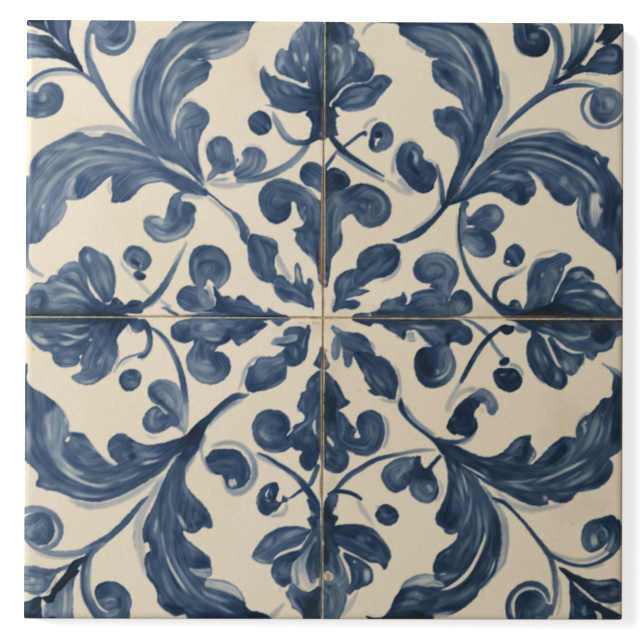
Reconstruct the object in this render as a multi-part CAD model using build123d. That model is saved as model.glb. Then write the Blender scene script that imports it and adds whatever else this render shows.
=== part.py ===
from build123d import *
import os

# One glazed wall tile, pressed and fired as a single piece.
# It lies on its back: the glazed face looks up, the keyed back rests at z = 0.
# Millimetres. The origin is the middle of the back's bed plane.

# Outline and section
tile_side = 152.0
tile_thickness = 8.0
corner_radius = 0.8
draft_inset = 0.3
arris_chamfer = 0.6

# Rolled shoulder between the flat face and the edge walls
shoulder_width = 1.8
shoulder_drop = 0.9

# Score lines that part the face into four squares, like butted joints
score_width = 0.7
score_floor_width = 0.24
score_depth = 0.4
score_x = -0.3
score_y = 0.55

# Keyed back: a grid of shallow drafted pockets between ribs
pockets_per_row = 6
back_border = 6.5
rib_width = 3.6
pocket_depth = 0.8
pocket_corner_radius = 1.6
pocket_draft_degrees = 30.0

# Room by which a cutting tool runs past the body
overrun = 1.0

half_side = tile_side / 2
back_half = half_side - draft_inset


def edge_section():
    """Half of the section across the tile, from its middle plane to one edge wall."""
    shoulder_start = (half_side - shoulder_width, tile_thickness)
    shoulder_end = (half_side, tile_thickness - shoulder_drop)
    with BuildSketch(Plane.XZ) as section:
        with BuildLine():
            Line((0, 0), (back_half - arris_chamfer, 0))
            Line((back_half - arris_chamfer, 0), (back_half, arris_chamfer))
            Line((back_half, arris_chamfer), shoulder_end)
            EllipticalCenterArc(
                (half_side - shoulder_width, tile_thickness - shoulder_drop),
                shoulder_width,
                shoulder_drop,
                start_angle=0,
                arc_size=90,
            )
            Line(shoulder_start, (0, tile_thickness))
            Line((0, tile_thickness), (0, 0))
        make_face()
        mirror(about=Plane.YZ)
    return section.sketch


def pressed_blank():
    """The plain body: the edge section run both ways, and the corners rounded in plan."""
    along_y = extrude(edge_section(), amount=tile_side, both=True)
    along_x = along_y.rotate(Axis.Z, 90)
    with BuildSketch() as plan:
        RectangleRounded(tile_side, tile_side, corner_radius)
    column = extrude(plan.sketch, amount=tile_thickness)
    return along_y & column & along_x


def score_cutter():
    """A drafted groove as long as the tile, along Y through the origin, at the face."""
    half_floor, half_mouth = score_floor_width / 2, score_width / 2
    slope = (half_mouth - half_floor) / score_depth
    half_above = half_mouth + slope * overrun
    floor_z = tile_thickness - score_depth
    top_z = tile_thickness + overrun
    with BuildSketch(Plane.XZ) as section:
        with BuildLine():
            Polyline(
                (-half_floor, floor_z),
                (half_floor, floor_z),
                (half_above, top_z),
                (-half_above, top_z),
                close=True,
            )
        make_face()
    return extrude(section.sketch, amount=half_side + overrun, both=True)


def score_lines():
    """The two score lines that cross near the middle of the face."""
    upright = score_cutter().moved(Location((score_x, 0, 0)))
    level = score_cutter().rotate(Axis.Z, 90).moved(Location((0, score_y, 0)))
    return upright + level


def back_pockets():
    """The grid of key pockets, each narrowing as it goes up into the back."""
    keyed_side = 2 * (back_half - back_border)
    pitch = (keyed_side + rib_width) / pockets_per_row
    pocket_side = pitch - rib_width
    with BuildSketch() as mouths:
        with GridLocations(pitch, pitch, pockets_per_row, pockets_per_row):
            RectangleRounded(pocket_side, pocket_side, pocket_corner_radius)
    return extrude(mouths.sketch, amount=pocket_depth, taper=pocket_draft_degrees)


tile = pressed_blank() - score_lines() - back_pockets()

os.makedirs("parts", exist_ok=True)
export_step(tile, "parts/tile.step")
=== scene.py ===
import math

import bpy
import numpy as np
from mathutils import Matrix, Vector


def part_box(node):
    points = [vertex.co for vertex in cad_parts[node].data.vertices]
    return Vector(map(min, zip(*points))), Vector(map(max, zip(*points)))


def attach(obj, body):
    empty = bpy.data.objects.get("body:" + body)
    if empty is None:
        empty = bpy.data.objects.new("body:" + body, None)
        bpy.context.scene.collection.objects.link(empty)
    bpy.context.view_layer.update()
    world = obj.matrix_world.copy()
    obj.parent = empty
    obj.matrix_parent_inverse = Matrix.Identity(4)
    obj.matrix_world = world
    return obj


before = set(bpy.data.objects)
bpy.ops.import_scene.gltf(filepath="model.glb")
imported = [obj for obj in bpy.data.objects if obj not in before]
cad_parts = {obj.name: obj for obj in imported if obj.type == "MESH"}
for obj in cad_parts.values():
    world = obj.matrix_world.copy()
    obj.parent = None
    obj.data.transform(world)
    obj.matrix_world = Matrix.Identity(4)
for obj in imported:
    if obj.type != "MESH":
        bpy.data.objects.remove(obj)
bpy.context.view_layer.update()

# A glazed wall tile with blue brushwork on cream, lying face up.
# Lengths are in millimetres until a mesh or lamp is made, and MM turns them to metres.
MM = 0.001

# The body's section, as the solid has it
_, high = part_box("tile")
half_side = high.x / MM
face_height = high.z / MM
corner_radius = 0.8
shoulder_width = 1.8
shoulder_drop = 0.9
draft_inset = 0.3
score_x = -0.3
score_y = 0.55
score_width = 0.7
score_floor_width = 0.24
score_depth = 0.4

# The glaze lies this much proud of the body, and runs raggedly this far down the edge walls
glaze_proud = 0.02
glaze_run = 3.4
glaze_run_spread = 0.8
glaze_run_wave = 9

# Mesh lines across one quarter of the face: from the score line, over the face and shoulder, down the wall
face_lines = 278
score_offsets = (0, 0.05, 0.1, 0.16, 0.22, 0.29, 0.36, 0.44, 0.55, 0.7)
shoulder_lines = 9
run_steps = (0.08, 0.2, 0.36, 0.55, 0.78, 1.0)

# Tables of random numbers behind the noise, and how far each seed moves over its table
table_count = 8
table_size = 128
seed_shift_a = 17.3
seed_shift_b = 5.1

# Keeps a division by a length of nothing defined
tiny = 1e-9

# The brush: distances along smooth paths, and room left round a stroke for its soft edge
stroke_step = 0.45
outline_step = 0.5
edge_room = 0.5
edge_wave = 0.7

# A thin stroke has a sharper edge, and under the hair width it thins out
thin_blur = 0.5
blur_growth = 0.8
hair_width = 0.12

# Faded ends start with this share of the paint and take this length at least
fade_start = 0.15
least_fade = 0.05

# Paint pools along the edges: from this share of a stroke's half width, or this near a shape's outline
pool_start = 0.55
pool_ease = 0.4
pool_width = 0.9
least_half_width = 0.2

# How far each tone of a shape's flow reaches, and how fast it falls off
tone_reach = 0.8
tone_falloff = 1.5

# Bristle marks by length, width and strength, and clouds in the wash by size and strength
fine_length, fine_width, fine_strength = 5.0, 0.3, 0.7
broad_length, broad_width, broad_strength = 9.0, 0.8, 0.6
cloud_size, cloud_strength = 2.2, 0.5


def random_table(seed):
    return np.random.RandomState(seed).uniform(-1, 1, (table_size, table_size))


noise_tables = [random_table(seed) for seed in range(table_count)]


def ease(value):
    """A smooth step from 0 to 1."""
    value = np.clip(value, 0, 1)
    return value * value * (3 - 2 * value)


def ripple(a, b, seed=0):
    """Smooth noise between -1 and 1, one wave about two units long."""
    table = noise_tables[seed % table_count]
    a, b = a + seed_shift_a * seed, b + seed_shift_b * seed
    i, j = np.floor(a).astype(int), np.floor(b).astype(int)
    f, g = ease(a - i), ease(b - j)
    i0, i1 = i % table_size, (i + 1) % table_size
    j0, j1 = j % table_size, (j + 1) % table_size
    near_row = table[i0, j0] * (1 - f) + table[i1, j0] * f
    far_row = table[i0, j1] * (1 - f) + table[i1, j1] * f
    return near_row * (1 - g) + far_row * g


def smooth_path(points, step=stroke_step, closed=False):
    """Points along the smooth curve through the given rows, about a step apart."""
    p = np.array(points, float)
    if closed:
        ring = np.vstack([p[-1:], p, p[:2]])
    else:
        ring = np.vstack([2 * p[:1] - p[1:2], p, 2 * p[-1:] - p[-2:-1]])
    out = []
    chord = np.sqrt(np.hypot(*(ring[1:, :2] - ring[:-1, :2]).T) + tiny)
    for k in range(1, len(ring) - 2):
        d0, d1, d2 = chord[k - 1], chord[k], chord[k + 1]
        a, b, c, d = ring[k - 1], ring[k], ring[k + 1], ring[k + 2]
        m1 = (b - a) / d0 - (c - a) / (d0 + d1) + (c - b) / d1
        m2 = (c - b) / d1 - (d - b) / (d1 + d2) + (d - c) / d2
        m1, m2 = m1 * d1, m2 * d1
        n = max(2, int(np.ceil(np.hypot(*(c - b)[:2]) / step)))
        t = np.linspace(0, 1, n, endpoint=False)[:, None]
        out.append((2 * t**3 - 3 * t**2 + 1) * b + (t**3 - 2 * t**2 + t) * m1
                   + (-2 * t**3 + 3 * t**2) * c + (t**3 - t**2) * m2)
    if not closed:
        out.append(ring[-2:-1])
    return np.vstack(out)


class Canvas:
    """Paint over a grid of mesh lines, from 0 for the bare glaze to about 1 for full blue."""

    def __init__(self, xs, ys):
        self.xs, self.ys = xs, ys
        self.paint = np.zeros((len(ys), len(xs)))
        self.count = 0

    def window(self, path, reach):
        """The rows, columns and places of the grid within reach of a path, or None."""
        x0, y0 = path[:, 0].min() - reach, path[:, 1].min() - reach
        x1, y1 = path[:, 0].max() + reach, path[:, 1].max() + reach
        i0, i1 = np.searchsorted(self.xs, [x0, x1])
        j0, j1 = np.searchsorted(self.ys, [y0, y1])
        if i1 <= i0 or j1 <= j0:
            return None
        gx, gy = np.meshgrid(self.xs[i0:i1], self.ys[j0:j1])
        return slice(j0, j1), slice(i0, i1), gx, gy

    def along(self, path, gx, gy):
        """For each place: how far it is outside the stroke, then length, offset, width and tone there."""
        best = np.full(gx.shape, np.inf)
        u, v = np.zeros(gx.shape), np.zeros(gx.shape)
        wide, tone = np.zeros(gx.shape), np.zeros(gx.shape)
        length = 0.0
        for a, b in zip(path[:-1], path[1:]):
            ex, ey = b[0] - a[0], b[1] - a[1]
            span = np.hypot(ex, ey) + tiny
            px, py = gx - a[0], gy - a[1]
            t = np.clip((px * ex + py * ey) / span**2, 0, 1)
            w = a[2] + (b[2] - a[2]) * t
            dx, dy = px - t * ex, py - t * ey
            away = np.sqrt(dx * dx + dy * dy)
            near = away - w
            take = near < best
            side = np.sign(ex * py - ey * px)
            best = np.where(take, near, best)
            u = np.where(take, length + t * span, u)
            v = np.where(take, away * side, v)
            wide = np.where(take, w, wide)
            tone = np.where(take, a[3] + (b[3] - a[3]) * t, tone)
            length += span
        return best, u, v, wide, tone

    def grain(self, u, v, gx, gy, seed):
        """Bristle marks along the stroke and soft clouds in the wash."""
        fine = ripple(u / fine_length, v / fine_width, seed) * fine_strength
        broad = ripple(u / broad_length, v / broad_width, seed + 3) * broad_strength
        return fine + broad + cloud_strength * ripple(gx / cloud_size, gy / cloud_size, seed + 1)

    def lay(self, where, cover, tone):
        """Covers the paint that is there with a new tone."""
        self.paint[where] = self.paint[where] * (1 - cover) + tone * cover

    def stroke(self, points, soft, streak, pool, rough, strength=1.0, fade=0.0):
        """One brush stroke through (x, y, half width, tone) rows, thinned out over a share of its ends."""
        self.count += 1
        seed = self.count
        path = smooth_path(points)
        area = self.window(path, path[:, 2].max() + soft + edge_room)
        if area is None:
            return
        rows, columns, gx, gy = area
        near, u, v, wide, tone = self.along(path, gx, gy)
        near = near + rough * ripple(gx / edge_wave, gy / edge_wave, seed) * np.minimum(1, wide)
        blur = soft * np.clip(thin_blur + blur_growth * wide, 0, 1)
        cover = ease(0.5 - near / blur) * strength
        cover = cover * ease(wide / hair_width)
        if fade:
            length = np.hypot(*np.diff(path[:, :2], axis=0).T).sum()
            run = max(fade * length, least_fade)
            cover = cover * ease(fade_start + u / run) * ease(fade_start + (length - u) / run)
        across = v / np.maximum(wide, least_half_width)
        shade = tone + streak * self.grain(u, v, gx, gy, seed)
        shade = shade + pool * ease((np.abs(across) - pool_start) / pool_ease)
        self.lay((rows, columns), cover, shade)

    def shape(self, outline, flow, soft, streak, pool, rough, strength=1.0):
        """A closed outline of (x, y) rows. The flow's (x, y, tone) rows give tone and brush direction."""
        self.count += 1
        seed = self.count
        edge = smooth_path([(x, y, 0, 0) for x, y in outline], step=outline_step, closed=True)
        area = self.window(edge, soft + edge_room)
        if area is None:
            return
        rows, columns, gx, gy = area
        inside, away = self.within(edge, gx, gy)
        near = np.where(inside, -away, away) + rough * ripple(gx / edge_wave, gy / edge_wave, seed)
        cover = ease(0.5 - near / soft) * strength
        spine = smooth_path([(x, y, 0, tone) for x, y, tone in flow])
        _, u, v, _, _ = self.along(spine, gx, gy)
        pull, total = np.zeros(gx.shape), np.zeros(gx.shape)
        for x, y, _, tone in spine:
            weight = 1 / ((gx - x)**2 + (gy - y)**2 + tone_reach)**tone_falloff
            pull += weight * tone
            total += weight
        grain = self.grain(u, v, gx, gy, seed)
        shade = pull / total + streak * grain + pool * ease(1 - away / pool_width)
        self.lay((rows, columns), cover, shade)

    def within(self, edge, gx, gy):
        """Which places lie inside a closed outline, and how far each is from it."""
        inside = np.zeros(gx.shape, bool)
        away = np.full(gx.shape, np.inf)
        for a, b in zip(edge, np.roll(edge, -1, axis=0)):
            ex, ey = b[0] - a[0], b[1] - a[1]
            px, py = gx - a[0], gy - a[1]
            t = np.clip((px * ex + py * ey) / (ex * ex + ey * ey + tiny), 0, 1)
            away = np.minimum(away, (px - t * ex)**2 + (py - t * ey)**2)
            crosses = (a[1] > gy) != (b[1] > gy)
            with np.errstate(divide="ignore", invalid="ignore"):
                at = a[0] + (gy - a[1]) * ex / (ey if ey != 0 else tiny)
            inside ^= crosses & (gx < at)
        return inside, np.sqrt(away)


# The canvas that the brush calls below paint on. painted() sets it.
face = None


def body(outline, flow, **more):
    """A leaf, petal or lobe, filled to its outline."""
    face.shape(outline, flow, **{"soft": 0.45, "streak": 0.14, "pool": 0.05, "rough": 0.12, **more})


def line(points, **more):
    """A full stroke, such as a stem, scroll or rim."""
    face.stroke(points, **{"soft": 0.45, "streak": 0.06, "pool": 0.04, "rough": 0.1, **more})


def wash(points, **more):
    """A thin stroke of watery blue."""
    thin = {"soft": 0.8, "strength": 0.9, "streak": 0.05, "pool": 0.0, "rough": 0.15, "fade": 0.15}
    face.stroke(points, **{**thin, **more})


def light(points, strength=0.95):
    """A pale touch inside a leaf. At full strength it is a crisp line."""
    if strength < 1:
        face.stroke(points, soft=0.9, strength=strength, streak=0.09, pool=0.0, rough=0.12, fade=0.4)
    else:
        face.stroke(points, soft=0.45, strength=strength, streak=0.03, pool=0.0, rough=0.08, fade=0.1)


def dark(points):
    """A deeper touch inside a leaf."""
    face.stroke(points, soft=1.0, strength=0.92, streak=0.1, pool=0.0, rough=0.15, fade=0.3)


# The brushwork, in millimetres from the tile's middle and read one by one. nw is the upper left quarter, ne
# the upper right, sw the lower left and se the lower right. Later strokes lie over earlier ones.


def nw_corner():
    body([(-60.4, 72.7), (-58.7, 72.2), (-58.5, 70.8), (-57, 69.6), (-54.6, 69), (-52, 69.6),
          (-50.3, 71.4), (-49.9, 74), (-50.4, 76.8), (-58.8, 76.8)],
         [(-59, 73, 0.5), (-56, 71.5, 0.58), (-53.5, 73, 0.72), (-52, 76, 0.66)])
    line([(-58.2, 71, 0.5, 0.55), (-57.3, 69.1, 0.9, 0.6), (-54, 67.6, 0.85, 0.6),
          (-51.4, 68.5, 0.8, 0.62), (-49.6, 70.8, 0.75, 0.6), (-48.9, 73.5, 0.65, 0.58),
          (-49.3, 76.4, 0.6, 0.55)])
    light([(-57, 69.8, 0.2, 0.3), (-54.5, 68.7, 0.35, 0.22), (-52, 69.2, 0.35, 0.28),
           (-50.3, 70.8, 0.3, 0.3), (-49.7, 73, 0.35, 0.28), (-50.1, 76.2, 0.45, 0.3)])
    dark([(-55.5, 72, 0.8, 0.72), (-53.3, 70.8, 0.9, 0.78), (-51.3, 72, 0.6, 0.75)])
    wash([(-61.1, 72, 0.3, 0.15), (-61.2, 69, 0.35, 0.2), (-60.9, 65.5, 0.3, 0.25)])
    line([(-43, 43, 1.0, 0.6), (-46, 45.8, 0.9, 0.6), (-48.6, 48.2, 0.7, 0.6), (-51, 50.9, 0.6, 0.64),
          (-54, 54.3, 0.65, 0.68), (-56, 57.2, 0.8, 0.64), (-57.6, 60, 1.15, 0.58),
          (-59.1, 63, 1.15, 0.56), (-60.2, 66.5, 0.9, 0.6), (-60.4, 70, 0.7, 0.62),
          (-60.1, 73, 0.7, 0.58), (-59, 75, 0.6, 0.5), (-57.4, 76.6, 0.5, 0.5)])
    light([(-59.4, 72, 0.22, 0.3), (-59.8, 69, 0.28, 0.3), (-59.5, 66.5, 0.25, 0.35),
           (-58.8, 64.4, 0.2, 0.42)])
    dark([(-60.8, 70.5, 0.2, 0.75), (-60.7, 67.5, 0.25, 0.75), (-60, 65, 0.25, 0.7)])
    body([(-73.3, 57.4), (-72, 59.2), (-69.5, 60), (-67.6, 59.2), (-66.5, 57), (-66.5, 55), (-67.6, 52.8),
          (-70, 51.3), (-72.5, 50.8), (-75, 51.2), (-77, 52), (-77, 58)],
         [(-75, 58, 0.5), (-70, 58, 0.64), (-68, 55, 0.66), (-71, 52.5, 0.62), (-76, 53, 0.72)])
    line([(-59, 60.2, 0.5, 0.6), (-61.5, 62.1, 0.5, 0.62), (-64, 63, 0.5, 0.65), (-67.5, 63.25, 0.5, 0.7),
          (-70.5, 62.8, 0.5, 0.7), (-73.2, 61.5, 0.5, 0.68), (-75.2, 59.8, 0.5, 0.66),
          (-77, 58.2, 0.5, 0.66)])
    light([(-60, 60.7, 0.3, 0.4), (-63, 62, 0.42, 0.33), (-67, 62.25, 0.5, 0.3), (-70.5, 61.8, 0.5, 0.32),
           (-73, 60.5, 0.6, 0.32), (-74.4, 58.8, 0.7, 0.34), (-75, 56.5, 0.8, 0.38),
           (-74.6, 54.3, 0.7, 0.45)])
    dark([(-72.9, 57.9, 0.3, 0.62), (-71.3, 59.2, 0.4, 0.68), (-69.2, 59.4, 0.4, 0.68),
          (-67.3, 57.6, 0.5, 0.68), (-67, 55, 0.5, 0.7)])
    light([(-72.2, 57, 0.8, 0.42), (-71.6, 56, 0.9, 0.4), (-71.3, 54.8, 0.5, 0.48)])
    dark([(-76.4, 53.5, 0.9, 0.75), (-74.3, 52.2, 0.7, 0.76), (-72.3, 53.4, 0.6, 0.7)])
    light([(-73.2, 51.5, 0.25, 0.45), (-71.7, 52, 0.3, 0.4), (-70.6, 51.7, 0.2, 0.45)])
    body([(-77, 77), (-65, 77), (-64.8, 74.5), (-65.2, 72.6), (-64.9, 70.5), (-64, 68.2), (-62.8, 65.8),
          (-61.9, 64), (-61.5, 62.6), (-62.6, 63.3), (-64, 65.5), (-66, 68.3), (-68.5, 71), (-70.5, 72.5),
          (-73, 73.6), (-77, 75.3)],
         [(-75, 76, 0.92), (-70.5, 74.5, 0.85), (-67, 71, 0.78), (-64, 66.5, 0.9), (-62, 63.5, 1.05)])
    body([(-77, 72.3), (-74.5, 72.4), (-72.5, 71.9), (-70, 71.7), (-68, 70.2), (-66, 68), (-64, 66),
          (-62.4, 64.2), (-61.6, 62.7), (-63, 63.5), (-65, 64.9), (-67.5, 65.8), (-70, 66.1), (-73, 66.2),
          (-77, 66.4)],
         [(-77, 69.5, 0.62), (-73, 69.2, 0.62), (-69, 68.6, 0.8), (-65, 66, 0.95), (-62, 63.2, 1.05)])
    line([(-67.6, 76.8, 1.6, 0.68), (-67.2, 73.5, 1.5, 0.66), (-66.4, 70.4, 1.0, 0.68),
          (-65, 67.8, 0.5, 0.72)])
    light([(-66.2, 76, 0.25, 0.5), (-66, 73, 0.2, 0.5), (-65.8, 70.8, 0.2, 0.5)])
    light([(-77, 73.4, 0.6, 0.12), (-74.3, 72.9, 0.35, 0.18), (-72.6, 72.5, 0.15, 0.4)])
    light([(-71.3, 76.4, 0.3, 0.25), (-71, 74.8, 0.22, 0.2), (-70.3, 73, 0.15, 0.3)])
    light([(-69.6, 71.3, 0.12, 0.2), (-68.9, 70.7, 0.28, 0.02), (-67.8, 69.7, 0.34, 0.0),
           (-66.2, 68.4, 0.12, 0.1)])
    light([(-77, 68, 0.7, 0.45), (-74.3, 67.9, 0.9, 0.4), (-72, 67.4, 0.6, 0.48), (-69, 66.9, 0.3, 0.6)])
    dark([(-75.5, 71.5, 0.5, 0.8), (-72.5, 70.8, 0.7, 0.85), (-69.5, 69.5, 0.7, 0.95),
          (-66.5, 67, 0.7, 1.05), (-63.8, 64.8, 0.7, 1.1)])
    light([(-74, 70.8, 0.4, 0.6), (-72.5, 71.3, 0.25, 0.6)])


def nw_upper_leaf():
    wash([(-46.5, 47.2, 0.6, 0.25), (-48.3, 50, 0.7, 0.25), (-49, 54, 0.65, 0.22), (-48.9, 58, 0.7, 0.2),
          (-48, 61, 0.9, 0.22), (-46.8, 63.3, 0.7, 0.2), (-45.6, 65.3, 0.4, 0.2)])
    body([(-31, 34), (-36, 38.3), (-42, 41.5), (-46.2, 45.5), (-47.8, 51), (-48.3, 55), (-48, 59),
          (-47, 62), (-45.3, 66), (-44, 68.5), (-42.6, 70.7), (-40, 71.7), (-38.8, 73.6), (-36.5, 75.6),
          (-35, 77), (-16.6, 77), (-18.6, 74.8), (-19.4, 73), (-19.6, 71.7), (-21, 69.4), (-23.5, 67.7),
          (-26.5, 66.4), (-29.5, 66), (-31.5, 66.2), (-34.5, 65.5), (-38.5, 64.5), (-40, 60), (-40, 50),
          (-36, 42), (-32, 36)],
         [(-31, 33, 0.68), (-40, 43, 0.62), (-45.5, 52, 0.6), (-45, 60, 0.62), (-41, 68, 0.6),
          (-33, 73, 0.55), (-25, 74.5, 0.62), (-17, 76, 0.72)])
    dark([(-46.8, 46.8, 0.8, 0.6), (-48, 51, 0.6, 0.66), (-48.1, 56, 0.5, 0.72), (-47.6, 60, 0.45, 0.74),
          (-46, 63.6, 0.4, 0.72), (-45, 66.3, 0.4, 0.7), (-43.5, 69, 0.4, 0.66), (-42, 71, 0.3, 0.78),
          (-40.2, 71.6, 0.3, 0.85)])
    light([(-43.5, 45, 0.4, 0.4), (-45, 48.5, 0.5, 0.34), (-46.4, 53, 0.6, 0.36), (-47, 57, 0.55, 0.33),
           (-46.6, 60.5, 0.5, 0.3), (-45.3, 64, 0.5, 0.36), (-43.8, 67, 0.5, 0.36),
           (-42.2, 69.5, 0.45, 0.28), (-40.9, 70.3, 0.3, 0.15)])
    dark([(-38, 40.5, 0.9, 0.62), (-42, 46, 1.2, 0.68), (-44.5, 52, 1.3, 0.72), (-45.2, 57, 1.2, 0.74),
          (-44.8, 61, 1.3, 0.74), (-43, 65.5, 1.4, 0.7), (-40.3, 69.3, 1.5, 0.7),
          (-37.5, 71.8, 1.3, 0.66), (-33, 73.5, 1.0, 0.62)])
    light([(-42, 66.8, 0.5, 0.5), (-40.8, 70, 0.5, 0.4), (-38.5, 72.8, 0.7, 0.45), (-35, 74.5, 0.8, 0.42),
           (-31, 75.4, 0.6, 0.42), (-26, 75.9, 0.4, 0.5)])
    dark([(-38, 68.3, 1.3, 0.66), (-35, 71, 1.0, 0.7), (-31.5, 73.2, 0.8, 0.7), (-27.5, 74.6, 0.9, 0.72),
          (-23, 75, 0.9, 0.72), (-18.8, 75.8, 0.8, 0.8)])
    light([(-42.2, 49.5, 0.3, 0.5), (-43.1, 54, 0.5, 0.48), (-43.2, 58, 0.5, 0.5),
           (-42.6, 61.5, 0.4, 0.52)])
    dark([(-39.5, 46.5, 0.5, 0.7), (-41, 51, 0.4, 0.76), (-41.6, 54.5, 0.4, 0.8),
          (-41.7, 57.5, 0.3, 0.64)])
    # the inner, paler turn of the big lobe
    body([(-36.5, 67.6), (-33.5, 70), (-30, 72), (-26, 73.3), (-22, 73.6), (-19.4, 73), (-19.7, 71.5),
          (-21, 69.4), (-23.5, 67.7), (-26.5, 66.5), (-29.5, 66.1), (-32, 66.2), (-35, 66)],
         [(-36, 67, 0.66), (-32, 69, 0.58), (-26, 71, 0.48), (-20, 72, 0.4)])
    dark([(-36, 67, 0.6, 0.75), (-33.5, 67.9, 1.0, 0.76), (-31.5, 67.5, 1.0, 0.72),
          (-29.5, 68.4, 0.5, 0.6)])
    dark([(-33, 70.3, 0.6, 0.62), (-29, 71.8, 0.8, 0.68), (-24, 72.8, 0.8, 0.72),
          (-20.6, 73.6, 0.6, 0.74)])
    light([(-32.5, 69.6, 0.4, 0.42), (-29.5, 70, 0.6, 0.36), (-26, 70.3, 0.6, 0.42),
           (-24.5, 71, 0.5, 0.34), (-22, 71.8, 0.5, 0.3), (-20, 72.4, 0.3, 0.2)])
    wash([(-30, 66.6, 0.5, 0.25), (-27, 67, 0.7, 0.27), (-24, 68.3, 0.9, 0.27), (-21.5, 70, 0.8, 0.3),
          (-20.2, 71.6, 0.4, 0.3)])
    dark([(-30, 67.3, 0.3, 0.5), (-27, 68.3, 0.3, 0.5), (-24, 69.8, 0.4, 0.48), (-21.8, 71, 0.3, 0.45)])
    light([(-30, 68, 0.22, 0.2), (-28.5, 68.3, 0.25, 0.14), (-26.9, 68.5, 0.12, 0.15)])
    # second lobe
    body([(-34, 38), (-38.5, 45), (-40.6, 52), (-41, 57), (-40.3, 61.5), (-38.5, 65), (-36.5, 66.8),
          (-34.5, 66.8), (-32.5, 65.9), (-30.6, 66.1), (-29.6, 65.4), (-28.9, 64.3), (-29.6, 62.8),
          (-29.9, 61.2), (-31, 60), (-33, 58.8), (-35, 57.2), (-36.8, 55.2), (-38, 52.5), (-38.9, 50),
          (-38.8, 47.5), (-37.5, 45), (-35, 42)],
         [(-35, 40, 0.6), (-39.2, 49, 0.52), (-39.5, 56, 0.52), (-37, 60.5, 0.55), (-33, 63, 0.62),
          (-29, 64.4, 0.74)])
    dark([(-40.6, 53, 0.35, 0.66), (-41.1, 57.5, 0.3, 0.62), (-40.2, 61.8, 0.35, 0.72),
          (-38.8, 64.6, 0.35, 0.66), (-37, 66.3, 0.3, 0.6)])
    dark([(-36.2, 66.5, 0.5, 0.72), (-34, 66.6, 0.7, 0.82), (-32.3, 66.4, 0.5, 0.8)])
    light([(-40, 55, 0.35, 0.4), (-39.4, 59, 0.5, 0.38), (-38, 62, 0.5, 0.4), (-36.3, 64.3, 0.4, 0.45)])
    light([(-35.3, 64, 0.4, 0.42), (-33, 65, 0.45, 0.38), (-30.9, 65.3, 0.35, 0.42)])
    dark([(-37.8, 57, 0.5, 0.62), (-35.6, 60.5, 0.8, 0.64), (-33, 62.9, 1.0, 0.68),
          (-30.6, 63.8, 0.8, 0.72), (-29.3, 64.3, 0.4, 0.82)])
    light([(-36.2, 57.4, 0.4, 0.5), (-34, 59.6, 0.4, 0.5), (-31.5, 61, 0.4, 0.54)])
    # cream line that parts the big lobe from the second
    light([(-42.2, 54.8, 0.14, 0.15), (-42.1, 57.6, 0.25, 0.08), (-41.3, 60.8, 0.34, 0.04),
           (-39.9, 64, 0.42, 0.02), (-38.4, 66, 0.38, 0.02), (-37.4, 66.9, 0.4, 0.03),
           (-36, 68.3, 0.45, 0.04), (-34.6, 69.4, 0.38, 0.08), (-33.2, 70.2, 0.22, 0.2),
           (-31, 71.7, 0.14, 0.3), (-28.2, 73.1, 0.16, 0.36)])
    # third lobe
    wash([(-37.9, 53.2, 0.35, 0.2), (-36.4, 55, 0.4, 0.2), (-34.2, 55.8, 0.38, 0.15),
          (-32.6, 55.4, 0.3, 0.15)])
    body([(-33, 37), (-36.5, 41.5), (-38, 45), (-38.1, 48), (-37.9, 51), (-36.8, 53.6), (-35, 55.2),
          (-33, 55), (-31.9, 54), (-30.4, 53.4), (-29.4, 51.7), (-29.6, 50), (-31, 47.9), (-32.1, 45),
          (-32.4, 42), (-32.1, 39.5), (-31.4, 37)],
         [(-32, 37, 0.7), (-35.5, 44, 0.6), (-35.5, 50, 0.58), (-31, 52.5, 0.72)])
    light([(-37.3, 47.5, 0.4, 0.42), (-37.2, 50.5, 0.6, 0.36), (-36, 52.7, 0.8, 0.38),
           (-34.3, 53.3, 0.6, 0.5)])
    dark([(-35.4, 54.5, 0.4, 0.55), (-33.5, 54.6, 0.5, 0.6), (-32.2, 53.6, 0.6, 0.7),
          (-30.8, 52.2, 0.8, 0.74), (-30.6, 50.3, 0.7, 0.72), (-32, 48, 0.7, 0.7)])
    dark([(-36.2, 48.3, 0.3, 0.74), (-34.6, 48.7, 0.3, 0.74), (-33, 49.6, 0.5, 0.72)])
    light([(-36.5, 42.5, 0.25, 0.4), (-37.2, 45.5, 0.3, 0.42)])
    light([(-34, 41, 0.3, 0.5), (-35.1, 44, 0.35, 0.46), (-34.8, 47, 0.35, 0.5)])
    dark([(-33, 47, 0.5, 0.72), (-33, 43, 0.6, 0.72), (-32.4, 39, 0.6, 0.72), (-31.2, 35.5, 0.6, 0.76),
          (-30.5, 33, 0.6, 0.78)])
    light([(-39.6, 46.2, 0.25, 0.35), (-38.8, 47.6, 0.3, 0.2), (-38.9, 49.8, 0.25, 0.2),
           (-38.4, 51.6, 0.3, 0.12), (-37.8, 53.2, 0.3, 0.06)])
    light([(-38.2, 45.4, 0.15, 0.2), (-38.3, 46.8, 0.3, 0.16), (-38.6, 48.6, 0.14, 0.3)])
    dark([(-39.3, 43.5, 0.3, 0.68), (-40, 47, 0.3, 0.68), (-40, 51, 0.3, 0.66)])


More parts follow.
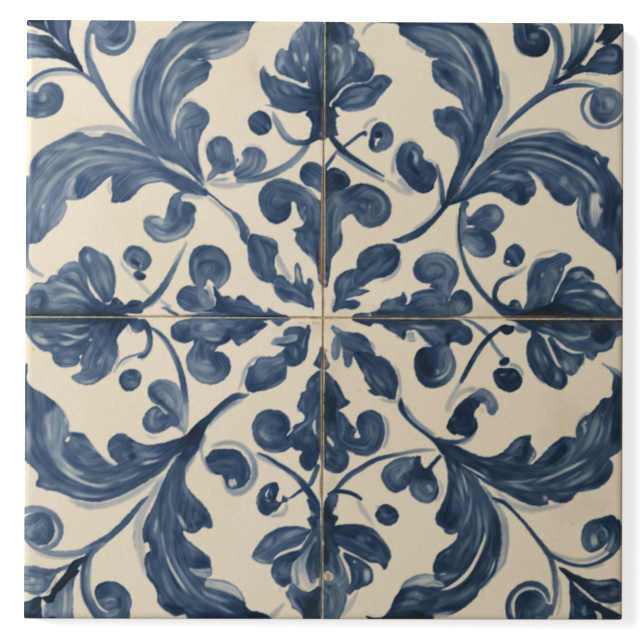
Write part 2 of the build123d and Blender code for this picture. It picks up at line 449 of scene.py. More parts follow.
def nw_left_leaf():
    wash([(-64.4, 47.4, 0.35, 0.3), (-61.5, 48.1, 0.5, 0.27), (-58.5, 48.4, 0.7, 0.26),
          (-55, 48.4, 0.8, 0.26), (-52, 47.9, 0.8, 0.24), (-49.8, 47, 0.6, 0.22), (-48, 45.8, 0.5, 0.25),
          (-46.3, 44.6, 0.4, 0.3)])
    line([(-75.4, 26, 1.0, 0.6), (-75.8, 20, 0.95, 0.6), (-75.9, 16.5, 0.85, 0.56),
          (-75.5, 14, 0.75, 0.46), (-74.5, 12.7, 0.6, 0.36), (-73, 11.7, 0.5, 0.3),
          (-71.6, 10.9, 0.42, 0.24)])
    body([(-30, 31.4), (-31, 33.5), (-34.5, 36), (-38, 38.3), (-41.5, 40), (-43.5, 42.5), (-46.5, 44.2),
          (-50, 45.8), (-53.5, 47), (-56, 47.1), (-57.5, 46.2), (-60, 46.4), (-62, 47.4), (-64, 47.2),
          (-66, 46), (-69, 44.8), (-71.6, 43.2), (-73.6, 41.2), (-74.8, 38.8), (-75, 36.3), (-77, 36),
          (-77, 19.5), (-74.5, 19), (-72.3, 19.4), (-70.3, 21.8), (-67.8, 23.9), (-66.2, 26), (-65.5, 29),
          (-65.9, 30), (-63.5, 30), (-62.2, 30.4), (-60, 31.6), (-57.5, 33.6), (-55.5, 35.6),
          (-54.3, 36.3), (-52, 36), (-46.8, 34), (-44.8, 34.4), (-42.3, 34.8), (-40, 34.5), (-38.3, 33.5),
          (-36.5, 32.4), (-33.5, 31.7)],
         [(-30, 31, 0.72), (-38, 36.5, 0.66), (-46, 40.5, 0.58), (-56, 41.5, 0.54), (-64, 39, 0.52),
          (-70, 33, 0.52), (-74, 26, 0.56), (-75, 19, 0.66)])
    light([(-70.5, 43, 0.5, 0.42), (-67, 43.6, 0.7, 0.4), (-63, 43.9, 0.7, 0.38), (-60.8, 44, 0.4, 0.44)])
    light([(-73, 38, 0.5, 0.42), (-71.5, 40.5, 0.5, 0.42), (-69, 42, 0.5, 0.45)])
    dark([(-74.4, 36.3, 0.9, 0.88), (-74.2, 38.6, 0.8, 0.84), (-72.8, 41.2, 0.7, 0.74),
          (-70.5, 43.2, 0.6, 0.66), (-67.5, 44.7, 0.5, 0.62), (-65.5, 45.8, 0.6, 0.7),
          (-63.5, 46.6, 0.65, 0.78), (-61.7, 46.8, 0.5, 0.74), (-60.3, 46.2, 0.25, 0.7)])
    dark([(-56.3, 46, 0.7, 0.68), (-54, 46.1, 0.9, 0.74), (-51, 45.3, 0.9, 0.74), (-47.5, 44, 0.7, 0.74),
          (-44, 42.6, 0.7, 0.7), (-41, 41.2, 0.7, 0.64), (-37, 38.6, 0.5, 0.64)])
    light([(-61.3, 47.3, 0.25, 0.25), (-59.3, 46.9, 0.35, 0.15), (-57.2, 46.6, 0.35, 0.14),
           (-55.8, 46.4, 0.2, 0.3)])
    dark([(-60.5, 45.2, 0.5, 0.6), (-57.5, 45.2, 0.5, 0.6), (-54.5, 44.5, 0.4, 0.6)])
    light([(-61, 43.3, 0.3, 0.42), (-57.5, 43.4, 0.42, 0.32), (-54, 43, 0.5, 0.26),
           (-50.5, 42.7, 0.5, 0.28), (-47, 41.9, 0.5, 0.3), (-44.3, 41.1, 0.45, 0.25),
           (-42.3, 40.3, 0.3, 0.2)])
    dark([(-61, 42.4, 0.35, 0.66), (-58, 42.5, 0.4, 0.76), (-54.5, 42, 0.4, 0.72), (-50, 41.5, 0.5, 0.68),
          (-46, 40.5, 0.5, 0.66), (-42.5, 39.6, 0.5, 0.72), (-39, 37.8, 0.6, 0.76)])
    light([(-50, 40.4, 0.3, 0.45), (-54, 40.9, 0.4, 0.34), (-57, 41.2, 0.4, 0.32), (-61, 40.4, 0.4, 0.36),
           (-65.5, 38, 0.4, 0.38), (-69.5, 34.2, 0.5, 0.38), (-72.5, 29, 0.5, 0.38),
           (-73.8, 24.5, 0.4, 0.42)])
    light([(-47, 39.6, 0.3, 0.46), (-52, 40.1, 0.4, 0.4), (-56, 39.9, 0.4, 0.36), (-60, 38.8, 0.5, 0.36),
           (-64, 36.3, 0.5, 0.34), (-66.6, 33, 0.5, 0.34), (-68, 29, 0.5, 0.4), (-68.6, 26, 0.4, 0.42)])
    dark([(-61, 41.6, 0.4, 0.66), (-65, 40, 0.4, 0.66), (-69, 36.8, 0.4, 0.62), (-72.3, 32.5, 0.5, 0.6),
          (-74.5, 27, 0.5, 0.6)])
    dark([(-70, 40.8, 0.4, 0.6), (-73, 37, 0.5, 0.64), (-75, 33.5, 0.8, 0.68), (-75.8, 28, 0.6, 0.64)])
    dark([(-62, 38.2, 0.3, 0.6), (-66, 35.2, 0.35, 0.6), (-69, 31, 0.4, 0.58), (-70, 27, 0.4, 0.58),
          (-70.5, 23.5, 0.5, 0.66), (-71.5, 21, 0.5, 0.72), (-73.8, 19.7, 0.4, 0.66)])
    light([(-59, 41.3, 0.16, 0.26), (-62.5, 39.9, 0.18, 0.22), (-65.5, 38, 0.14, 0.3)])
    light([(-70.3, 29.5, 0.5, 0.42), (-71.5, 26.5, 0.6, 0.4), (-72, 23.5, 0.5, 0.44),
           (-72.6, 21.3, 0.3, 0.5)])
    light([(-71.3, 29.2, 0.25, 0.12), (-71.7, 27.8, 0.22, 0.14)])
    # middle lobe, dark
    body([(-54.3, 36.3), (-55.5, 35.6), (-57.5, 33.6), (-60, 31.6), (-62.3, 30.4), (-63.3, 32),
          (-63.5, 34), (-62.3, 36.5), (-60, 38.3), (-56, 39.3), (-50, 38.8), (-51, 37)],
         [(-50, 38.5, 0.55), (-55, 38, 0.58), (-60, 35.5, 0.66), (-62.5, 31.5, 0.74)])
    light([(-58, 36.5, 0.4, 0.5), (-60, 35, 0.4, 0.54)])
    dark([(-62.9, 34.5, 0.4, 0.74), (-62.8, 32.5, 0.5, 0.76), (-62, 31, 0.3, 0.7)])
    wash([(-63.4, 36, 0.4, 0.3), (-64.4, 34, 0.5, 0.28), (-64.9, 32, 0.7, 0.3), (-64.6, 30.7, 0.6, 0.34)])
    light([(-66.1, 30.2, 0.35, 0.35), (-66.3, 27.8, 0.5, 0.36), (-67.3, 25.4, 0.5, 0.36),
           (-69, 23.8, 0.5, 0.36)])
    dark([(-65.4, 36, 0.4, 0.6), (-66.8, 33, 0.4, 0.62), (-68, 30, 0.4, 0.6)])
    # inner lobe, dark, with its pale foot
    body([(-52, 37), (-54, 36.3), (-54.2, 33), (-54, 31), (-54.2, 29.6), (-52, 29.6), (-49.8, 30.2),
          (-48.2, 31.6), (-46.8, 33.2), (-44.8, 34.5), (-42.3, 34.9), (-40, 35.4), (-38, 36.4), (-40, 38),
          (-44, 38.9), (-49, 38.3)],
         [(-39, 37, 0.72), (-44, 37, 0.62), (-49, 35, 0.62), (-53.5, 30.5, 0.76)])
    wash([(-54.8, 35, 0.3, 0.2), (-55, 33, 0.35, 0.18), (-54.4, 31.6, 0.25, 0.2)])
    light([(-48.4, 33.8, 0.6, 0.4), (-46.3, 34.9, 0.6, 0.33), (-43.3, 35.5, 0.5, 0.32),
           (-40.5, 35.4, 0.35, 0.36), (-38.8, 34.7, 0.3, 0.5)])
    light([(-50.5, 37, 0.5, 0.5), (-47, 37.6, 0.5, 0.46), (-44.5, 37.2, 0.4, 0.45)])
    dark([(-53.4, 35, 0.4, 0.74), (-53, 32, 0.7, 0.76), (-52.6, 30.4, 0.6, 0.74)])
    dark([(-49, 38.8, 0.3, 0.62), (-45, 39, 0.5, 0.7), (-41.5, 38, 0.7, 0.74), (-37.5, 36.2, 1.0, 0.76),
          (-33.5, 33.8, 1.0, 0.78), (-30.6, 31.8, 0.6, 0.84)])
    dark([(-43.5, 36.3, 0.3, 0.66), (-40.5, 36, 0.4, 0.74), (-37, 34, 0.6, 0.76), (-33, 32.2, 0.5, 0.78)])
    light([(-42.3, 40, 0.2, 0.12), (-40.3, 39.1, 0.34, 0.08), (-37.8, 37.8, 0.38, 0.14),
           (-35.6, 36.6, 0.36, 0.3), (-33.8, 35.4, 0.25, 0.5)])


def nw_hub():
    wash([(-30.3, 31.2, 0.35, 0.25), (-27.5, 29.2, 0.42, 0.25), (-24.7, 26.7, 0.5, 0.24),
          (-22.9, 24.3, 0.4, 0.27), (-21.9, 22, 0.3, 0.3)])
    line([(-30.6, 32.6, 0.6, 0.8), (-29.5, 31.9, 0.3, 0.8), (-28, 30.8, 0.24, 0.8), (-26, 29, 0.26, 0.8),
          (-24, 27.6, 0.35, 0.78)])
    body([(-24.4, 27.9), (-22.6, 27.3), (-21.2, 26), (-20, 24), (-19, 22.1), (-19.5, 21), (-19.9, 18.9),
          (-20.8, 19.7), (-21.6, 20.8), (-21.7, 22.5), (-22.4, 24.5), (-23.6, 26.6)],
         [(-24, 27.5, 0.66), (-21.5, 24.5, 0.7), (-20.5, 20, 0.76)], pool=0.0)
    light([(-19.9, 22.9, 0.25, 0.5), (-19.5, 22, 0.2, 0.4)])
    wash([(-12.2, 16.8, 0.4, 0.3), (-11.4, 14.6, 0.75, 0.28), (-10.4, 12.7, 0.75, 0.26),
          (-9.4, 11.2, 0.7, 0.3), (-8.5, 9.8, 0.5, 0.34)])
    body([(-18.8, 21.9), (-17, 21.6), (-14.5, 21), (-12.7, 20.2), (-11.9, 19.3), (-12, 18), (-11.8, 17),
          (-12.6, 15.9), (-12.7, 13.5), (-12.2, 11.8), (-12.6, 10), (-13.6, 9.4), (-15.5, 9.6),
          (-17, 10.4), (-18.5, 12.5), (-19.4, 15), (-19.7, 18), (-19.5, 20.5)],
         [(-18.8, 21.5, 0.78), (-16.5, 17, 0.72), (-14, 10, 0.76)])
    light([(-17.5, 21.2, 0.3, 0.58), (-14.8, 20.7, 0.4, 0.56), (-12.8, 19.6, 0.35, 0.5),
           (-12.1, 18.4, 0.25, 0.34)])
    dark([(-16.5, 19.6, 0.4, 0.84), (-14, 18.9, 0.4, 0.84), (-12.4, 17.6, 0.5, 0.84)])
    light([(-16.6, 18.6, 0.35, 0.58), (-15.4, 16, 0.35, 0.56), (-15, 13.5, 0.35, 0.58)])
    light([(-18.6, 13.4, 0.22, 0.5), (-17.6, 11.8, 0.3, 0.42), (-16, 10.6, 0.28, 0.45)])
    dark([(-17.5, 17, 0.4, 0.8), (-16.8, 14, 0.5, 0.82), (-15, 11.5, 0.6, 0.82), (-13, 10.5, 0.6, 0.8)])
    body([(-13.5, 9.6), (-12.3, 11.3), (-10.8, 11.4), (-9.4, 10), (-8.4, 9.2), (-7.9, 9.2), (-7.6, 11.5),
          (-7.7, 13.5), (-7, 14.5), (-6.3, 13.6), (-5.8, 11.5), (-5.2, 9.3), (-4.7, 9.2), (-4.4, 10.5),
          (-3.9, 10.7), (-3.1, 9.9), (-2.8, 8.8), (-3.2, 7), (-3.1, 5.4), (-2.7, 3.9), (-3, 2.4),
          (-3.3, 3.1), (-4, 3.1), (-6, 3.8), (-8, 4.5), (-10, 4.4), (-11.5, 5.6), (-12.6, 6.8),
          (-12.9, 8.2)],
         [(-12, 9.5, 0.76), (-8, 7, 0.7), (-4, 4, 0.76)])
    light([(-7.15, 14, 0.3, 0.3), (-6.95, 12.3, 0.5, 0.36), (-6.6, 10.5, 0.5, 0.42),
           (-6.1, 8.7, 0.35, 0.5)])
    light([(-8.6, 9.8, 0.3, 0.4), (-8.3, 8.7, 0.3, 0.5)])
    dark([(-4.1, 10.1, 0.3, 0.7), (-4.2, 8, 0.45, 0.8), (-4.3, 6, 0.6, 0.82), (-3.4, 4, 0.5, 0.76)])
    light([(-3.2, 9.4, 0.25, 0.45), (-3.3, 8, 0.2, 0.5)])
    light([(-10.5, 4.9, 0.25, 0.45), (-8.5, 4.7, 0.3, 0.3), (-6.5, 4.2, 0.2, 0.4)])
    dark([(-12, 8, 0.6, 0.84), (-10, 6.8, 0.9, 0.8), (-7.5, 5.8, 0.8, 0.76)])
    light([(-10.5, 8.3, 0.25, 0.58), (-8, 7.6, 0.3, 0.55), (-6, 6.6, 0.25, 0.6)])
    wash([(-13.2, 9, 0.3, 0.2), (-13.1, 8, 0.25, 0.3)])


def nw_upper_stem():
    wash([(-30.2, 34.9, 0.35, 0.3), (-28, 34.2, 0.55, 0.27), (-24, 34, 0.75, 0.26),
          (-20, 34.8, 0.7, 0.35)])
    line([(-22, 35.4, 0.7, 0.5), (-19, 35.4, 0.8, 0.5), (-15, 36.6, 0.8, 0.52), (-11, 38.3, 0.85, 0.5),
          (-8, 40.3, 0.85, 0.48), (-6, 42.4, 0.8, 0.5), (-4.8, 44.2, 0.8, 0.6)])
    dark([(-23, 36, 0.5, 0.66), (-19, 36, 0.5, 0.7), (-15.5, 37, 0.4, 0.68), (-12, 38.5, 0.35, 0.62),
          (-9.5, 40, 0.3, 0.56), (-7, 42.4, 0.3, 0.56), (-5.8, 44.2, 0.3, 0.62)])
    dark([(-20, 34.9, 0.3, 0.6), (-15, 35.9, 0.35, 0.66), (-11, 37.5, 0.35, 0.6)])
    light([(-9, 39, 0.3, 0.4), (-6.6, 41, 0.35, 0.38), (-5, 43, 0.3, 0.4)])
    body([(-30.1, 35), (-29.8, 36.7), (-28.6, 38.3), (-29.8, 40.5), (-30.3, 43), (-29.5, 45.1),
          (-27.6, 46.4), (-25.5, 46.3), (-24, 45), (-23.4, 42.8), (-22.9, 40.6), (-22.6, 38.5),
          (-24.3, 37.6), (-25.5, 37), (-27, 37), (-28.5, 35.8)],
         [(-30, 35.5, 0.5), (-28, 38, 0.6), (-26, 41, 0.66), (-27, 45.5, 0.66)])
    light([(-27.6, 44.5, 0.7, 0.46), (-27.2, 42.6, 0.8, 0.48), (-26.5, 40.8, 0.5, 0.55)])
    dark([(-29.6, 43.5, 0.4, 0.7), (-28.3, 45.4, 0.4, 0.68), (-26.2, 45.9, 0.4, 0.74),
          (-24.5, 44.7, 0.4, 0.72), (-23.8, 42.5, 0.4, 0.68)])
    dark([(-27, 39.5, 0.8, 0.7), (-25, 39.2, 0.9, 0.74), (-24, 38.7, 0.6, 0.72)])
    light([(-29.6, 35.6, 0.25, 0.35), (-28.7, 37, 0.25, 0.45), (-28.4, 38.4, 0.25, 0.5)])
    wash([(-30.6, 42.5, 0.25, 0.15), (-30.2, 44.8, 0.25, 0.15), (-28.2, 46.7, 0.25, 0.12)])
    wash([(-20.8, 44, 0.25, 0.12), (-18.6, 44.5, 0.3, 0.12), (-16.4, 43.7, 0.25, 0.12)])
    body([(-21.3, 42.2), (-20, 43.6), (-18.5, 43.9), (-16.3, 43), (-14.9, 41), (-15, 39.2), (-16.2, 37.6),
          (-19, 36.3), (-22.5, 35.9), (-23.3, 37.5), (-21.8, 39.2), (-20.8, 40.6)],
         [(-22.5, 36.5, 0.66), (-19, 39, 0.58), (-18, 43, 0.62)])
    dark([(-21.2, 42, 0.4, 0.82), (-20, 43.1, 0.35, 0.74), (-18, 43.5, 0.35, 0.7), (-16, 42.5, 0.35, 0.7),
          (-15.3, 40.6, 0.35, 0.68)])
    light([(-20.5, 41.4, 0.3, 0.4), (-21, 40, 0.4, 0.36), (-22, 38.9, 0.35, 0.42)])
    dark([(-22.7, 40.3, 0.5, 0.74), (-21.9, 40.6, 0.35, 0.72)])
    light([(-29.5, 35.1, 0.25, 0.42), (-26.5, 35.5, 0.4, 0.4), (-24, 35.8, 0.4, 0.42)])
    # berry
    body([(-19.4, 51.3), (-18, 52.7), (-16.3, 53), (-14.5, 52), (-13.6, 50), (-13.9, 48.3), (-15.5, 46.9),
          (-17.4, 47), (-19, 48.3), (-19.6, 49.8)],
         [(-18.5, 51, 0.78), (-16, 49.5, 0.82), (-14.5, 48, 0.76)])
    light([(-15.2, 49.8, 0.3, 0.7), (-14.5, 49, 0.35, 0.64), (-14.3, 48.2, 0.25, 0.5)])
    # tendril
    line([(-13.4, 52.8, 0.2, 0.3), (-12.7, 50.9, 0.75, 0.38), (-11.4, 48.6, 0.85, 0.38),
          (-10, 46.7, 0.75, 0.42), (-8, 45.4, 0.6, 0.55), (-5.8, 45.1, 0.6, 0.72)])
    dark([(-13.1, 51, 0.25, 0.45), (-12, 48.4, 0.25, 0.55), (-10.6, 46.2, 0.3, 0.65),
          (-8.5, 44.9, 0.35, 0.78), (-6, 44.6, 0.4, 0.85), (-4, 45, 0.4, 0.85)])


def nw_top_flower():
    body([(-5, 52), (-4.4, 53.2), (-1, 53.8), (0.5, 53), (0.5, 46.3), (-2.5, 45.5), (-4.5, 44.4),
          (-6, 44.4), (-5.2, 45.7), (-4.1, 46.3), (-3.7, 48), (-3.5, 50), (-4, 51.2)],
         [(-4.5, 45, 0.85), (-2.5, 47, 0.9), (-2, 50, 1.0), (-3, 53, 0.92)])
    light([(-1.4, 47.8, 0.6, 0.68), (-0.8, 46.8, 0.4, 0.6)])
    body([(-15.8, 64.5), (-15, 62.9), (-13.8, 61.9), (-12.8, 62), (-12, 61.2), (-10, 60.8), (-7.5, 60),
          (-5, 58.9), (0.5, 58.5), (0.5, 53.3), (-3, 53.5), (-5, 53.1), (-7.5, 52.5), (-10, 52.8),
          (-12.5, 53.8), (-13.9, 54.6), (-14.2, 55.8), (-15.4, 57.5), (-16.4, 59.7), (-16.7, 61.5),
          (-16.7, 63)],
         [(-16.3, 63, 0.66), (-14, 59, 0.66), (-9, 56.5, 0.68), (-4, 55.5, 0.85), (-0.5, 55, 1.02)])
    light([(-16.3, 63, 0.4, 0.4), (-15.7, 63.8, 0.35, 0.42), (-15, 62.8, 0.3, 0.5)])
    dark([(-16.1, 62, 0.5, 0.78), (-15.9, 60, 0.6, 0.78), (-14.7, 57.5, 0.5, 0.76),
          (-12.5, 55, 0.5, 0.76), (-9.8, 53.5, 0.5, 0.78), (-7, 53.3, 0.5, 0.78)])
    light([(-13.5, 60.8, 0.4, 0.55), (-12.8, 58.4, 0.4, 0.54), (-11, 56, 0.35, 0.58)])
    light([(-11.5, 60, 0.4, 0.54), (-10.2, 58.4, 0.5, 0.52), (-8.5, 57, 0.4, 0.58)])
    light([(-9, 59.4, 0.35, 0.58), (-7, 58.2, 0.35, 0.6), (-5.5, 57, 0.3, 0.66)])
    dark([(-14.8, 61, 0.5, 0.76), (-13.6, 58.5, 0.35, 0.74), (-12, 57, 0.35, 0.74)])
    dark([(-9.5, 57.4, 0.3, 0.72), (-7.5, 55.5, 0.5, 0.76), (-4.5, 54.8, 0.8, 0.88),
          (-1.5, 55, 1.0, 1.0)])
    line([(-15.4, 54.6, 0.08, 0.5), (-13.8, 54.3, 0.2, 0.62), (-12, 53.8, 0.35, 0.72)])
    light([(-12.4, 61.9, 0.4, 0.14), (-10.5, 61.3, 0.35, 0.12), (-8.4, 60.7, 0.3, 0.08),
           (-6.6, 60, 0.32, 0.03), (-5.1, 59.2, 0.2, 0.04)])
    body([(-10.2, 68.3), (-10.9, 69), (-12, 68.3), (-12.8, 66.5), (-12.9, 64.3), (-12, 62.7), (-10, 61.8),
          (-8, 61), (-5.5, 60.2), (-4.5, 61.5), (-6, 64), (-7.5, 66.5), (-8.3, 68.2), (-9.3, 68.7)],
         [(-11, 68, 0.55), (-9.5, 65, 0.64), (-7, 62, 0.72), (-5, 60.5, 0.85)])
    light([(-12, 67, 0.4, 0.36), (-11.4, 65.6, 0.7, 0.34), (-11.8, 64, 0.5, 0.42),
           (-10.5, 62.8, 0.4, 0.5)])
    dark([(-9.6, 68, 0.4, 0.8), (-9.2, 66.3, 0.8, 0.78), (-8, 64, 0.6, 0.76), (-6.3, 61.8, 0.5, 0.82),
          (-5, 60.6, 0.4, 0.9)])
    body([(-4.6, 77), (-6, 74.9), (-7.5, 73.5), (-8.8, 71.5), (-9.5, 69), (-8.7, 68.3), (-7.6, 67.4),
          (-6, 64), (-4.7, 61), (-4.4, 59.5), (-3.5, 58.5), (0.5, 58), (0.5, 77)],
         [(-6, 75, 0.55), (-4.5, 70, 0.6), (-3, 64, 0.72), (-1.5, 58, 0.98)])
    light([(-8.7, 70.6, 0.4, 0.36), (-7.9, 72.3, 0.55, 0.36), (-6.9, 73.3, 0.5, 0.42)])
    light([(-7.2, 71.8, 0.7, 0.38), (-6.6, 70.8, 0.4, 0.45)])
    dark([(-8.4, 69.2, 0.35, 0.6), (-7.2, 69.6, 0.4, 0.7), (-6.9, 67.5, 0.5, 0.66), (-6.3, 65, 0.4, 0.7),
          (-5.2, 62.6, 0.4, 0.78)])
    dark([(-5.2, 75, 0.35, 0.64), (-5.1, 71.5, 0.35, 0.68), (-5.3, 69, 0.3, 0.64)])
    light([(-4.3, 75.8, 0.3, 0.5), (-4.3, 72, 0.3, 0.48), (-4.3, 69.5, 0.3, 0.5)])
    dark([(-3.6, 76, 0.35, 0.7), (-3.5, 71, 0.45, 0.72), (-3.6, 66, 0.5, 0.76), (-3.2, 62, 0.6, 0.84),
          (-2.6, 59, 0.8, 0.98)])
    light([(-4.9, 68.3, 0.2, 0.2), (-4.7, 67, 0.32, 0.12), (-4.9, 65.5, 0.3, 0.14)])
    light([(-8, 68, 0.3, 0.28), (-7.7, 66.3, 0.28, 0.24), (-7.3, 64.9, 0.18, 0.3)])
    light([(-6.2, 64.3, 0.18, 0.3), (-5.7, 64.1, 0.28, 0.18), (-5.2, 62.9, 0.18, 0.24)])
    light([(-2.3, 75.5, 0.3, 0.5), (-2.2, 72.8, 0.3, 0.42), (-2.3, 70, 0.32, 0.3),
           (-2.1, 68, 0.18, 0.24)])
    dark([(-1.2, 73, 0.3, 0.68), (-1.3, 69, 0.4, 0.8), (-1.4, 65, 0.5, 0.86), (-1.2, 60, 0.7, 1.0),
          (-0.8, 56, 0.8, 1.08), (-0.8, 50, 0.6, 1.05)])


def nw_left_flower():
    body([(-77, 5), (-75.2, 6.5), (-74.3, 8.3), (-73, 9.1), (-71, 9.1), (-70.2, 10), (-69.3, 11),
          (-67.8, 11.1), (-67, 10), (-64, 8.9), (-61.5, 7), (-60, 5), (-58, 3.2), (-55, 1.3), (-60, 0.5),
          (-77, 0.5)],
         [(-77, 4, 0.66), (-72, 5, 0.6), (-66, 5, 0.52), (-61, 3.5, 0.62), (-56, 1.5, 0.8)])
    light([(-74.8, 7, 0.5, 0.42), (-73.2, 8.1, 0.6, 0.4), (-71.5, 8.2, 0.6, 0.42), (-70, 7.2, 0.5, 0.42),
           (-68, 6.6, 0.3, 0.5)])
    dark([(-76.2, 4.6, 0.8, 0.66), (-74.3, 5.6, 0.9, 0.62), (-72, 6.2, 0.9, 0.68), (-71, 5, 1.0, 0.74),
          (-71.6, 3.2, 1.0, 0.72), (-74.5, 2.6, 1.0, 0.7)])
    light([(-73, 4.4, 0.25, 0.55), (-72.8, 3, 0.3, 0.55), (-74.8, 3.6, 0.3, 0.58)])
    light([(-69.8, 10.3, 0.5, 0.46), (-68.3, 10.4, 0.5, 0.46)])
    light([(-70.2, 9.2, 0.4, 0.42), (-68.3, 9.2, 0.5, 0.34), (-66, 8.4, 0.5, 0.3), (-64, 7.8, 0.45, 0.2),
           (-62.3, 6.9, 0.4, 0.24), (-60.3, 5.6, 0.3, 0.34)])
    dark([(-69.5, 7.6, 0.4, 0.62), (-66.5, 7.1, 0.5, 0.6), (-63.5, 6.4, 0.35, 0.58)])
    light([(-68.9, 3.8, 0.45, 0.24), (-68.2, 5, 0.45, 0.28), (-65.5, 5.9, 0.5, 0.28),
           (-63, 5.7, 0.5, 0.24), (-61, 5, 0.45, 0.33), (-59, 3.9, 0.35, 0.46), (-57.4, 2.9, 0.25, 0.6)])
    dark([(-66.8, 4.4, 0.4, 0.5), (-64.3, 4.6, 0.7, 0.62), (-61.5, 3.9, 0.8, 0.7), (-59, 2.6, 0.8, 0.78),
          (-56.5, 1.6, 0.6, 0.88)])
    dark([(-67.5, 2.6, 0.6, 0.55), (-64.5, 3, 0.6, 0.6), (-62, 2.2, 0.6, 0.68)])
    light([(-69.4, 2.7, 0.3, 0.26), (-67.6, 2.9, 0.18, 0.4), (-66, 3.5, 0.2, 0.42),
           (-64, 3.5, 0.15, 0.5)])
    body([(-67.7, 10.3), (-67.5, 12.2), (-66, 13.8), (-64, 14.6), (-62.4, 14.2), (-61, 12.8), (-60.3, 11),
          (-59.9, 8.5), (-58.5, 6), (-56, 4), (-53, 3), (-55, 1.6), (-58.5, 3.4), (-61, 6.3), (-63, 8.2),
          (-66, 9.6)],
         [(-66.5, 11.5, 0.6), (-63.5, 12, 0.56), (-61, 8.5, 0.6), (-57, 4, 0.78), (-53.5, 2, 0.9)])
    light([(-67, 12.2, 0.4, 0.42), (-65.2, 13.6, 0.5, 0.4), (-63.2, 13.7, 0.5, 0.44)])
    dark([(-66, 12, 0.5, 0.62), (-64.3, 12.7, 0.35, 0.6), (-62.5, 12.3, 0.5, 0.64),
          (-61.2, 10.5, 0.5, 0.62), (-60.8, 8.5, 0.4, 0.64)])
    light([(-64.8, 11.2, 0.7, 0.42), (-63.3, 10.8, 0.7, 0.42), (-62.3, 9.6, 0.4, 0.5)])
    dark([(-67.1, 10.8, 0.45, 0.74), (-65.2, 10, 0.5, 0.74), (-62.8, 8.6, 0.55, 0.74),
          (-61, 6.6, 0.55, 0.76), (-58.6, 4.4, 0.7, 0.82), (-55.5, 2.8, 0.8, 0.88)])
    light([(-60.8, 12.7, 0.16, 0.14), (-60.5, 12.3, 0.22, 0.08)])
    wash([(-68.1, 11.7, 0.2, 0.15), (-67.6, 13, 0.25, 0.15)])
    body([(-54.6, 4.3), (-53.4, 6.5), (-53, 9), (-53.2, 12), (-54, 14.3), (-55.5, 16.2), (-58, 17.4),
          (-59.5, 18.3), (-61, 18.4), (-62.2, 17), (-62.5, 15), (-62, 13.5), (-61, 12.3), (-60, 10.7),
          (-59.6, 9), (-58, 6.5), (-56, 4.2)],
         [(-60.5, 17.5, 0.62), (-58.5, 13, 0.58), (-57, 9, 0.58), (-55, 4.5, 0.74)])
    light([(-60.1, 17, 0.4, 0.36), (-60, 15.4, 0.5, 0.33), (-59.2, 14.2, 0.4, 0.4)])
    light([(-58.3, 16.6, 0.4, 0.46), (-56.5, 15.4, 0.5, 0.45), (-55.2, 13.2, 0.4, 0.48)])
    light([(-57, 13.5, 0.3, 0.46), (-56, 10.5, 0.45, 0.42), (-55.2, 8, 0.45, 0.42), (-54.8, 6, 0.3, 0.5)])
    dark([(-61.1, 17.7, 0.4, 0.7), (-61.7, 16, 0.45, 0.72), (-61.2, 14, 0.45, 0.72),
          (-60.1, 12.2, 0.45, 0.74), (-59.2, 9.8, 0.45, 0.7), (-57.6, 7, 0.45, 0.7), (-56, 5, 0.5, 0.76)])
    dark([(-58.9, 15.9, 0.35, 0.64), (-58, 13.5, 0.45, 0.66), (-57.6, 11, 0.5, 0.62),
          (-56.4, 8, 0.4, 0.62)])
    dark([(-55.2, 15.2, 0.35, 0.66), (-54.1, 13, 0.4, 0.7), (-53.5, 10, 0.4, 0.7), (-53.7, 7, 0.4, 0.68)])
    light([(-60, 10.8, 0.14, 0.18), (-59.7, 9, 0.3, 0.05), (-58.8, 7.1, 0.4, 0.0),
           (-57.5, 5.5, 0.34, 0.0), (-56.1, 4.3, 0.15, 0.1)])
    # calyx at the joint
    body([(-54.5, 4), (-53.6, 5.4), (-52.6, 5.4), (-51.6, 4.4), (-50.6, 3.6), (-49.8, 4.4), (-48.6, 4.8),
          (-46.8, 4.7), (-46.1, 3.6), (-46.4, 1.6), (-50, 1.4), (-54, 0.5), (-58, 0.5)],
         [(-55, 2.5, 0.85), (-51, 3, 0.76), (-48, 3.5, 0.92), (-46.5, 3, 0.85)])
    light([(-52.8, 4.8, 0.3, 0.58), (-51.9, 3.8, 0.3, 0.62)])
    # stem towards the quarter's bud
    line([(-46.6, 3, 0.8, 0.72), (-44.4, 4.5, 0.9, 0.72), (-42.2, 6.6, 0.95, 0.7),
          (-40.2, 9.4, 0.9, 0.66), (-38.6, 12.4, 0.7, 0.6), (-37.2, 15.2, 0.5, 0.46),
          (-35.9, 17.8, 0.38, 0.32), (-35.1, 19.5, 0.35, 0.2)])
    light([(-45.6, 2.4, 0.25, 0.4), (-43.2, 4.2, 0.25, 0.45), (-41, 6.8, 0.2, 0.5)])
    light([(-39.8, 9.2, 0.2, 0.45), (-38.2, 12, 0.2, 0.42)])
    wash([(-38.3, 14.4, 0.3, 0.25), (-36.7, 17.5, 0.3, 0.22)])
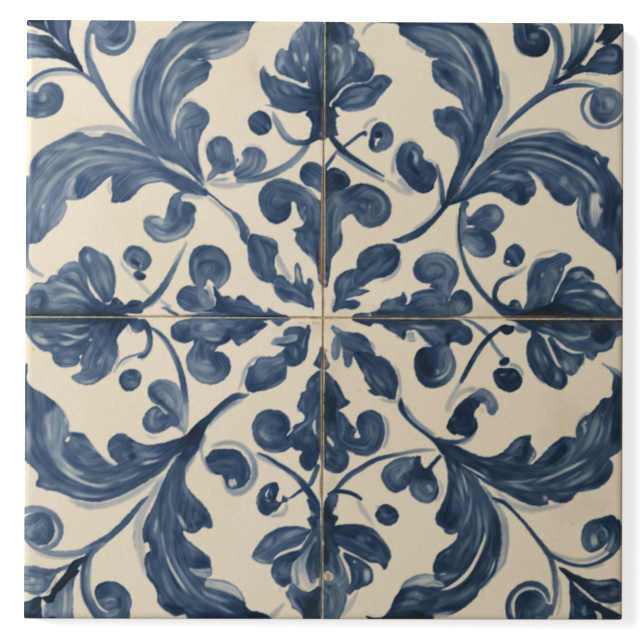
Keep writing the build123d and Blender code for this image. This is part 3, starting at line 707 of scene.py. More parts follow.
    # tendril and snail
    wash([(-52, 15.6, 0.15, 0.25), (-51.4, 13.8, 0.35, 0.25), (-49.6, 11.7, 0.45, 0.2),
          (-47.2, 9.4, 0.45, 0.17), (-45, 7.1, 0.5, 0.2), (-43.6, 5.7, 0.4, 0.25)])
    wash([(-42.1, 5.2, 0.3, 0.25), (-40.6, 4, 0.35, 0.3), (-39, 2.9, 0.4, 0.4)])
    line([(-41.4, 2.9, 0.15, 0.6), (-40.2, 2.7, 0.4, 0.6), (-38.8, 1.8, 0.45, 0.7),
          (-37.4, 1.2, 0.35, 0.8)])
    body([(-51.2, 15.9), (-50.8, 17.3), (-49.5, 18.5), (-48, 18.7), (-46, 17.8), (-44.6, 16.6), (-44, 15),
          (-44.5, 13.3), (-45.8, 12.3), (-46.8, 12), (-47.9, 12.6), (-49, 13.1), (-50.5, 14.3)],
         [(-50.5, 15, 0.56), (-48.5, 17.5, 0.62), (-45.5, 16, 0.62), (-46, 13, 0.66)])
    dark([(-50.5, 16.8, 0.35, 0.7), (-49, 18.1, 0.4, 0.74), (-46.6, 17.7, 0.4, 0.74),
          (-44.8, 16, 0.35, 0.72), (-44.6, 14.2, 0.35, 0.68), (-45.8, 12.7, 0.35, 0.66)])
    light([(-50.3, 15.2, 0.4, 0.45), (-49.7, 13.9, 0.35, 0.42), (-48.8, 13.4, 0.3, 0.4)])
    dark([(-49.2, 15.4, 0.35, 0.85), (-48.4, 14.6, 0.6, 0.92), (-47.3, 13.8, 0.5, 0.88),
          (-47, 12.8, 0.5, 0.74)])
    light([(-47, 13.55, 0.25, 0.08), (-46.4, 13.5, 0.2, 0.1)])
    body([(-48.6, 11.5), (-47.8, 12.2), (-46.4, 11.8), (-45.4, 11), (-45.8, 10.2), (-46.8, 9.7),
          (-47.9, 10.2)],
         [(-48.2, 11.2, 0.8), (-45.8, 10.8, 0.95)], pool=0)


def nw_left_bud():
    wash([(-46.4, 24.6, 0.25, 0.15), (-45.4, 26.1, 0.25, 0.15), (-43.3, 26.5, 0.2, 0.12)])
    wash([(-36.6, 31, 0.5, 0.24), (-34.4, 31.4, 0.6, 0.22), (-32.4, 31, 0.5, 0.22),
          (-30.6, 30.9, 0.35, 0.22)])
    body([(-39.7, 29.2), (-39.4, 30.6), (-38.3, 31.8), (-36.5, 32.5), (-35, 32.4), (-36.5, 31),
          (-36.4, 30.1), (-34.5, 29.8), (-33.1, 28.7), (-32.7, 27.5), (-33.1, 26.5), (-33, 25),
          (-33.7, 23), (-35.5, 21), (-38, 20), (-40.5, 19.4), (-43, 19.8), (-45, 21.5), (-46, 23.3),
          (-46, 25), (-44.7, 26.2), (-42.5, 26.2), (-41, 25.5), (-40.4, 26.3), (-40.2, 27.8)],
         [(-36, 31, 0.58), (-37, 28, 0.68), (-36, 24, 0.62), (-40, 21.5, 0.56), (-45, 24, 0.5)])
    dark([(-39.3, 30.3, 0.3, 0.55), (-38.5, 28.5, 0.9, 0.7), (-38.2, 26, 0.9, 0.72),
          (-39.3, 24.3, 0.8, 0.72)])
    dark([(-36.2, 28.9, 0.6, 0.68), (-34.6, 28.9, 0.7, 0.82), (-33.3, 28, 0.45, 0.84),
          (-34.6, 27, 0.8, 0.78), (-36, 25.4, 0.9, 0.74), (-38, 23.6, 0.7, 0.76),
          (-40.5, 22.7, 0.4, 0.76), (-41.6, 22.8, 0.2, 0.7)])
    light([(-45.2, 23.4, 0.4, 0.4), (-43.8, 21.9, 0.6, 0.4), (-41.5, 20.7, 0.6, 0.34),
           (-38.6, 20.7, 0.6, 0.34), (-36, 21.8, 0.5, 0.36), (-34.2, 23.8, 0.4, 0.34),
           (-33.5, 26.2, 0.25, 0.36)])
    light([(-44.6, 24.4, 0.5, 0.42), (-43, 25, 0.6, 0.34), (-41.7, 24.8, 0.6, 0.22),
           (-41.2, 23.7, 0.4, 0.18)])
    dark([(-45.8, 23.8, 0.2, 0.6), (-45.2, 25.4, 0.25, 0.52), (-43.4, 25.9, 0.25, 0.46)])
    light([(-43.6, 23.2, 0.35, 0.36), (-42, 22.2, 0.3, 0.4), (-39.8, 21.7, 0.3, 0.46)])
    light([(-37.3, 31.8, 0.3, 0.5), (-38.4, 30.9, 0.3, 0.5)])


def nw_left_trefoil():
    body([(-31.7, 8), (-34, 8.6), (-36, 8.2), (-37.3, 6.7), (-37.6, 5), (-37, 3.5), (-35.5, 2.3),
          (-33, 1.7), (-30, 1.4), (-28, 4), (-29, 7)],
         [(-36, 6, 0.76), (-33, 4.5, 0.68), (-30, 2.5, 0.6)])
    light([(-34.5, 2.6, 0.3, 0.5), (-32, 2.4, 0.4, 0.48), (-30, 2.8, 0.4, 0.46)])
    body([(-32.2, 8.2), (-33.8, 10), (-34.5, 12.5), (-34.4, 15.5), (-33.5, 17.5), (-31.8, 18.7),
          (-29.5, 18.9), (-27, 18.4), (-25.2, 16.8), (-24, 14.5), (-24, 11.5), (-24.8, 9.6), (-26.5, 8.1),
          (-27.2, 7.6), (-28.3, 9.3), (-29.6, 10.1), (-30.3, 8.5)],
         [(-33, 9.5, 0.66), (-33.5, 14, 0.68), (-30, 17.5, 0.72), (-26, 14, 0.74), (-27, 9, 0.6)])
    light([(-33.2, 16.2, 0.4, 0.58), (-32.7, 14.8, 0.5, 0.52), (-33.3, 12, 0.35, 0.58)])
    light([(-31, 15.9, 0.4, 0.55), (-29.3, 15.7, 0.45, 0.52), (-28.4, 15.5, 0.3, 0.58)])
    dark([(-32, 12, 0.7, 0.8), (-31.5, 14, 0.7, 0.84), (-29.8, 14.6, 0.5, 0.84), (-28, 14.6, 0.8, 0.84),
          (-26.8, 12.8, 1.1, 0.84), (-28.2, 11, 0.9, 0.88)])
    light([(-28.8, 13.7, 0.3, 0.55), (-29.8, 12.9, 0.3, 0.55), (-30.3, 11.5, 0.25, 0.5)])
    light([(-24.9, 13.5, 0.3, 0.58), (-24.9, 11.3, 0.4, 0.54), (-26.2, 9, 0.5, 0.44),
           (-27, 8, 0.25, 0.4)])
    line([(-31.3, 10.5, 0.6, 0.56), (-31.4, 7.8, 0.8, 0.52), (-30.9, 5.4, 1.1, 0.52),
          (-29.5, 3.4, 1.1, 0.52)])
    light([(-30, 9.2, 0.35, 0.42), (-29.2, 7.2, 0.5, 0.34), (-28.6, 5.6, 0.5, 0.34),
           (-28.2, 4, 0.3, 0.44)])
    light([(-31.5, 5.2, 0.3, 0.42), (-30.2, 4.6, 0.3, 0.4)])
    body([(-28.3, 8.9), (-27.4, 7.4), (-26.4, 5.9), (-24.5, 6), (-23.2, 5.2), (-22.6, 4.9), (-22.1, 6),
          (-20.5, 6.1), (-19.5, 5.2), (-18, 4), (-16.5, 3.5), (-15.4, 1.9), (-14.6, 2.1), (-14.4, 3.1),
          (-13, 2.2), (-11, 1.5), (-9.2, 0.9), (-9.2, 0.4), (-30, 0.6), (-32, 1.6), (-28.5, 2.8),
          (-27.6, 4.5), (-28.2, 7)],
         [(-28, 7, 0.82), (-26, 4, 0.84), (-21, 3.5, 0.76), (-16, 2, 0.78), (-10, 1, 0.88)])
    light([(-24.7, 5.6, 0.35, 0.56), (-23.2, 4.7, 0.35, 0.5), (-22.5, 4.2, 0.3, 0.56)])
    light([(-20.8, 4.2, 0.5, 0.62), (-19, 3.4, 0.4, 0.62), (-17, 2.8, 0.3, 0.66)])
    dark([(-27.6, 7.8, 0.35, 0.85), (-26.5, 5.4, 0.5, 0.86), (-25.6, 3.8, 0.9, 0.9), (-23, 3, 0.9, 0.86)])
    light([(-33.5, 1.7, 0.25, 0.3), (-30, 1.7, 0.25, 0.28), (-26.8, 1.6, 0.18, 0.4)])
    dark([(-37, 1.1, 0.3, 0.85), (-33, 1.0, 0.35, 0.88), (-28, 1.05, 0.35, 0.86), (-22, 1.15, 0.4, 0.85),
          (-16, 1.05, 0.4, 0.88), (-10, 0.9, 0.3, 0.95)])
    wash([(-15.3, 2.6, 0.35, 0.15), (-14.9, 2.0, 0.25, 0.2)])


def nw_top_trefoil():
    body([(-6.5, 37.6), (-5.7, 39.3), (-4, 40.2), (-2.2, 39.8), (-0.6, 38.7), (0.5, 38), (0.5, 31.5),
          (-1.8, 32.6), (-3.2, 33.6), (-4.8, 34.1), (-6.2, 35.5)],
         [(-5.5, 38, 0.84), (-3, 36.5, 0.74), (-1, 33.5, 0.62)])
    light([(-2.6, 36.5, 0.6, 0.6), (-1.8, 34.2, 0.6, 0.55)])
    dark([(-6, 37.8, 0.4, 0.88), (-4.6, 39.2, 0.5, 0.88), (-2.6, 38.9, 0.5, 0.82)])
    body([(-8.5, 29.9), (-8.5, 27.6), (-9.3, 26), (-10.8, 24.7), (-12.5, 24.3), (-14.5, 25.2),
          (-16.2, 27.5), (-16.9, 30), (-16.6, 32.5), (-15, 34.6), (-12.8, 35.8), (-10.5, 35.8),
          (-8, 34.9), (-5.5, 33.9), (-3, 32.5), (-1.6, 30.5), (0.5, 29.5), (0.5, 8.4), (-0.9, 8.8),
          (-1.7, 10.5), (-1.9, 12.5), (-2.6, 14.5), (-3.6, 15.9), (-4.8, 16.8), (-6.2, 18.2),
          (-7.3, 19.7), (-7.6, 20.6), (-7.4, 22), (-8.2, 23), (-6.5, 23.4), (-5.5, 24.2), (-5.4, 24.8),
          (-6.2, 25.7), (-7, 27.6), (-7.7, 29.8)],
         [(-9.3, 28.5, 0.85), (-12, 26.5, 0.82), (-15, 29, 0.74), (-13, 33.5, 0.7), (-8, 32.5, 0.74),
          (-4, 29.5, 0.7), (-3, 22, 0.78), (-1, 10, 0.8)])
    dark([(-9.4, 28, 0.6, 0.9), (-11, 27, 1.2, 0.84), (-13, 27.2, 1.0, 0.76), (-14, 29.5, 0.8, 0.72)])
    light([(-13.2, 29, 0.6, 0.66), (-12.6, 30.6, 0.6, 0.64), (-11, 31.3, 0.5, 0.66)])
    dark([(-16, 29, 0.4, 0.8), (-15.8, 32, 0.5, 0.8), (-13.5, 34.6, 0.5, 0.78), (-10.5, 35, 0.5, 0.76),
          (-8, 34.1, 0.5, 0.76), (-6, 33.3, 0.4, 0.74)])
    light([(-15.9, 27.6, 0.3, 0.6), (-14.4, 25.7, 0.3, 0.62)])
    dark([(-10, 31.3, 0.6, 0.8), (-7.5, 31.3, 0.6, 0.82), (-6.4, 29.5, 0.5, 0.8),
          (-5.9, 27.3, 0.4, 0.72)])
    light([(-6, 32, 0.6, 0.58), (-4.2, 30.6, 0.8, 0.54), (-3, 28.5, 0.7, 0.58)])
    light([(-5.8, 33.5, 0.2, 0.36), (-4, 32.8, 0.3, 0.22), (-2.7, 31.8, 0.32, 0.15),
           (-1.9, 30.4, 0.25, 0.2)])
    light([(-5.1, 28.9, 0.14, 0.3), (-5.4, 28, 0.16, 0.25)])
    light([(-5, 27, 0.3, 0.5), (-5.2, 25.6, 0.35, 0.42), (-5.3, 24.5, 0.3, 0.36)])
    dark([(-3.4, 27, 0.5, 0.74), (-3.6, 24.5, 1.0, 0.86), (-5, 22.8, 1.0, 0.82), (-7.4, 22.8, 0.3, 0.85)])
    dark([(-2.6, 23, 0.8, 0.88), (-1.8, 21.5, 0.6, 0.9)])
    light([(-5.8, 20.5, 0.7, 0.68), (-4.3, 18.6, 0.7, 0.66), (-3.4, 17, 0.5, 0.6)])
    light([(-4.6, 17.2, 0.3, 0.5), (-3.3, 15.8, 0.3, 0.45), (-2.4, 13.9, 0.25, 0.42)])
    dark([(-1.6, 18, 0.6, 0.98), (-1.5, 15.5, 0.6, 1.05), (-1.2, 13.5, 0.5, 1.0), (-1.1, 11, 0.4, 0.8)])
    light([(-1.5, 12, 0.18, 0.5), (-1.2, 10, 0.2, 0.5)])


def nw_quarter():
    parts = (
        nw_left_leaf, nw_upper_leaf, nw_corner, nw_left_bud,
        nw_upper_stem, nw_hub, nw_top_flower, nw_left_flower,
        nw_left_trefoil, nw_top_trefoil,
    )
    for part in parts:
        part()


def ne_corner():
    body([(47.9, 77), (47.8, 74), (47.8, 71.5), (48.6, 69.5), (50, 67.9), (52.5, 67.1), (55, 67.5),
          (56.6, 69), (57.1, 71), (56.8, 73), (56.3, 75), (56.5, 77)],
         [(48.5, 75, 0.76), (50, 70, 0.86), (55, 69.5, 0.98), (55, 74, 0.84)])
    light([(51.5, 72.2, 0.5, 0.68), (53.2, 72.5, 0.8, 0.6), (54.6, 72.4, 0.4, 0.66)])
    light([(51.8, 71, 0.2, 0.72), (53.5, 70.7, 0.3, 0.68)])
    wash([(48, 70.6, 0.2, 0.35), (49.3, 68.4, 0.25, 0.35), (51.3, 67.2, 0.2, 0.35)])
    line([(56.5, 58.6, 1.0, 0.62), (57.6, 61, 1.1, 0.66), (58.6, 64, 1.1, 0.76), (59.4, 67, 1.15, 0.78),
          (59.3, 70, 1.15, 0.76), (58.4, 73, 1.2, 0.72), (56.6, 75.2, 1.2, 0.64), (54.6, 76.8, 1.2, 0.6)])
    light([(56.6, 60.2, 0.4, 0.45), (57.5, 62.6, 0.5, 0.35), (58.3, 65.4, 0.4, 0.32),
           (58.6, 68, 0.3, 0.36), (58.4, 70.8, 0.3, 0.36), (57.6, 73.2, 0.25, 0.36)])
    light([(52.3, 75.6, 0.4, 0.52), (54.3, 75.7, 0.4, 0.4), (56, 75, 0.3, 0.45)])
    light([(57.3, 71.3, 0.2, 0.05), (57, 72.8, 0.3, 0.05), (56, 74, 0.3, 0.08), (54.5, 74.6, 0.28, 0.18),
           (53.4, 74.5, 0.15, 0.4)])
    wash([(60.6, 66, 0.2, 0.3), (60.7, 69, 0.2, 0.35), (60, 72.5, 0.2, 0.35)])
    # the leaf that fills the corner: a pale lobe, a dark lobe at the very corner and a round lobe below
    body([(62.3, 77), (62.4, 74), (62.5, 71), (62.3, 68.5), (61.8, 66.6), (60.9, 65.2), (60.2, 63.9),
          (61.3, 64.2), (62, 63.6), (64, 65.5), (66, 67.5), (68, 70.5), (68.4, 71.3), (68.5, 73),
          (69.6, 75), (71.5, 77)],
         [(66, 77, 0.38), (65.5, 73, 0.45), (65, 69, 0.62), (62, 64.5, 0.95)], streak=0.14)
    dark([(63.7, 76.5, 0.25, 0.52), (63.5, 73, 0.3, 0.58), (63.7, 69.5, 0.4, 0.66), (63.3, 67, 0.5, 0.8)])
    light([(62.9, 76, 0.25, 0.22), (62.9, 72.5, 0.22, 0.26), (62.9, 69.5, 0.15, 0.4)])
    light([(65, 76.6, 0.35, 0.24), (64.7, 73, 0.3, 0.28), (64.5, 70, 0.18, 0.4)])
    dark([(66.3, 76, 0.3, 0.5), (65.8, 72.5, 0.5, 0.56), (65.2, 69.5, 0.6, 0.7), (64.4, 67, 0.7, 0.9)])
    light([(67.6, 76.6, 0.5, 0.18), (67.2, 74.6, 0.35, 0.26), (66.7, 72.3, 0.2, 0.4)])
    dark([(68, 74, 0.35, 0.74), (67.8, 72.3, 0.5, 0.8), (66.8, 69.8, 0.7, 0.88), (65.2, 67.3, 0.9, 1.0),
          (63.4, 65.4, 0.9, 1.06), (61.6, 63.6, 0.6, 1.05), (59.6, 62, 0.45, 1.02)])
    light([(69.6, 76.5, 0.6, 0.16), (69, 74.6, 0.5, 0.2), (69, 73, 0.35, 0.24)])
    body([(71.3, 77), (70.7, 74.5), (69.6, 72.5), (68.6, 71.2), (69.5, 70.9), (70.8, 70.4), (71.9, 70.2),
          (72.6, 70.9), (73.5, 71.6), (74.8, 72.9), (76, 74.3), (77, 75.2), (77, 77)],
         [(75, 76.5, 0.9), (72.5, 74, 0.96), (70.5, 71.5, 0.98)])
    light([(75.4, 75.3, 0.4, 0.62), (74.8, 74.3, 0.3, 0.7)])
    light([(69.2, 71.1, 0.25, 0.35), (70.2, 71, 0.35, 0.26), (70.8, 71.4, 0.25, 0.22)])
    body([(70, 69.6), (71.5, 70.2), (73.2, 70.7), (74.8, 70.2), (75.8, 69.1), (77, 68), (77, 64.5),
          (75.9, 64.1), (74.5, 63.1), (72.5, 62.8), (70, 63), (67, 63.4), (64.5, 63), (62, 61.9),
          (60, 60.8), (58.7, 60.2), (57.8, 60.3), (58.3, 61.2), (60, 62.2), (62, 63.4), (63.8, 64.6),
          (64.8, 65.3), (66.1, 65.2), (66.8, 66), (68, 67.5), (69, 68.8)],
         [(75.5, 67, 0.86), (72, 66, 0.8), (67, 64.6, 0.84), (62, 62.8, 0.98), (58.5, 60.8, 1.05)])
    light([(68.5, 66.6, 0.4, 0.68), (71, 66.8, 0.7, 0.6), (73.4, 66.8, 0.7, 0.54), (74, 67.8, 0.5, 0.62),
           (73, 69, 0.6, 0.64), (71.8, 68.5, 0.4, 0.7)])
    dark([(70.5, 69.3, 0.4, 0.92), (72.8, 70.2, 0.45, 0.98), (75, 69.2, 0.5, 0.92),
          (75.6, 66.8, 0.5, 0.9), (74.6, 64.3, 0.5, 0.88), (72, 63.8, 0.6, 0.86)])
    dark([(68, 65.2, 0.6, 0.8), (71, 65, 0.6, 0.82), (73, 65.3, 0.4, 0.8)])
    light([(69, 70.3, 0.2, 0.06), (68.3, 69.2, 0.34, 0.02), (67.5, 67.8, 0.3, 0.02),
           (66.5, 66.6, 0.35, 0.02), (65.3, 65.8, 0.25, 0.1)])
    wash([(66, 62.9, 0.15, 0.3), (70, 62.6, 0.15, 0.3)])
    # lower scroll
    line([(43.7, 46.9, 0.3, 0.6), (46, 49.4, 0.62, 0.7), (49, 52.5, 0.78, 0.74), (52, 55.1, 0.85, 0.72),
          (55, 57.3, 1.0, 0.76), (57.5, 58.8, 0.95, 0.76), (60, 59.4, 0.8, 0.76), (63, 60, 0.6, 0.76),
          (66, 60, 0.48, 0.72), (68.2, 59.7, 0.38, 0.6), (69.8, 59.3, 0.3, 0.42)])
    light([(47, 51, 0.2, 0.64), (51, 54.9, 0.2, 0.62), (54.5, 57.6, 0.2, 0.62)])
    dark([(48, 51, 0.25, 0.82), (52, 54.4, 0.3, 0.82), (56, 57.3, 0.35, 0.84), (60, 59, 0.3, 0.84),
          (63.5, 59.7, 0.25, 0.84)])
    wash([(60.5, 60.6, 0.22, 0.3), (63.5, 61.1, 0.32, 0.33), (66.7, 61.1, 0.32, 0.33),
          (69.3, 60.4, 0.32, 0.3), (71.2, 59.8, 0.2, 0.25)])
    body([(69.2, 59), (67.9, 57.5), (67.3, 55.3), (67.3, 53.3), (68.2, 51.5), (70, 50.3), (72, 50.4),
          (74, 51.5), (75.6, 53.5), (76.1, 56), (75.2, 58), (73.3, 59.3), (71, 59.5)],
         [(70, 58.5, 0.6), (74.5, 57, 0.46), (73, 52, 0.6), (69, 52.5, 0.78), (68.5, 56.5, 0.66)])
    line([(68.8, 58.9, 0.35, 0.66), (66.9, 57.8, 0.5, 0.68), (65.6, 55.8, 0.55, 0.66),
          (65.4, 53.8, 0.5, 0.6), (66.3, 51.5, 0.5, 0.58), (68, 49.9, 0.5, 0.5), (70.5, 49.3, 0.5, 0.5),
          (73, 49.7, 0.5, 0.52), (75, 51, 0.5, 0.5), (76.5, 53, 0.5, 0.48)])
    light([(67.7, 57.8, 0.25, 0.12), (66.9, 55.7, 0.3, 0.1), (66.9, 53.6, 0.3, 0.1),
           (67.8, 51.6, 0.32, 0.1), (69.5, 50.3, 0.28, 0.16), (71.5, 50, 0.22, 0.26),
           (73.5, 50.8, 0.2, 0.34)])
    dark([(68.2, 57, 0.4, 0.68), (67.9, 54.5, 0.5, 0.8), (68.7, 52.3, 0.7, 0.86),
          (70.8, 51.2, 0.65, 0.86), (73, 52, 0.5, 0.8)])
    dark([(69, 58.4, 0.3, 0.66), (71, 58.7, 0.35, 0.6), (73.2, 57.6, 0.35, 0.62), (74.4, 55.5, 0.3, 0.62),
          (74.2, 53.5, 0.3, 0.6)])
    dark([(69.4, 56.2, 0.7, 0.66), (69.8, 54.4, 0.6, 0.72)])
    light([(71.2, 57.3, 0.6, 0.44), (72.4, 55.5, 0.8, 0.38), (72.2, 53.9, 0.9, 0.36)])
    light([(75, 58, 0.35, 0.38), (75.7, 55.5, 0.35, 0.38), (75.2, 53.2, 0.3, 0.42)])


def ne_upper_leaf():
    wash([(39, 39.4, 0.5, 0.16), (40.6, 42, 0.9, 0.22), (42.5, 46, 1.3, 0.2), (44.5, 50, 1.2, 0.18),
          (45.7, 54, 1.0, 0.18), (46, 58, 0.8, 0.18), (45.6, 61.5, 0.8, 0.2), (44.8, 64.3, 0.5, 0.25)])
    wash([(9.2, 72.2, 0.15, 0.3), (9.8, 73.8, 0.4, 0.3), (11, 75.1, 0.45, 0.35), (12.8, 75.9, 0.3, 0.5)])
    body([(30.5, 29.5), (30.6, 31), (31, 33), (32, 36), (33, 38.5), (34, 41), (34.2, 43), (33.5, 45),
          (32.3, 46), (30, 47.3), (28.5, 48.7), (27.8, 50.3), (27.4, 52), (27.5, 53.5), (28.2, 53.9),
          (29.8, 53.7), (31, 54.4), (32.5, 54.4), (34.3, 53.9), (35, 53.4), (34.8, 54.7), (34, 56.3),
          (32.5, 57.5), (31, 58.2), (29.5, 59.2), (28, 60.5), (27.2, 62), (27, 64), (27, 65.5),
          (27.4, 66.2), (28.6, 66.5), (26.5, 66.9), (25.4, 67.4), (25.3, 68.6), (23, 70), (20.5, 71.8),
          (19.2, 72.4), (18.6, 73.3), (18.7, 74.6), (18, 75.3), (15.5, 75.7), (13, 75.9), (13, 77),
          (35.8, 77), (38, 75.4), (40, 73.8), (41.3, 71.8), (42, 70), (42.7, 68), (43.3, 66),
          (43.8, 64.5), (44.2, 62), (44.2, 60), (44.9, 58), (45.1, 56), (44.8, 54.5), (44, 53), (43, 51),
          (41.8, 48.5), (40.6, 45.8), (40.1, 43.5), (38.8, 41), (37, 38.5), (35, 35.3), (32.5, 31)],
         [(30.5, 30, 0.86), (35, 40, 0.8), (39, 50, 0.72), (39.5, 60, 0.68), (36, 68, 0.64),
          (29, 73, 0.68), (18, 75.5, 0.86)])
    dark([(40.3, 46.5, 0.35, 0.95), (41.4, 49.5, 0.5, 0.86), (43, 52.5, 0.6, 0.8),
          (44.2, 55.5, 0.5, 0.76), (43.8, 58.3, 0.8, 0.88), (43, 61, 1.1, 0.86), (43, 64, 0.8, 0.82),
          (42.3, 67, 0.6, 0.78), (41.5, 70, 0.5, 0.72), (40, 72.8, 0.6, 0.82), (38, 74.6, 0.8, 0.9),
          (35.5, 75.6, 0.8, 0.9), (31, 76.2, 0.8, 0.9), (26, 76.2, 0.7, 0.9), (20, 76.1, 0.6, 0.9),
          (15, 76.1, 0.35, 0.85)])
    dark([(39.3, 44, 0.6, 0.84), (40, 48, 0.7, 0.84), (41.2, 52, 0.8, 0.82), (41.7, 56, 1.0, 0.9),
          (41.2, 60, 1.2, 0.94), (40.4, 63.5, 1.2, 0.9), (39.1, 67, 1.2, 0.9), (37.6, 71, 1.1, 0.86),
          (35, 74, 0.9, 0.86)])
    light([(40.3, 49.5, 0.35, 0.62), (41, 53, 0.3, 0.64)])
    light([(42.6, 61.5, 0.25, 0.55), (42, 64, 0.4, 0.44), (41.3, 66.4, 0.45, 0.4), (40.3, 69, 0.5, 0.4),
           (39.2, 70.9, 0.7, 0.42), (38.2, 72, 0.6, 0.5)])
    light([(44, 58.8, 0.5, 0.58), (43.6, 60, 0.4, 0.64)])
    light([(41.8, 70.3, 0.3, 0.5), (40.9, 71.8, 0.4, 0.5)])
    light([(36.8, 73.5, 0.6, 0.62), (35.5, 74.8, 0.4, 0.66), (37.5, 71.8, 0.5, 0.6)])
    dark([(37.2, 44, 0.6, 0.84), (38.3, 48, 1.0, 0.88), (38.8, 51, 0.7, 0.86)])
    # second turn, paler
    light([(37.2, 61.5, 0.5, 0.52), (35.6, 65, 0.6, 0.5), (33.6, 68, 0.7, 0.5), (31, 70.5, 0.7, 0.48),
           (28, 72.2, 0.6, 0.48), (25, 73, 0.6, 0.46), (22, 73.6, 0.5, 0.5)])
    light([(30, 69.3, 0.4, 0.54), (27, 70.8, 0.5, 0.48), (24, 71.9, 0.5, 0.48), (21.8, 72.8, 0.4, 0.52)])
    light([(31.5, 72, 0.4, 0.5), (28.5, 73.8, 0.4, 0.5), (25, 74.6, 0.4, 0.52), (22, 74.8, 0.3, 0.56)])
    dark([(33.5, 72.7, 0.35, 0.8), (31, 74.2, 0.45, 0.86), (27, 75.1, 0.45, 0.86),
          (22.5, 75.3, 0.5, 0.86), (19.5, 74.4, 0.7, 0.88), (19.3, 73.2, 0.6, 0.88)])
    dark([(20, 72.6, 0.4, 0.85), (22, 71.4, 0.45, 0.84), (24.5, 70.2, 0.45, 0.78), (27, 69.4, 0.5, 0.68),
          (30, 68.2, 0.4, 0.66)])
    dark([(25.8, 67.7, 0.4, 0.74), (28.2, 67.4, 0.6, 0.84), (30.5, 67.4, 0.6, 0.8), (33, 66, 0.45, 0.7),
          (35.5, 63.7, 0.3, 0.66)])
    wash([(20.2, 71.3, 0.35, 0.27), (21.7, 69.9, 0.6, 0.26), (23.7, 68.9, 0.65, 0.23),
          (25.2, 68.2, 0.45, 0.22)])
    light([(26, 66.7, 0.2, 0.18), (27.6, 66.5, 0.2, 0.12), (29.2, 66.8, 0.14, 0.22)])
    light([(30.4, 66, 0.28, 0.4), (33, 64.9, 0.35, 0.32), (35.5, 63.1, 0.4, 0.32),
           (37.5, 60.7, 0.4, 0.35), (38.6, 58.4, 0.3, 0.38)])
    light([(29.6, 74.2, 0.12, 0.32), (31.2, 73.2, 0.2, 0.14), (33, 71.9, 0.25, 0.08),
           (35, 69.6, 0.3, 0.06), (36.6, 67, 0.28, 0.08), (38, 64.2, 0.36, 0.08), (39, 61.5, 0.42, 0.08),
           (39.4, 59.4, 0.36, 0.12), (39.9, 56.8, 0.25, 0.24), (40, 54, 0.12, 0.45)])
    # second lobe
    dark([(28.1, 65, 0.6, 0.72), (30, 64.8, 0.7, 0.78), (32.3, 63.6, 0.6, 0.76), (34.3, 61.8, 0.5, 0.72)])
    dark([(28.4, 62.7, 1.1, 0.96), (30.3, 62.6, 1.2, 0.96), (32.3, 61.2, 1.0, 0.84),
          (34.5, 59, 0.9, 0.78), (36, 56.3, 0.7, 0.76)])
    light([(29, 60.4, 0.4, 0.6), (31, 59.4, 0.5, 0.56), (33.2, 58.2, 0.4, 0.6), (34.8, 56.4, 0.3, 0.6)])
    dark([(28.5, 60.6, 0.3, 0.85), (30.3, 59, 0.3, 0.8)])
    light([(35.6, 55.4, 0.4, 0.56), (36.6, 52.8, 0.5, 0.5), (37.4, 50.4, 0.3, 0.5)])
    light([(38.4, 57.5, 0.4, 0.46), (38.3, 54.5, 0.5, 0.5), (38.4, 52.4, 0.3, 0.56)])
    dark([(37.3, 57.3, 0.4, 0.74), (37.4, 54.5, 0.35, 0.72), (37.9, 51.6, 0.3, 0.76)])
    # third lobe
    dark([(28.5, 52.5, 0.9, 0.98), (30.5, 51.6, 1.6, 0.98), (33, 51.9, 1.2, 0.88),
          (34.5, 50.4, 0.8, 0.82), (35.8, 48, 0.8, 0.8), (36, 45, 1.0, 0.88), (35.8, 42, 0.9, 0.88),
          (35, 39, 0.8, 0.86), (33.5, 35.5, 0.7, 0.86), (31.8, 32, 0.5, 0.9)])
    light([(31.3, 53.9, 0.3, 0.7), (33.3, 53.7, 0.3, 0.55), (34.9, 52.4, 0.3, 0.4),
           (36.1, 50.7, 0.35, 0.36), (37.2, 48.5, 0.33, 0.4), (37.4, 46.5, 0.2, 0.5)])
    light([(31.3, 48.2, 0.45, 0.5), (32.7, 46.7, 0.55, 0.4), (33.7, 44.7, 0.5, 0.38),
           (34, 42.6, 0.3, 0.42), (33.6, 40.2, 0.2, 0.5)])
    light([(34.6, 47.5, 0.3, 0.6), (34.9, 45, 0.3, 0.6)])
    dark([(29, 49.5, 0.5, 0.92), (30.6, 48.2, 0.4, 0.85)])
    light([(37.1, 40.8, 0.3, 0.6), (35.6, 37.5, 0.35, 0.62), (34, 34.5, 0.3, 0.64)])


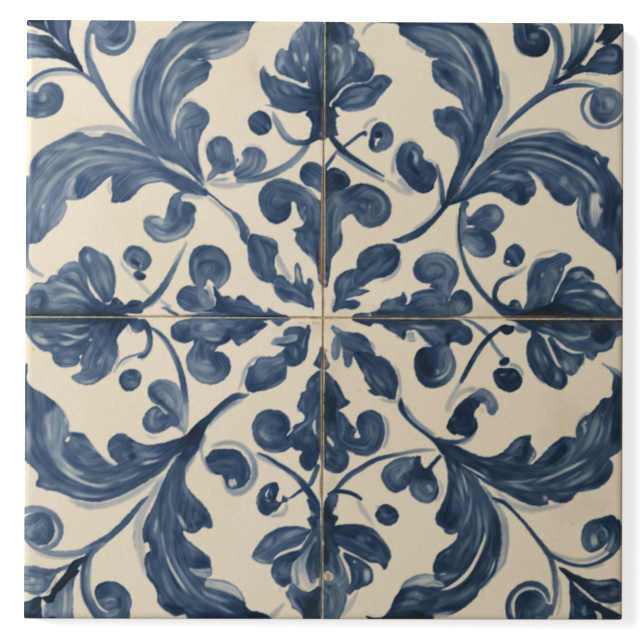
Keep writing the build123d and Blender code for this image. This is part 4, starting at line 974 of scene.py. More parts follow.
def ne_right_leaf():
    wash([(41.3, 41.8, 0.5, 0.3), (43, 44, 0.8, 0.28), (46, 46.2, 0.85, 0.28), (49, 47.6, 0.7, 0.3),
          (52, 48.3, 0.55, 0.33), (56, 48.7, 0.4, 0.33), (60, 48.4, 0.35, 0.33), (63, 46.9, 0.3, 0.33),
          (65.2, 45.4, 0.2, 0.33)])
    body([(30.5, 29), (32.5, 31), (35, 34.6), (38, 38.4), (41, 41.3), (44, 43.8), (47, 45.5), (50, 46.6),
          (53, 47.1), (56, 47.8), (58.5, 48.1), (60.3, 47.8), (62.5, 46.3), (65, 45), (66.5, 44.6),
          (68, 43.7), (69.5, 43), (70.5, 42), (72.3, 41.3), (72, 40), (71.7, 38.8), (73.2, 37.5),
          (74.6, 35.6), (75.5, 33.8), (77, 32), (77, 15), (76, 14.2), (75.3, 13.2), (74.8, 12.9),
          (74.3, 12), (74.1, 13.5), (74, 15), (73.5, 16.5), (72.3, 17.8), (70.5, 18.9), (69, 20.2),
          (67.5, 21.5), (66, 22.9), (64.8, 24.5), (64.2, 26.5), (64.1, 29), (64.3, 31.5), (63.7, 30.4),
          (62.5, 29.4), (61, 29.4), (59.5, 30.2), (58, 31.5), (57, 32.8), (56, 33.7), (54.8, 35.4),
          (53, 37.3), (51.5, 37.9), (52.6, 36.5), (53.4, 35.2), (53.7, 34), (53.4, 32.2), (52.4, 31.3),
          (51.5, 30), (50, 29.3), (48.3, 29.9), (46, 31.3), (44.5, 32.3), (42, 32.7), (40, 32.3),
          (38, 31.7), (35, 30.5), (32.5, 29.6)],
         [(31, 29.5, 0.9), (38, 36.5, 0.78), (46, 42, 0.74), (55, 44, 0.7), (63, 41, 0.72),
          (69, 36, 0.78), (72, 28, 0.8), (74, 18, 0.86), (74.6, 13, 0.95)])
    # outer lobe
    dark([(47, 44.7, 0.6, 0.78), (52, 46, 0.7, 0.84), (57, 46, 0.9, 0.78), (61, 44.7, 1.1, 0.8),
          (65, 43, 1.1, 0.88), (68.5, 41, 1.3, 0.88), (71, 38, 1.3, 0.86), (72.6, 34.4, 1.5, 0.86),
          (73, 30, 1.7, 0.98), (72.4, 26, 1.5, 0.98), (72, 22, 1.4, 0.86), (73.2, 18.5, 1.0, 0.92),
          (74.7, 14.5, 0.7, 0.96)])
    light([(48, 46.1, 0.25, 0.5), (52, 46.9, 0.3, 0.46), (56, 47.3, 0.4, 0.48), (59.5, 47, 0.4, 0.56),
           (62.5, 45.5, 0.3, 0.62)])
    light([(46, 44.5, 0.25, 0.56), (50, 45.2, 0.3, 0.5), (55, 45.2, 0.35, 0.48), (58, 44.8, 0.3, 0.54)])
    light([(57.5, 44, 0.4, 0.6), (61.5, 42.6, 0.45, 0.6), (65, 40.8, 0.4, 0.64)])
    dark([(44, 43, 0.3, 0.86), (48, 44.1, 0.3, 0.86), (53, 44.2, 0.3, 0.88), (57, 43.4, 0.4, 0.88),
          (61, 41.8, 0.4, 0.86), (64.5, 40, 0.45, 0.86), (67.5, 38, 0.55, 0.82), (69.5, 35.5, 0.6, 0.84)])
    light([(69.3, 42.2, 0.16, 0.14), (68.8, 41.5, 0.3, 0.12), (69.2, 40.7, 0.28, 0.14),
           (69.9, 39.5, 0.15, 0.24)])
    dark([(70.5, 41.3, 0.7, 0.9), (71.6, 41.3, 0.4, 0.9), (70.9, 39.8, 0.6, 0.88)])
    light([(74.4, 35.2, 0.4, 0.66), (75, 33.5, 0.5, 0.58), (74.3, 32, 0.4, 0.64)])
    light([(75.3, 30, 0.5, 0.52), (75, 27.8, 0.6, 0.5), (75.8, 26, 0.4, 0.6)])
    light([(74.6, 23, 0.4, 0.68), (74.2, 19.5, 0.4, 0.7), (75.6, 17, 0.4, 0.66)])
    light([(71, 23.5, 0.3, 0.64), (70.8, 21.5, 0.35, 0.66)])
    dark([(75.8, 24, 0.5, 0.88), (75.6, 20, 0.5, 0.9)])
    # second lobe
    light([(44.5, 40.7, 0.3, 0.6), (48.5, 41, 0.4, 0.52), (53, 40.9, 0.45, 0.5), (57, 39.8, 0.45, 0.54),
           (60.5, 38.4, 0.4, 0.58)])
    dark([(42, 41.1, 0.3, 0.82), (46, 41.9, 0.35, 0.86), (50, 42.1, 0.3, 0.86), (54, 42, 0.35, 0.84),
          (58, 41.1, 0.4, 0.86), (61.3, 39.5, 0.55, 0.88), (63.6, 37.6, 0.6, 0.86),
          (65, 35.4, 0.5, 0.82)])
    light([(45.5, 42.3, 0.14, 0.4), (48, 42.7, 0.22, 0.33), (51, 42.9, 0.26, 0.28), (54, 42.8, 0.3, 0.2),
           (56.5, 42.3, 0.34, 0.12), (59, 41.5, 0.34, 0.07), (61.3, 40.5, 0.3, 0.06),
           (63.4, 39.4, 0.27, 0.06), (65, 38.5, 0.3, 0.05), (66.6, 37.2, 0.48, 0.03),
           (68, 35.7, 0.58, 0.02), (69.1, 34, 0.55, 0.02), (69.9, 32.4, 0.38, 0.04),
           (70.5, 31, 0.15, 0.1)])
    dark([(56, 38, 0.7, 0.68), (57.6, 35.6, 0.8, 0.72), (59.2, 33, 0.8, 0.72)])
    light([(61.4, 37.3, 0.5, 0.52), (60.6, 35.7, 0.8, 0.42), (60.3, 34, 0.6, 0.44)])
    dark([(62.6, 35.8, 0.7, 0.76), (63.8, 34, 0.5, 0.74)])
    dark([(57, 33.1, 0.35, 0.92), (58.5, 31.9, 0.8, 0.88), (60.5, 31, 1.2, 0.84), (62.8, 31, 0.7, 0.88),
          (63.8, 31.6, 0.3, 0.92)])
    light([(62.2, 33.4, 0.3, 0.5), (63.4, 32.5, 0.3, 0.5), (64.6, 32.8, 0.3, 0.42)])
    dark([(47.5, 39.6, 0.35, 0.8), (50.5, 39.3, 0.4, 0.86), (53, 38, 0.4, 0.86), (55, 36.3, 0.35, 0.82),
          (56.2, 34.8, 0.3, 0.76)])
    light([(50.6, 38.8, 0.16, 0.3), (52.3, 37.8, 0.28, 0.12), (54, 36.5, 0.34, 0.16),
           (55.4, 34.9, 0.38, 0.22), (56.2, 33.7, 0.25, 0.24)])
    # strips and the pale heart between the second and outer lobes
    body([(67.8, 32.3), (69.3, 32.6), (70.3, 31), (70.2, 29), (70.7, 27.8), (70, 26), (69.5, 24.5),
          (68.8, 23.7), (67.8, 25), (67.3, 27.5), (67.5, 30)],
         [(69, 32, 0.16), (68.8, 28, 0.22), (68.9, 24.5, 0.4)], pool=0.0, soft=1.4)
    light([(65.4, 36.3, 0.35, 0.36), (66.4, 34, 0.45, 0.42), (66.8, 31.6, 0.35, 0.38),
           (67.2, 29.6, 0.3, 0.28)])
    dark([(66.2, 34.5, 0.2, 0.6), (66.7, 32.3, 0.3, 0.76), (66.5, 29.5, 0.35, 0.78),
          (66.5, 27, 0.35, 0.72), (67.3, 25, 0.3, 0.62)])
    light([(64.9, 32.6, 0.4, 0.32), (64.9, 30, 0.42, 0.28), (64.8, 27.6, 0.4, 0.34),
           (65.4, 25.4, 0.4, 0.36), (66.7, 23.8, 0.4, 0.42)])
    dark([(65.7, 31, 0.2, 0.55), (65.6, 28.3, 0.25, 0.6), (66, 26, 0.2, 0.6)])
    dark([(69.7, 31.6, 0.2, 0.92), (69.9, 29.9, 0.28, 0.92), (70.8, 28.2, 0.4, 0.9),
          (70.4, 26, 0.5, 0.82), (69.6, 23.3, 0.9, 0.78), (67.6, 22.7, 0.7, 0.7)])
    light([(70.3, 29, 0.25, 0.25), (70.6, 27.6, 0.2, 0.3)])
    dark([(68.5, 21.6, 0.7, 0.74), (70.6, 20.2, 0.8, 0.8), (72.3, 19, 0.6, 0.85)])
    # inner lobe
    light([(41.5, 36.8, 0.35, 0.4), (44, 36.9, 0.5, 0.46), (47, 36.5, 0.6, 0.48), (49.8, 36.3, 0.8, 0.5),
           (50.6, 35.6, 0.5, 0.56)])
    light([(41.8, 37.2, 0.2, 0.24), (43.4, 37.8, 0.26, 0.14), (45, 38.2, 0.2, 0.24)])
    light([(40.6, 34.6, 0.5, 0.6), (43, 35.2, 0.4, 0.54), (45, 35.2, 0.3, 0.6)])
    dark([(45.6, 37.7, 0.5, 0.82), (47.6, 38, 0.5, 0.86), (50, 37.8, 0.4, 0.82), (52, 36.8, 0.3, 0.7)])
    dark([(47, 33.6, 1.0, 0.86), (48.7, 34.6, 1.1, 0.86), (50, 32.6, 1.6, 0.9), (50.3, 30.7, 1.0, 0.9),
          (51.7, 33.5, 0.9, 0.78)])
    dark([(42.3, 34, 0.4, 0.82), (44.8, 33.2, 0.6, 0.82), (46.5, 32.2, 0.6, 0.84), (48.3, 31, 0.6, 0.86)])
    light([(52.8, 35.4, 0.35, 0.6), (53.1, 33.5, 0.4, 0.6), (52.6, 32.3, 0.3, 0.64)])
    dark([(31, 29.4, 0.4, 1.0), (33, 30.2, 0.45, 0.98), (35.5, 30.9, 0.45, 0.94), (38, 32, 0.4, 0.86)])
    light([(32.9, 30.9, 0.15, 0.4), (34, 32.4, 0.25, 0.32), (35.3, 34.4, 0.34, 0.22),
           (36.6, 36.6, 0.42, 0.14), (37.9, 38.5, 0.42, 0.12), (39.3, 40.2, 0.45, 0.16)])
    dark([(36.2, 34.2, 0.4, 0.86), (38, 36.8, 0.4, 0.84), (40, 39.2, 0.35, 0.8)])


def ne_hub():
    wash([(29, 31, 0.4, 0.45), (28.7, 28.7, 0.45, 0.32), (27, 26.4, 0.45, 0.3), (25, 24.7, 0.4, 0.26),
          (22, 23, 0.3, 0.25)])
    line([(28.4, 39.4, 0.4, 0.45), (29, 37, 0.5, 0.6), (29.6, 34, 0.6, 0.7), (29.8, 31.3, 0.7, 0.76),
          (30, 29.4, 0.6, 0.88)])
    light([(28.7, 36, 0.2, 0.35), (29.1, 33, 0.25, 0.42), (29.1, 31, 0.25, 0.45)])
    line([(31.3, 29.9, 0.5, 0.96), (30, 28.4, 0.62, 0.95), (28, 26, 0.65, 0.92), (26, 24.1, 0.8, 0.9),
          (24, 22.5, 1.0, 0.86), (22, 21.4, 0.95, 0.82), (20, 20.6, 0.9, 0.8), (18.6, 20.3, 0.6, 0.9),
          (17.3, 20.4, 0.2, 0.85)])
    light([(21, 20.3, 0.4, 0.68), (19, 19.7, 0.3, 0.66)])
    wash([(19.4, 16, 0.3, 0.38), (18.8, 13.4, 0.4, 0.36), (17.2, 11.3, 0.45, 0.3),
          (15.2, 10.2, 0.4, 0.25), (13.8, 9.7, 0.2, 0.2)])
    body([(8.3, 15.8), (9.2, 17.3), (11, 18.6), (13, 19.2), (15.5, 19.5), (17.8, 19.3), (18.3, 18.3),
          (19.2, 17.5), (19.1, 16), (18.6, 14), (17.2, 12), (15.5, 11), (13, 10.5), (11, 9.5), (9.7, 8.4),
          (8.2, 8.2), (7.3, 9), (7.1, 10.5), (7.7, 12.3), (8.2, 14)],
         [(18, 17.5, 0.84), (14, 14.5, 0.74), (9, 10, 0.7)])
    light([(11.5, 17.4, 0.4, 0.66), (14, 18, 0.4, 0.66), (16.3, 17.3, 0.5, 0.68)])
    light([(12.5, 15.4, 0.7, 0.66), (14.5, 15.6, 0.6, 0.68), (13, 12.6, 0.6, 0.7),
           (10.6, 11.5, 0.7, 0.66)])
    dark([(17.6, 18.7, 0.4, 0.88), (18.4, 16.8, 0.5, 0.9), (17.9, 13.9, 0.5, 0.9),
          (15.6, 11.8, 0.4, 0.86), (12.5, 10.9, 0.4, 0.82), (9.7, 9.1, 0.35, 0.78)])
    dark([(9, 16, 0.4, 0.84), (8.6, 14, 0.5, 0.88), (9.3, 13.2, 0.4, 0.88), (11, 13.8, 0.3, 0.86)])
    dark([(14.3, 18.7, 0.3, 0.86), (16, 16.9, 0.5, 0.84), (16.6, 15, 0.5, 0.84)])
    body([(8, 13.1), (6, 12.7), (4.2, 11.9), (3, 10.7), (2.4, 9.2), (2.3, 7.5), (2.8, 5.8), (2.6, 4.5),
          (2, 3.2), (1.9, 2.3), (2.5, 1.9), (3.5, 2.7), (5.2, 2.9), (7, 2.7), (8.4, 3.2), (9.2, 4.2),
          (8.6, 4.8), (7.4, 5.2), (6.2, 5), (5.3, 5.1), (7, 5.9), (9, 6.2), (10.3, 6.9), (11.5, 7.4),
          (10.3, 7.9), (8.7, 8), (7.2, 9.4), (7.3, 11)],
         [(7, 12, 0.72), (4.5, 9, 0.68), (4, 5.5, 0.72), (2.4, 2.6, 0.82)])
    light([(5.9, 11.3, 0.8, 0.62), (5.2, 9.2, 0.8, 0.6), (4.8, 7.4, 0.5, 0.62)])
    light([(10.5, 7.4, 0.3, 0.6), (8.7, 7.2, 0.6, 0.58), (6.8, 6.6, 0.5, 0.6), (5, 5.8, 0.3, 0.64)])
    dark([(4.2, 11.4, 0.4, 0.76), (3, 9.6, 0.4, 0.8), (3, 7.2, 0.4, 0.82), (3.6, 5.5, 0.5, 0.8)])
    dark([(5, 6.5, 0.25, 0.8), (6.5, 7.6, 0.25, 0.8), (8.2, 8.3, 0.3, 0.78)])
    dark([(3, 3, 0.6, 0.84), (4.6, 3.8, 0.7, 0.82), (6.8, 4, 0.9, 0.9), (8.4, 4.1, 0.4, 0.85)])
    wash([(2.4, 5.4, 0.25, 0.42), (1.9, 4, 0.25, 0.35), (1.7, 2.8, 0.15, 0.35)])


def ne_upper_stem():
    wash([(15, 35.9, 0.3, 0.25), (17.5, 34.1, 0.6, 0.25), (20, 32.7, 0.7, 0.22), (23, 32.1, 0.5, 0.22)])
    line([(3, 42.8, 0.5, 0.46), (5.5, 40.9, 0.55, 0.42), (8.5, 38.9, 0.55, 0.42), (12, 36.9, 0.5, 0.42),
          (14.7, 35.4, 0.4, 0.4)])
    line([(1, 47.3, 0.7, 0.9), (2.3, 45.4, 0.75, 0.92), (3.8, 43.7, 0.85, 0.92), (6, 41.9, 0.65, 0.88),
          (9, 40, 0.55, 0.88), (12, 38.2, 0.45, 0.86), (14.8, 36.6, 0.25, 0.7)])
    line([(2.8, 42.8, 0.3, 0.5), (2, 41.5, 0.45, 0.7), (1, 40.1, 0.5, 0.78), (0, 38.7, 0.5, 0.78)])
    body([(-0.5, 54.2), (1.6, 54.1), (2.6, 53.2), (3, 52.3), (3.8, 51.9), (2.8, 51.3), (2.7, 49.5),
          (3, 48), (3.3, 47), (2.3, 46.8), (1, 46.6), (-0.5, 46.8)],
         [(0.5, 53.5, 0.86), (1.5, 50, 0.92), (1, 47, 0.82)])
    line([(4.3, 43.7, 0.35, 0.82), (6.3, 45.2, 0.42, 0.72), (8.3, 46.8, 0.45, 0.74),
          (9.6, 47.6, 0.4, 0.86)])
    dark([(9.6, 48, 0.35, 0.95), (10.1, 47.5, 0.5, 0.98), (10.2, 46.6, 0.3, 0.95)])
    wash([(9.7, 48.4, 0.35, 0.3), (10.7, 50, 0.5, 0.3), (12, 50.9, 0.4, 0.32), (13.5, 51.2, 0.2, 0.42)])
    body([(11.4, 46.6), (11.7, 48.5), (12.6, 49.8), (14.2, 50.4), (16, 49.6), (17.2, 47.5), (17.3, 45.5),
          (16.2, 43.8), (14.5, 42.9), (12.7, 42.6), (11.4, 43.4), (11, 44.8)],
         [(11.8, 44.5, 0.84), (13, 49, 0.76), (16, 48, 0.72), (15.5, 44.5, 0.6), (13, 43.3, 0.6)])
    dark([(12.4, 48.8, 0.35, 0.82), (14, 49.8, 0.4, 0.82), (16, 48.7, 0.5, 0.82), (16.7, 46.4, 0.4, 0.8)])
    dark([(12.4, 47.3, 0.6, 0.96), (13.6, 47.1, 0.8, 1.0), (14.2, 46.3, 0.4, 0.95)])
    dark([(11.8, 46, 0.5, 0.9), (11.7, 44.4, 0.5, 0.92), (12.3, 43.4, 0.5, 0.86)])
    light([(14.8, 44.8, 0.7, 0.56), (15.6, 45.6, 0.5, 0.6), (14, 43.6, 0.5, 0.56)])
    light([(13.9, 46, 0.18, 0.04), (13.3, 45.9, 0.38, 0.0), (12.9, 45.2, 0.3, 0.0),
           (12.8, 44.2, 0.22, 0.04)], strength=1.0)
    light([(12.7, 46.1, 0.2, 0.05), (12.3, 46.1, 0.15, 0.15)])
    light([(11.1, 46.9, 0.15, 0.2), (11.2, 48.3, 0.18, 0.1), (12, 49.8, 0.15, 0.15)])
    wash([(17.4, 36.6, 0.7, 0.3), (17.2, 39, 0.45, 0.33), (17.7, 42, 0.45, 0.26), (18.9, 44.5, 0.4, 0.2),
          (21.4, 46, 0.4, 0.18), (23.7, 45.3, 0.4, 0.15)])
    wash([(18.5, 36.1, 0.7, 0.3), (20.4, 34, 0.7, 0.3), (22.4, 32.6, 0.6, 0.26)])
    wash([(25.6, 41.2, 0.3, 0.18), (27.8, 40.1, 0.3, 0.2), (29, 38.4, 0.3, 0.3)])
    body([(18, 39), (18, 41.5), (18.8, 43.8), (20.3, 45.2), (22, 45.5), (23.8, 44.6), (24.9, 42.8),
          (24.8, 41.3), (25.8, 40.6), (27.3, 39.8), (28.3, 38), (28.3, 36), (27.6, 34.8), (27.6, 33.8),
          (26.6, 32.7), (25, 32.3), (23.3, 32.8), (21.5, 34), (19.8, 36), (18.5, 37.5)],
         [(21, 44.5, 0.7), (19.8, 41, 0.8), (21, 37, 0.84), (25, 34, 0.88), (27, 37, 0.78)])
    light([(20.4, 44.4, 0.35, 0.6), (22.4, 44.7, 0.4, 0.55), (24.1, 43.2, 0.4, 0.55),
           (24.2, 41.8, 0.35, 0.5)])
    light([(21.2, 43.6, 0.2, 0.5), (22.2, 43.1, 0.3, 0.4), (23, 41.9, 0.45, 0.28), (23, 40.5, 0.48, 0.16),
           (22.8, 39.4, 0.3, 0.12)])
    dark([(21.4, 43, 0.2, 0.85), (22, 41.8, 0.25, 0.9), (22.3, 40.6, 0.2, 0.88)])
    dark([(19, 41.5, 0.6, 0.84), (19.8, 38.6, 1.0, 0.86), (22, 36.3, 1.2, 0.9), (24.6, 34.2, 1.2, 0.92),
          (26.6, 33.8, 0.6, 0.96)])
    light([(24.5, 36.8, 0.35, 0.72), (26, 38, 0.4, 0.7), (24.8, 38.8, 0.3, 0.72)])
    dark([(25.2, 40, 0.4, 0.84), (27, 38.8, 0.4, 0.84), (27.6, 36.8, 0.35, 0.84)])


def ne_top_flower():
    body([(-0.5, 77), (-0.5, 54), (0.5, 54.5), (2, 57.5), (3.5, 60), (6, 63), (7.3, 65.8), (7.6, 68),
          (8.6, 69.8), (8, 71), (7, 71.8), (7.2, 73.5), (6.5, 74.8), (5, 75.6), (4.3, 77)],
         [(3, 76, 0.76), (4, 71, 0.66), (3.5, 65, 0.52), (2, 60, 0.62), (0.5, 55, 0.88)])
    dark([(1.3, 76, 0.9, 0.84), (2.2, 73, 1.2, 0.92), (3.2, 71.3, 1.3, 0.86), (4.6, 71, 0.9, 0.8)])
    dark([(3.6, 75.5, 0.5, 0.76), (4.6, 73.5, 0.5, 0.74), (5.2, 71.5, 0.5, 0.76)])
    light([(5.6, 75, 0.35, 0.46), (6.4, 73.8, 0.5, 0.44), (6.4, 72.2, 0.5, 0.46)])
    light([(5.6, 70.6, 0.4, 0.5), (6.8, 70.8, 0.5, 0.36), (7.8, 70.4, 0.4, 0.3)])
    light([(1.3, 69.2, 0.3, 0.42), (2.4, 69.7, 0.4, 0.3), (3.6, 68.9, 0.4, 0.22), (4.2, 67.4, 0.3, 0.24)])
    light([(2.4, 68.3, 0.2, 0.3), (2, 66.8, 0.25, 0.24), (2.1, 65.3, 0.15, 0.34)])
    light([(4.4, 66.5, 0.3, 0.3), (4.4, 64.2, 0.38, 0.3), (3.8, 62, 0.38, 0.32), (2.9, 60.2, 0.3, 0.42),
           (2, 58.6, 0.2, 0.5)])
    light([(6.1, 69, 0.3, 0.3), (6.7, 67.4, 0.3, 0.22), (6.9, 66, 0.28, 0.2), (6.4, 64.2, 0.22, 0.28)])
    dark([(3.1, 67.3, 0.3, 0.56), (3.1, 65, 0.4, 0.62), (2.7, 62.4, 0.4, 0.62), (1.9, 60, 0.4, 0.66)])
    dark([(5.2, 69, 0.3, 0.6), (5.3, 66.5, 0.3, 0.56), (5.2, 64, 0.35, 0.58), (4.5, 61.8, 0.35, 0.64)])
    dark([(0.9, 67.8, 0.5, 0.66), (1, 64.5, 0.6, 0.7), (0.8, 61, 0.6, 0.72), (1, 58, 0.6, 0.86),
          (0.4, 55.5, 0.6, 0.98)])
    body([(7.6, 67.8), (7.9, 69), (8.3, 68.3), (9.5, 68.2), (10.8, 67), (12, 65.5), (12.4, 64),
          (12.2, 62.6), (11.5, 61.3), (10, 60.5), (8, 60.4), (6, 60), (4, 58.6), (1.5, 55.6), (0.5, 55),
          (2.5, 59), (4.5, 61.4), (6.3, 63.6), (7.2, 65.6)],
         [(8, 68.3, 0.82), (9.8, 65.5, 0.66), (9, 62.5, 0.7), (5.5, 60.5, 0.78), (1, 55.8, 0.9)])
    light([(9.6, 67, 0.4, 0.62), (10.8, 66, 0.5, 0.56), (11.3, 64.6, 0.5, 0.54), (9.8, 64.2, 0.6, 0.58)])
    dark([(8, 66.5, 0.5, 0.76), (8.2, 64.2, 0.5, 0.74), (7.3, 62.4, 0.6, 0.78), (9.4, 61.6, 0.7, 0.82),
          (11.2, 62.3, 0.5, 0.76)])
    dark([(11.8, 64.8, 0.3, 0.66), (10.6, 66.8, 0.3, 0.66)])
    wash([(10.9, 67.6, 0.2, 0.2), (12.3, 66, 0.22, 0.18), (12.9, 64.2, 0.2, 0.15)])
    body([(2, 54.1), (3.2, 54.2), (4.5, 53.3), (7, 53), (10, 53.6), (12.4, 54.8), (13.7, 56.8),
          (14.8, 57.9), (16, 59.3), (16.9, 60.8), (15.8, 62), (14.3, 62.4), (12.5, 62.1), (11.3, 61),
          (10, 60.4), (8, 60.2), (6, 59.6), (4.3, 58.2), (3, 56.4), (1.6, 54.8)],
         [(2, 54.5, 0.84), (6, 56.5, 0.7), (11, 57.5, 0.68), (15.5, 60.5, 0.68)])
    light([(4.5, 54.9, 0.4, 0.56), (6.5, 55.6, 0.6, 0.5), (9, 56.4, 0.7, 0.5), (11, 57.6, 0.4, 0.54)])
    light([(5.6, 57.2, 0.4, 0.6), (8, 58, 0.4, 0.56), (10.4, 58.6, 0.3, 0.6)])
    dark([(3.8, 56.6, 0.3, 0.82), (5.5, 58.4, 0.35, 0.84), (8, 59.4, 0.35, 0.82), (10.6, 59.6, 0.4, 0.8),
          (12.4, 58.7, 0.5, 0.8), (14, 58.6, 0.6, 0.82)])
    dark([(5, 54.3, 0.3, 0.78), (8, 54.6, 0.4, 0.78), (10.8, 55.6, 0.4, 0.78), (12.6, 57, 0.4, 0.76)])
    dark([(12.6, 60.8, 0.5, 0.76), (13.6, 61.8, 0.4, 0.7), (15.6, 61.2, 0.35, 0.74)])
    light([(14.2, 60.4, 0.6, 0.6), (15.4, 60, 0.4, 0.6)])
    light([(4.2, 53.6, 0.2, 0.4), (7, 53.3, 0.25, 0.4), (10, 53.9, 0.25, 0.45), (12.4, 55.2, 0.2, 0.5)])
    light([(2.6, 56.4, 0.1, 0.3), (3.4, 57.6, 0.18, 0.12), (4.6, 58.9, 0.22, 0.06), (6, 59.7, 0.18, 0.1),
           (7.2, 60, 0.12, 0.28)])
    light([(2, 55.4, 0.12, 0.4), (2.8, 56.4, 0.12, 0.36)])
    dark([(1.7, 54.4, 0.6, 0.96), (1.9, 53.2, 0.6, 1.0)])


def ne_right_flower():
    wash([(33.6, 27.5, 0.25, 0.25), (33.5, 22, 0.28, 0.25), (33.9, 17.6, 0.28, 0.3),
          (35, 14.5, 0.2, 0.3)])
    line([(34.3, 28.4, 0.25, 0.85), (34, 24, 0.3, 0.9), (34.2, 20, 0.35, 0.9), (35, 16.5, 0.5, 0.74),
          (36, 13.5, 0.62, 0.76), (37.5, 10.6, 0.72, 0.84), (39.4, 7.9, 0.72, 0.8),
          (41.4, 5.6, 0.65, 0.78), (43, 4.2, 0.7, 0.82), (44.5, 2.9, 0.9, 0.78), (46, 2, 1.1, 0.8),
          (48.5, 1.7, 1.1, 0.84), (52, 1.6, 1.2, 0.94)])
    light([(36.4, 13.8, 0.2, 0.6), (38, 10.8, 0.2, 0.66), (40.2, 7.6, 0.2, 0.62)])
    wash([(51.6, 14.3, 0.15, 0.22), (50.2, 13, 0.45, 0.28), (48.3, 12, 0.5, 0.34),
          (46.5, 11.5, 0.4, 0.42)])
    line([(48.6, 11.6, 0.12, 0.6), (46.6, 11, 0.4, 0.82), (44.8, 10.2, 0.6, 0.8), (43.5, 8.3, 0.65, 0.84),
          (43.2, 6, 0.65, 0.88), (44, 4.4, 0.75, 0.88), (45.8, 3.4, 0.75, 0.88), (47.6, 3.1, 0.7, 0.9)])
    light([(45.5, 10.9, 0.2, 0.7), (43.9, 9, 0.2, 0.7)])
    body([(46.6, 3.6), (47.1, 4.7), (48.1, 5.5), (49.3, 4.9), (50.1, 3.6), (50, 2), (47, 2)],
         [(47, 3.5, 0.96), (49.5, 3.5, 0.72)], pool=0)
    light([(48.6, 4.6, 0.35, 0.5), (49.2, 3.7, 0.4, 0.46)])
    body([(45.6, 16), (45.4, 14.8), (46, 14.2), (47.5, 13.7), (48.8, 13.8), (50, 14.6), (50.7, 16),
          (50.9, 17.3), (50.2, 18.6), (49.3, 19.3), (48.3, 19.6), (47, 19), (46, 17.8)],
         [(46.5, 18, 0.82), (48, 17, 0.8), (49.5, 15, 0.9)])
    light([(47.9, 18.2, 0.4, 0.7), (47.6, 16.7, 0.5, 0.68)])
    light([(46.2, 15.1, 0.22, 0.1), (47, 14.95, 0.3, 0.03)], strength=1.0)
    # tall petal
    wash([(53.3, 16.2, 0.15, 0.2), (55.5, 17.2, 0.3, 0.2), (58, 17.8, 0.3, 0.2),
          (59.8, 17.7, 0.25, 0.26)])
    body([(50.5, 2.5), (51.4, 5), (51.4, 9), (51.7, 12), (52.6, 14.2), (53.8, 15.6), (55.5, 16),
          (57.5, 16.1), (59, 17), (60.5, 17.4), (62, 16.8), (62.8, 15.8), (62.3, 14.9), (61.2, 14.2),
          (60.7, 12.5), (60.2, 10.5), (59.2, 8.5), (58.3, 6.8), (57.6, 5), (58.5, 3.5), (54, 1)],
         [(61.5, 16, 0.7), (57, 14, 0.72), (55.5, 8, 0.7), (54, 3, 0.86)])
    light([(51.9, 10.2, 0.2, 0.5), (52.3, 12.6, 0.28, 0.42), (53.4, 14.9, 0.28, 0.4),
           (55.5, 15.8, 0.22, 0.42), (57.3, 16, 0.15, 0.5)])
    dark([(52, 6.5, 0.4, 0.8), (52.3, 9, 0.7, 0.88), (53.2, 12, 0.6, 0.86), (54.6, 14.2, 0.6, 0.84),
          (57, 15.3, 0.6, 0.84), (59.5, 16.3, 0.5, 0.76)])
    light([(57.5, 13.6, 0.6, 0.6), (58.8, 12, 0.5, 0.58), (58.4, 10, 0.5, 0.62)])
    light([(55, 10.9, 0.22, 0.5), (55.3, 11.7, 0.35, 0.32), (55.8, 12.3, 0.2, 0.4)])
    light([(56, 9.4, 0.5, 0.66), (56.6, 7.2, 0.6, 0.62), (54.4, 6.5, 0.4, 0.68)])
    dark([(54.6, 12.6, 0.5, 0.84), (53.8, 9.8, 0.5, 0.8), (54.6, 7.4, 0.3, 0.78)])
    dark([(61.8, 16.3, 0.4, 0.76), (61.3, 15, 0.5, 0.72), (59.6, 14.8, 0.6, 0.72)])
    light([(60.3, 13.8, 0.25, 0.36), (60, 12.5, 0.22, 0.36)])
    # the flower's lower petals, down to the score line
    body([(57.6, 4.6), (58.8, 7.2), (60.2, 9.8), (61.2, 11.4), (62.4, 13.1), (64, 13.8), (66, 13.7),
          (67.6, 12.8), (68.5, 11.5), (68.6, 10.4), (67.4, 10.3), (69, 9.7), (70.3, 9.1), (71.6, 7.8),
          (72.8, 6.3), (74, 4.8), (75.9, 3), (77, 2), (77, 0.5), (46, 0.5), (50, 2), (54, 3)],
         [(48, 1.5, 0.88), (56, 2.5, 1.04), (62, 5.5, 0.84), (68, 6, 0.82), (76, 2, 0.74)])
    light([(60.8, 11.8, 0.14, 0.2), (59.9, 9.8, 0.2, 0.14), (58.9, 7.8, 0.24, 0.14),
           (58.2, 6.3, 0.2, 0.2)])
    light([(61.8, 10.7, 0.4, 0.52), (62.8, 11.5, 0.6, 0.36), (64.3, 11.7, 0.85, 0.27),
           (65.3, 12.3, 0.45, 0.35), (66.3, 11.4, 0.35, 0.42), (67.8, 10.6, 0.3, 0.38),
           (66, 10.3, 0.4, 0.42), (64, 9.8, 0.4, 0.5)])
    dark([(61, 10.8, 0.4, 0.84), (61.8, 12.2, 0.4, 0.84), (64, 13.4, 0.4, 0.8), (66.4, 13, 0.4, 0.8),
          (67.8, 11.8, 0.5, 0.86), (68.2, 10.8, 0.35, 0.88)])
    dark([(61.7, 9.9, 0.4, 0.88), (60.2, 8.5, 0.45, 0.9), (62.5, 8.7, 0.5, 0.86), (65.5, 8.7, 0.6, 0.88),
          (68.5, 9, 0.5, 0.84), (70.5, 8.2, 0.4, 0.8), (72.2, 6.6, 0.3, 0.8)])
    dark([(58.3, 5.2, 0.35, 0.98), (59.2, 7.1, 0.45, 0.94)])
    light([(60.4, 6.6, 0.2, 0.4), (61.8, 7.3, 0.28, 0.24), (63.8, 7.7, 0.28, 0.16),
           (66, 7.75, 0.28, 0.12), (67, 7.8, 0.3, 0.14)])
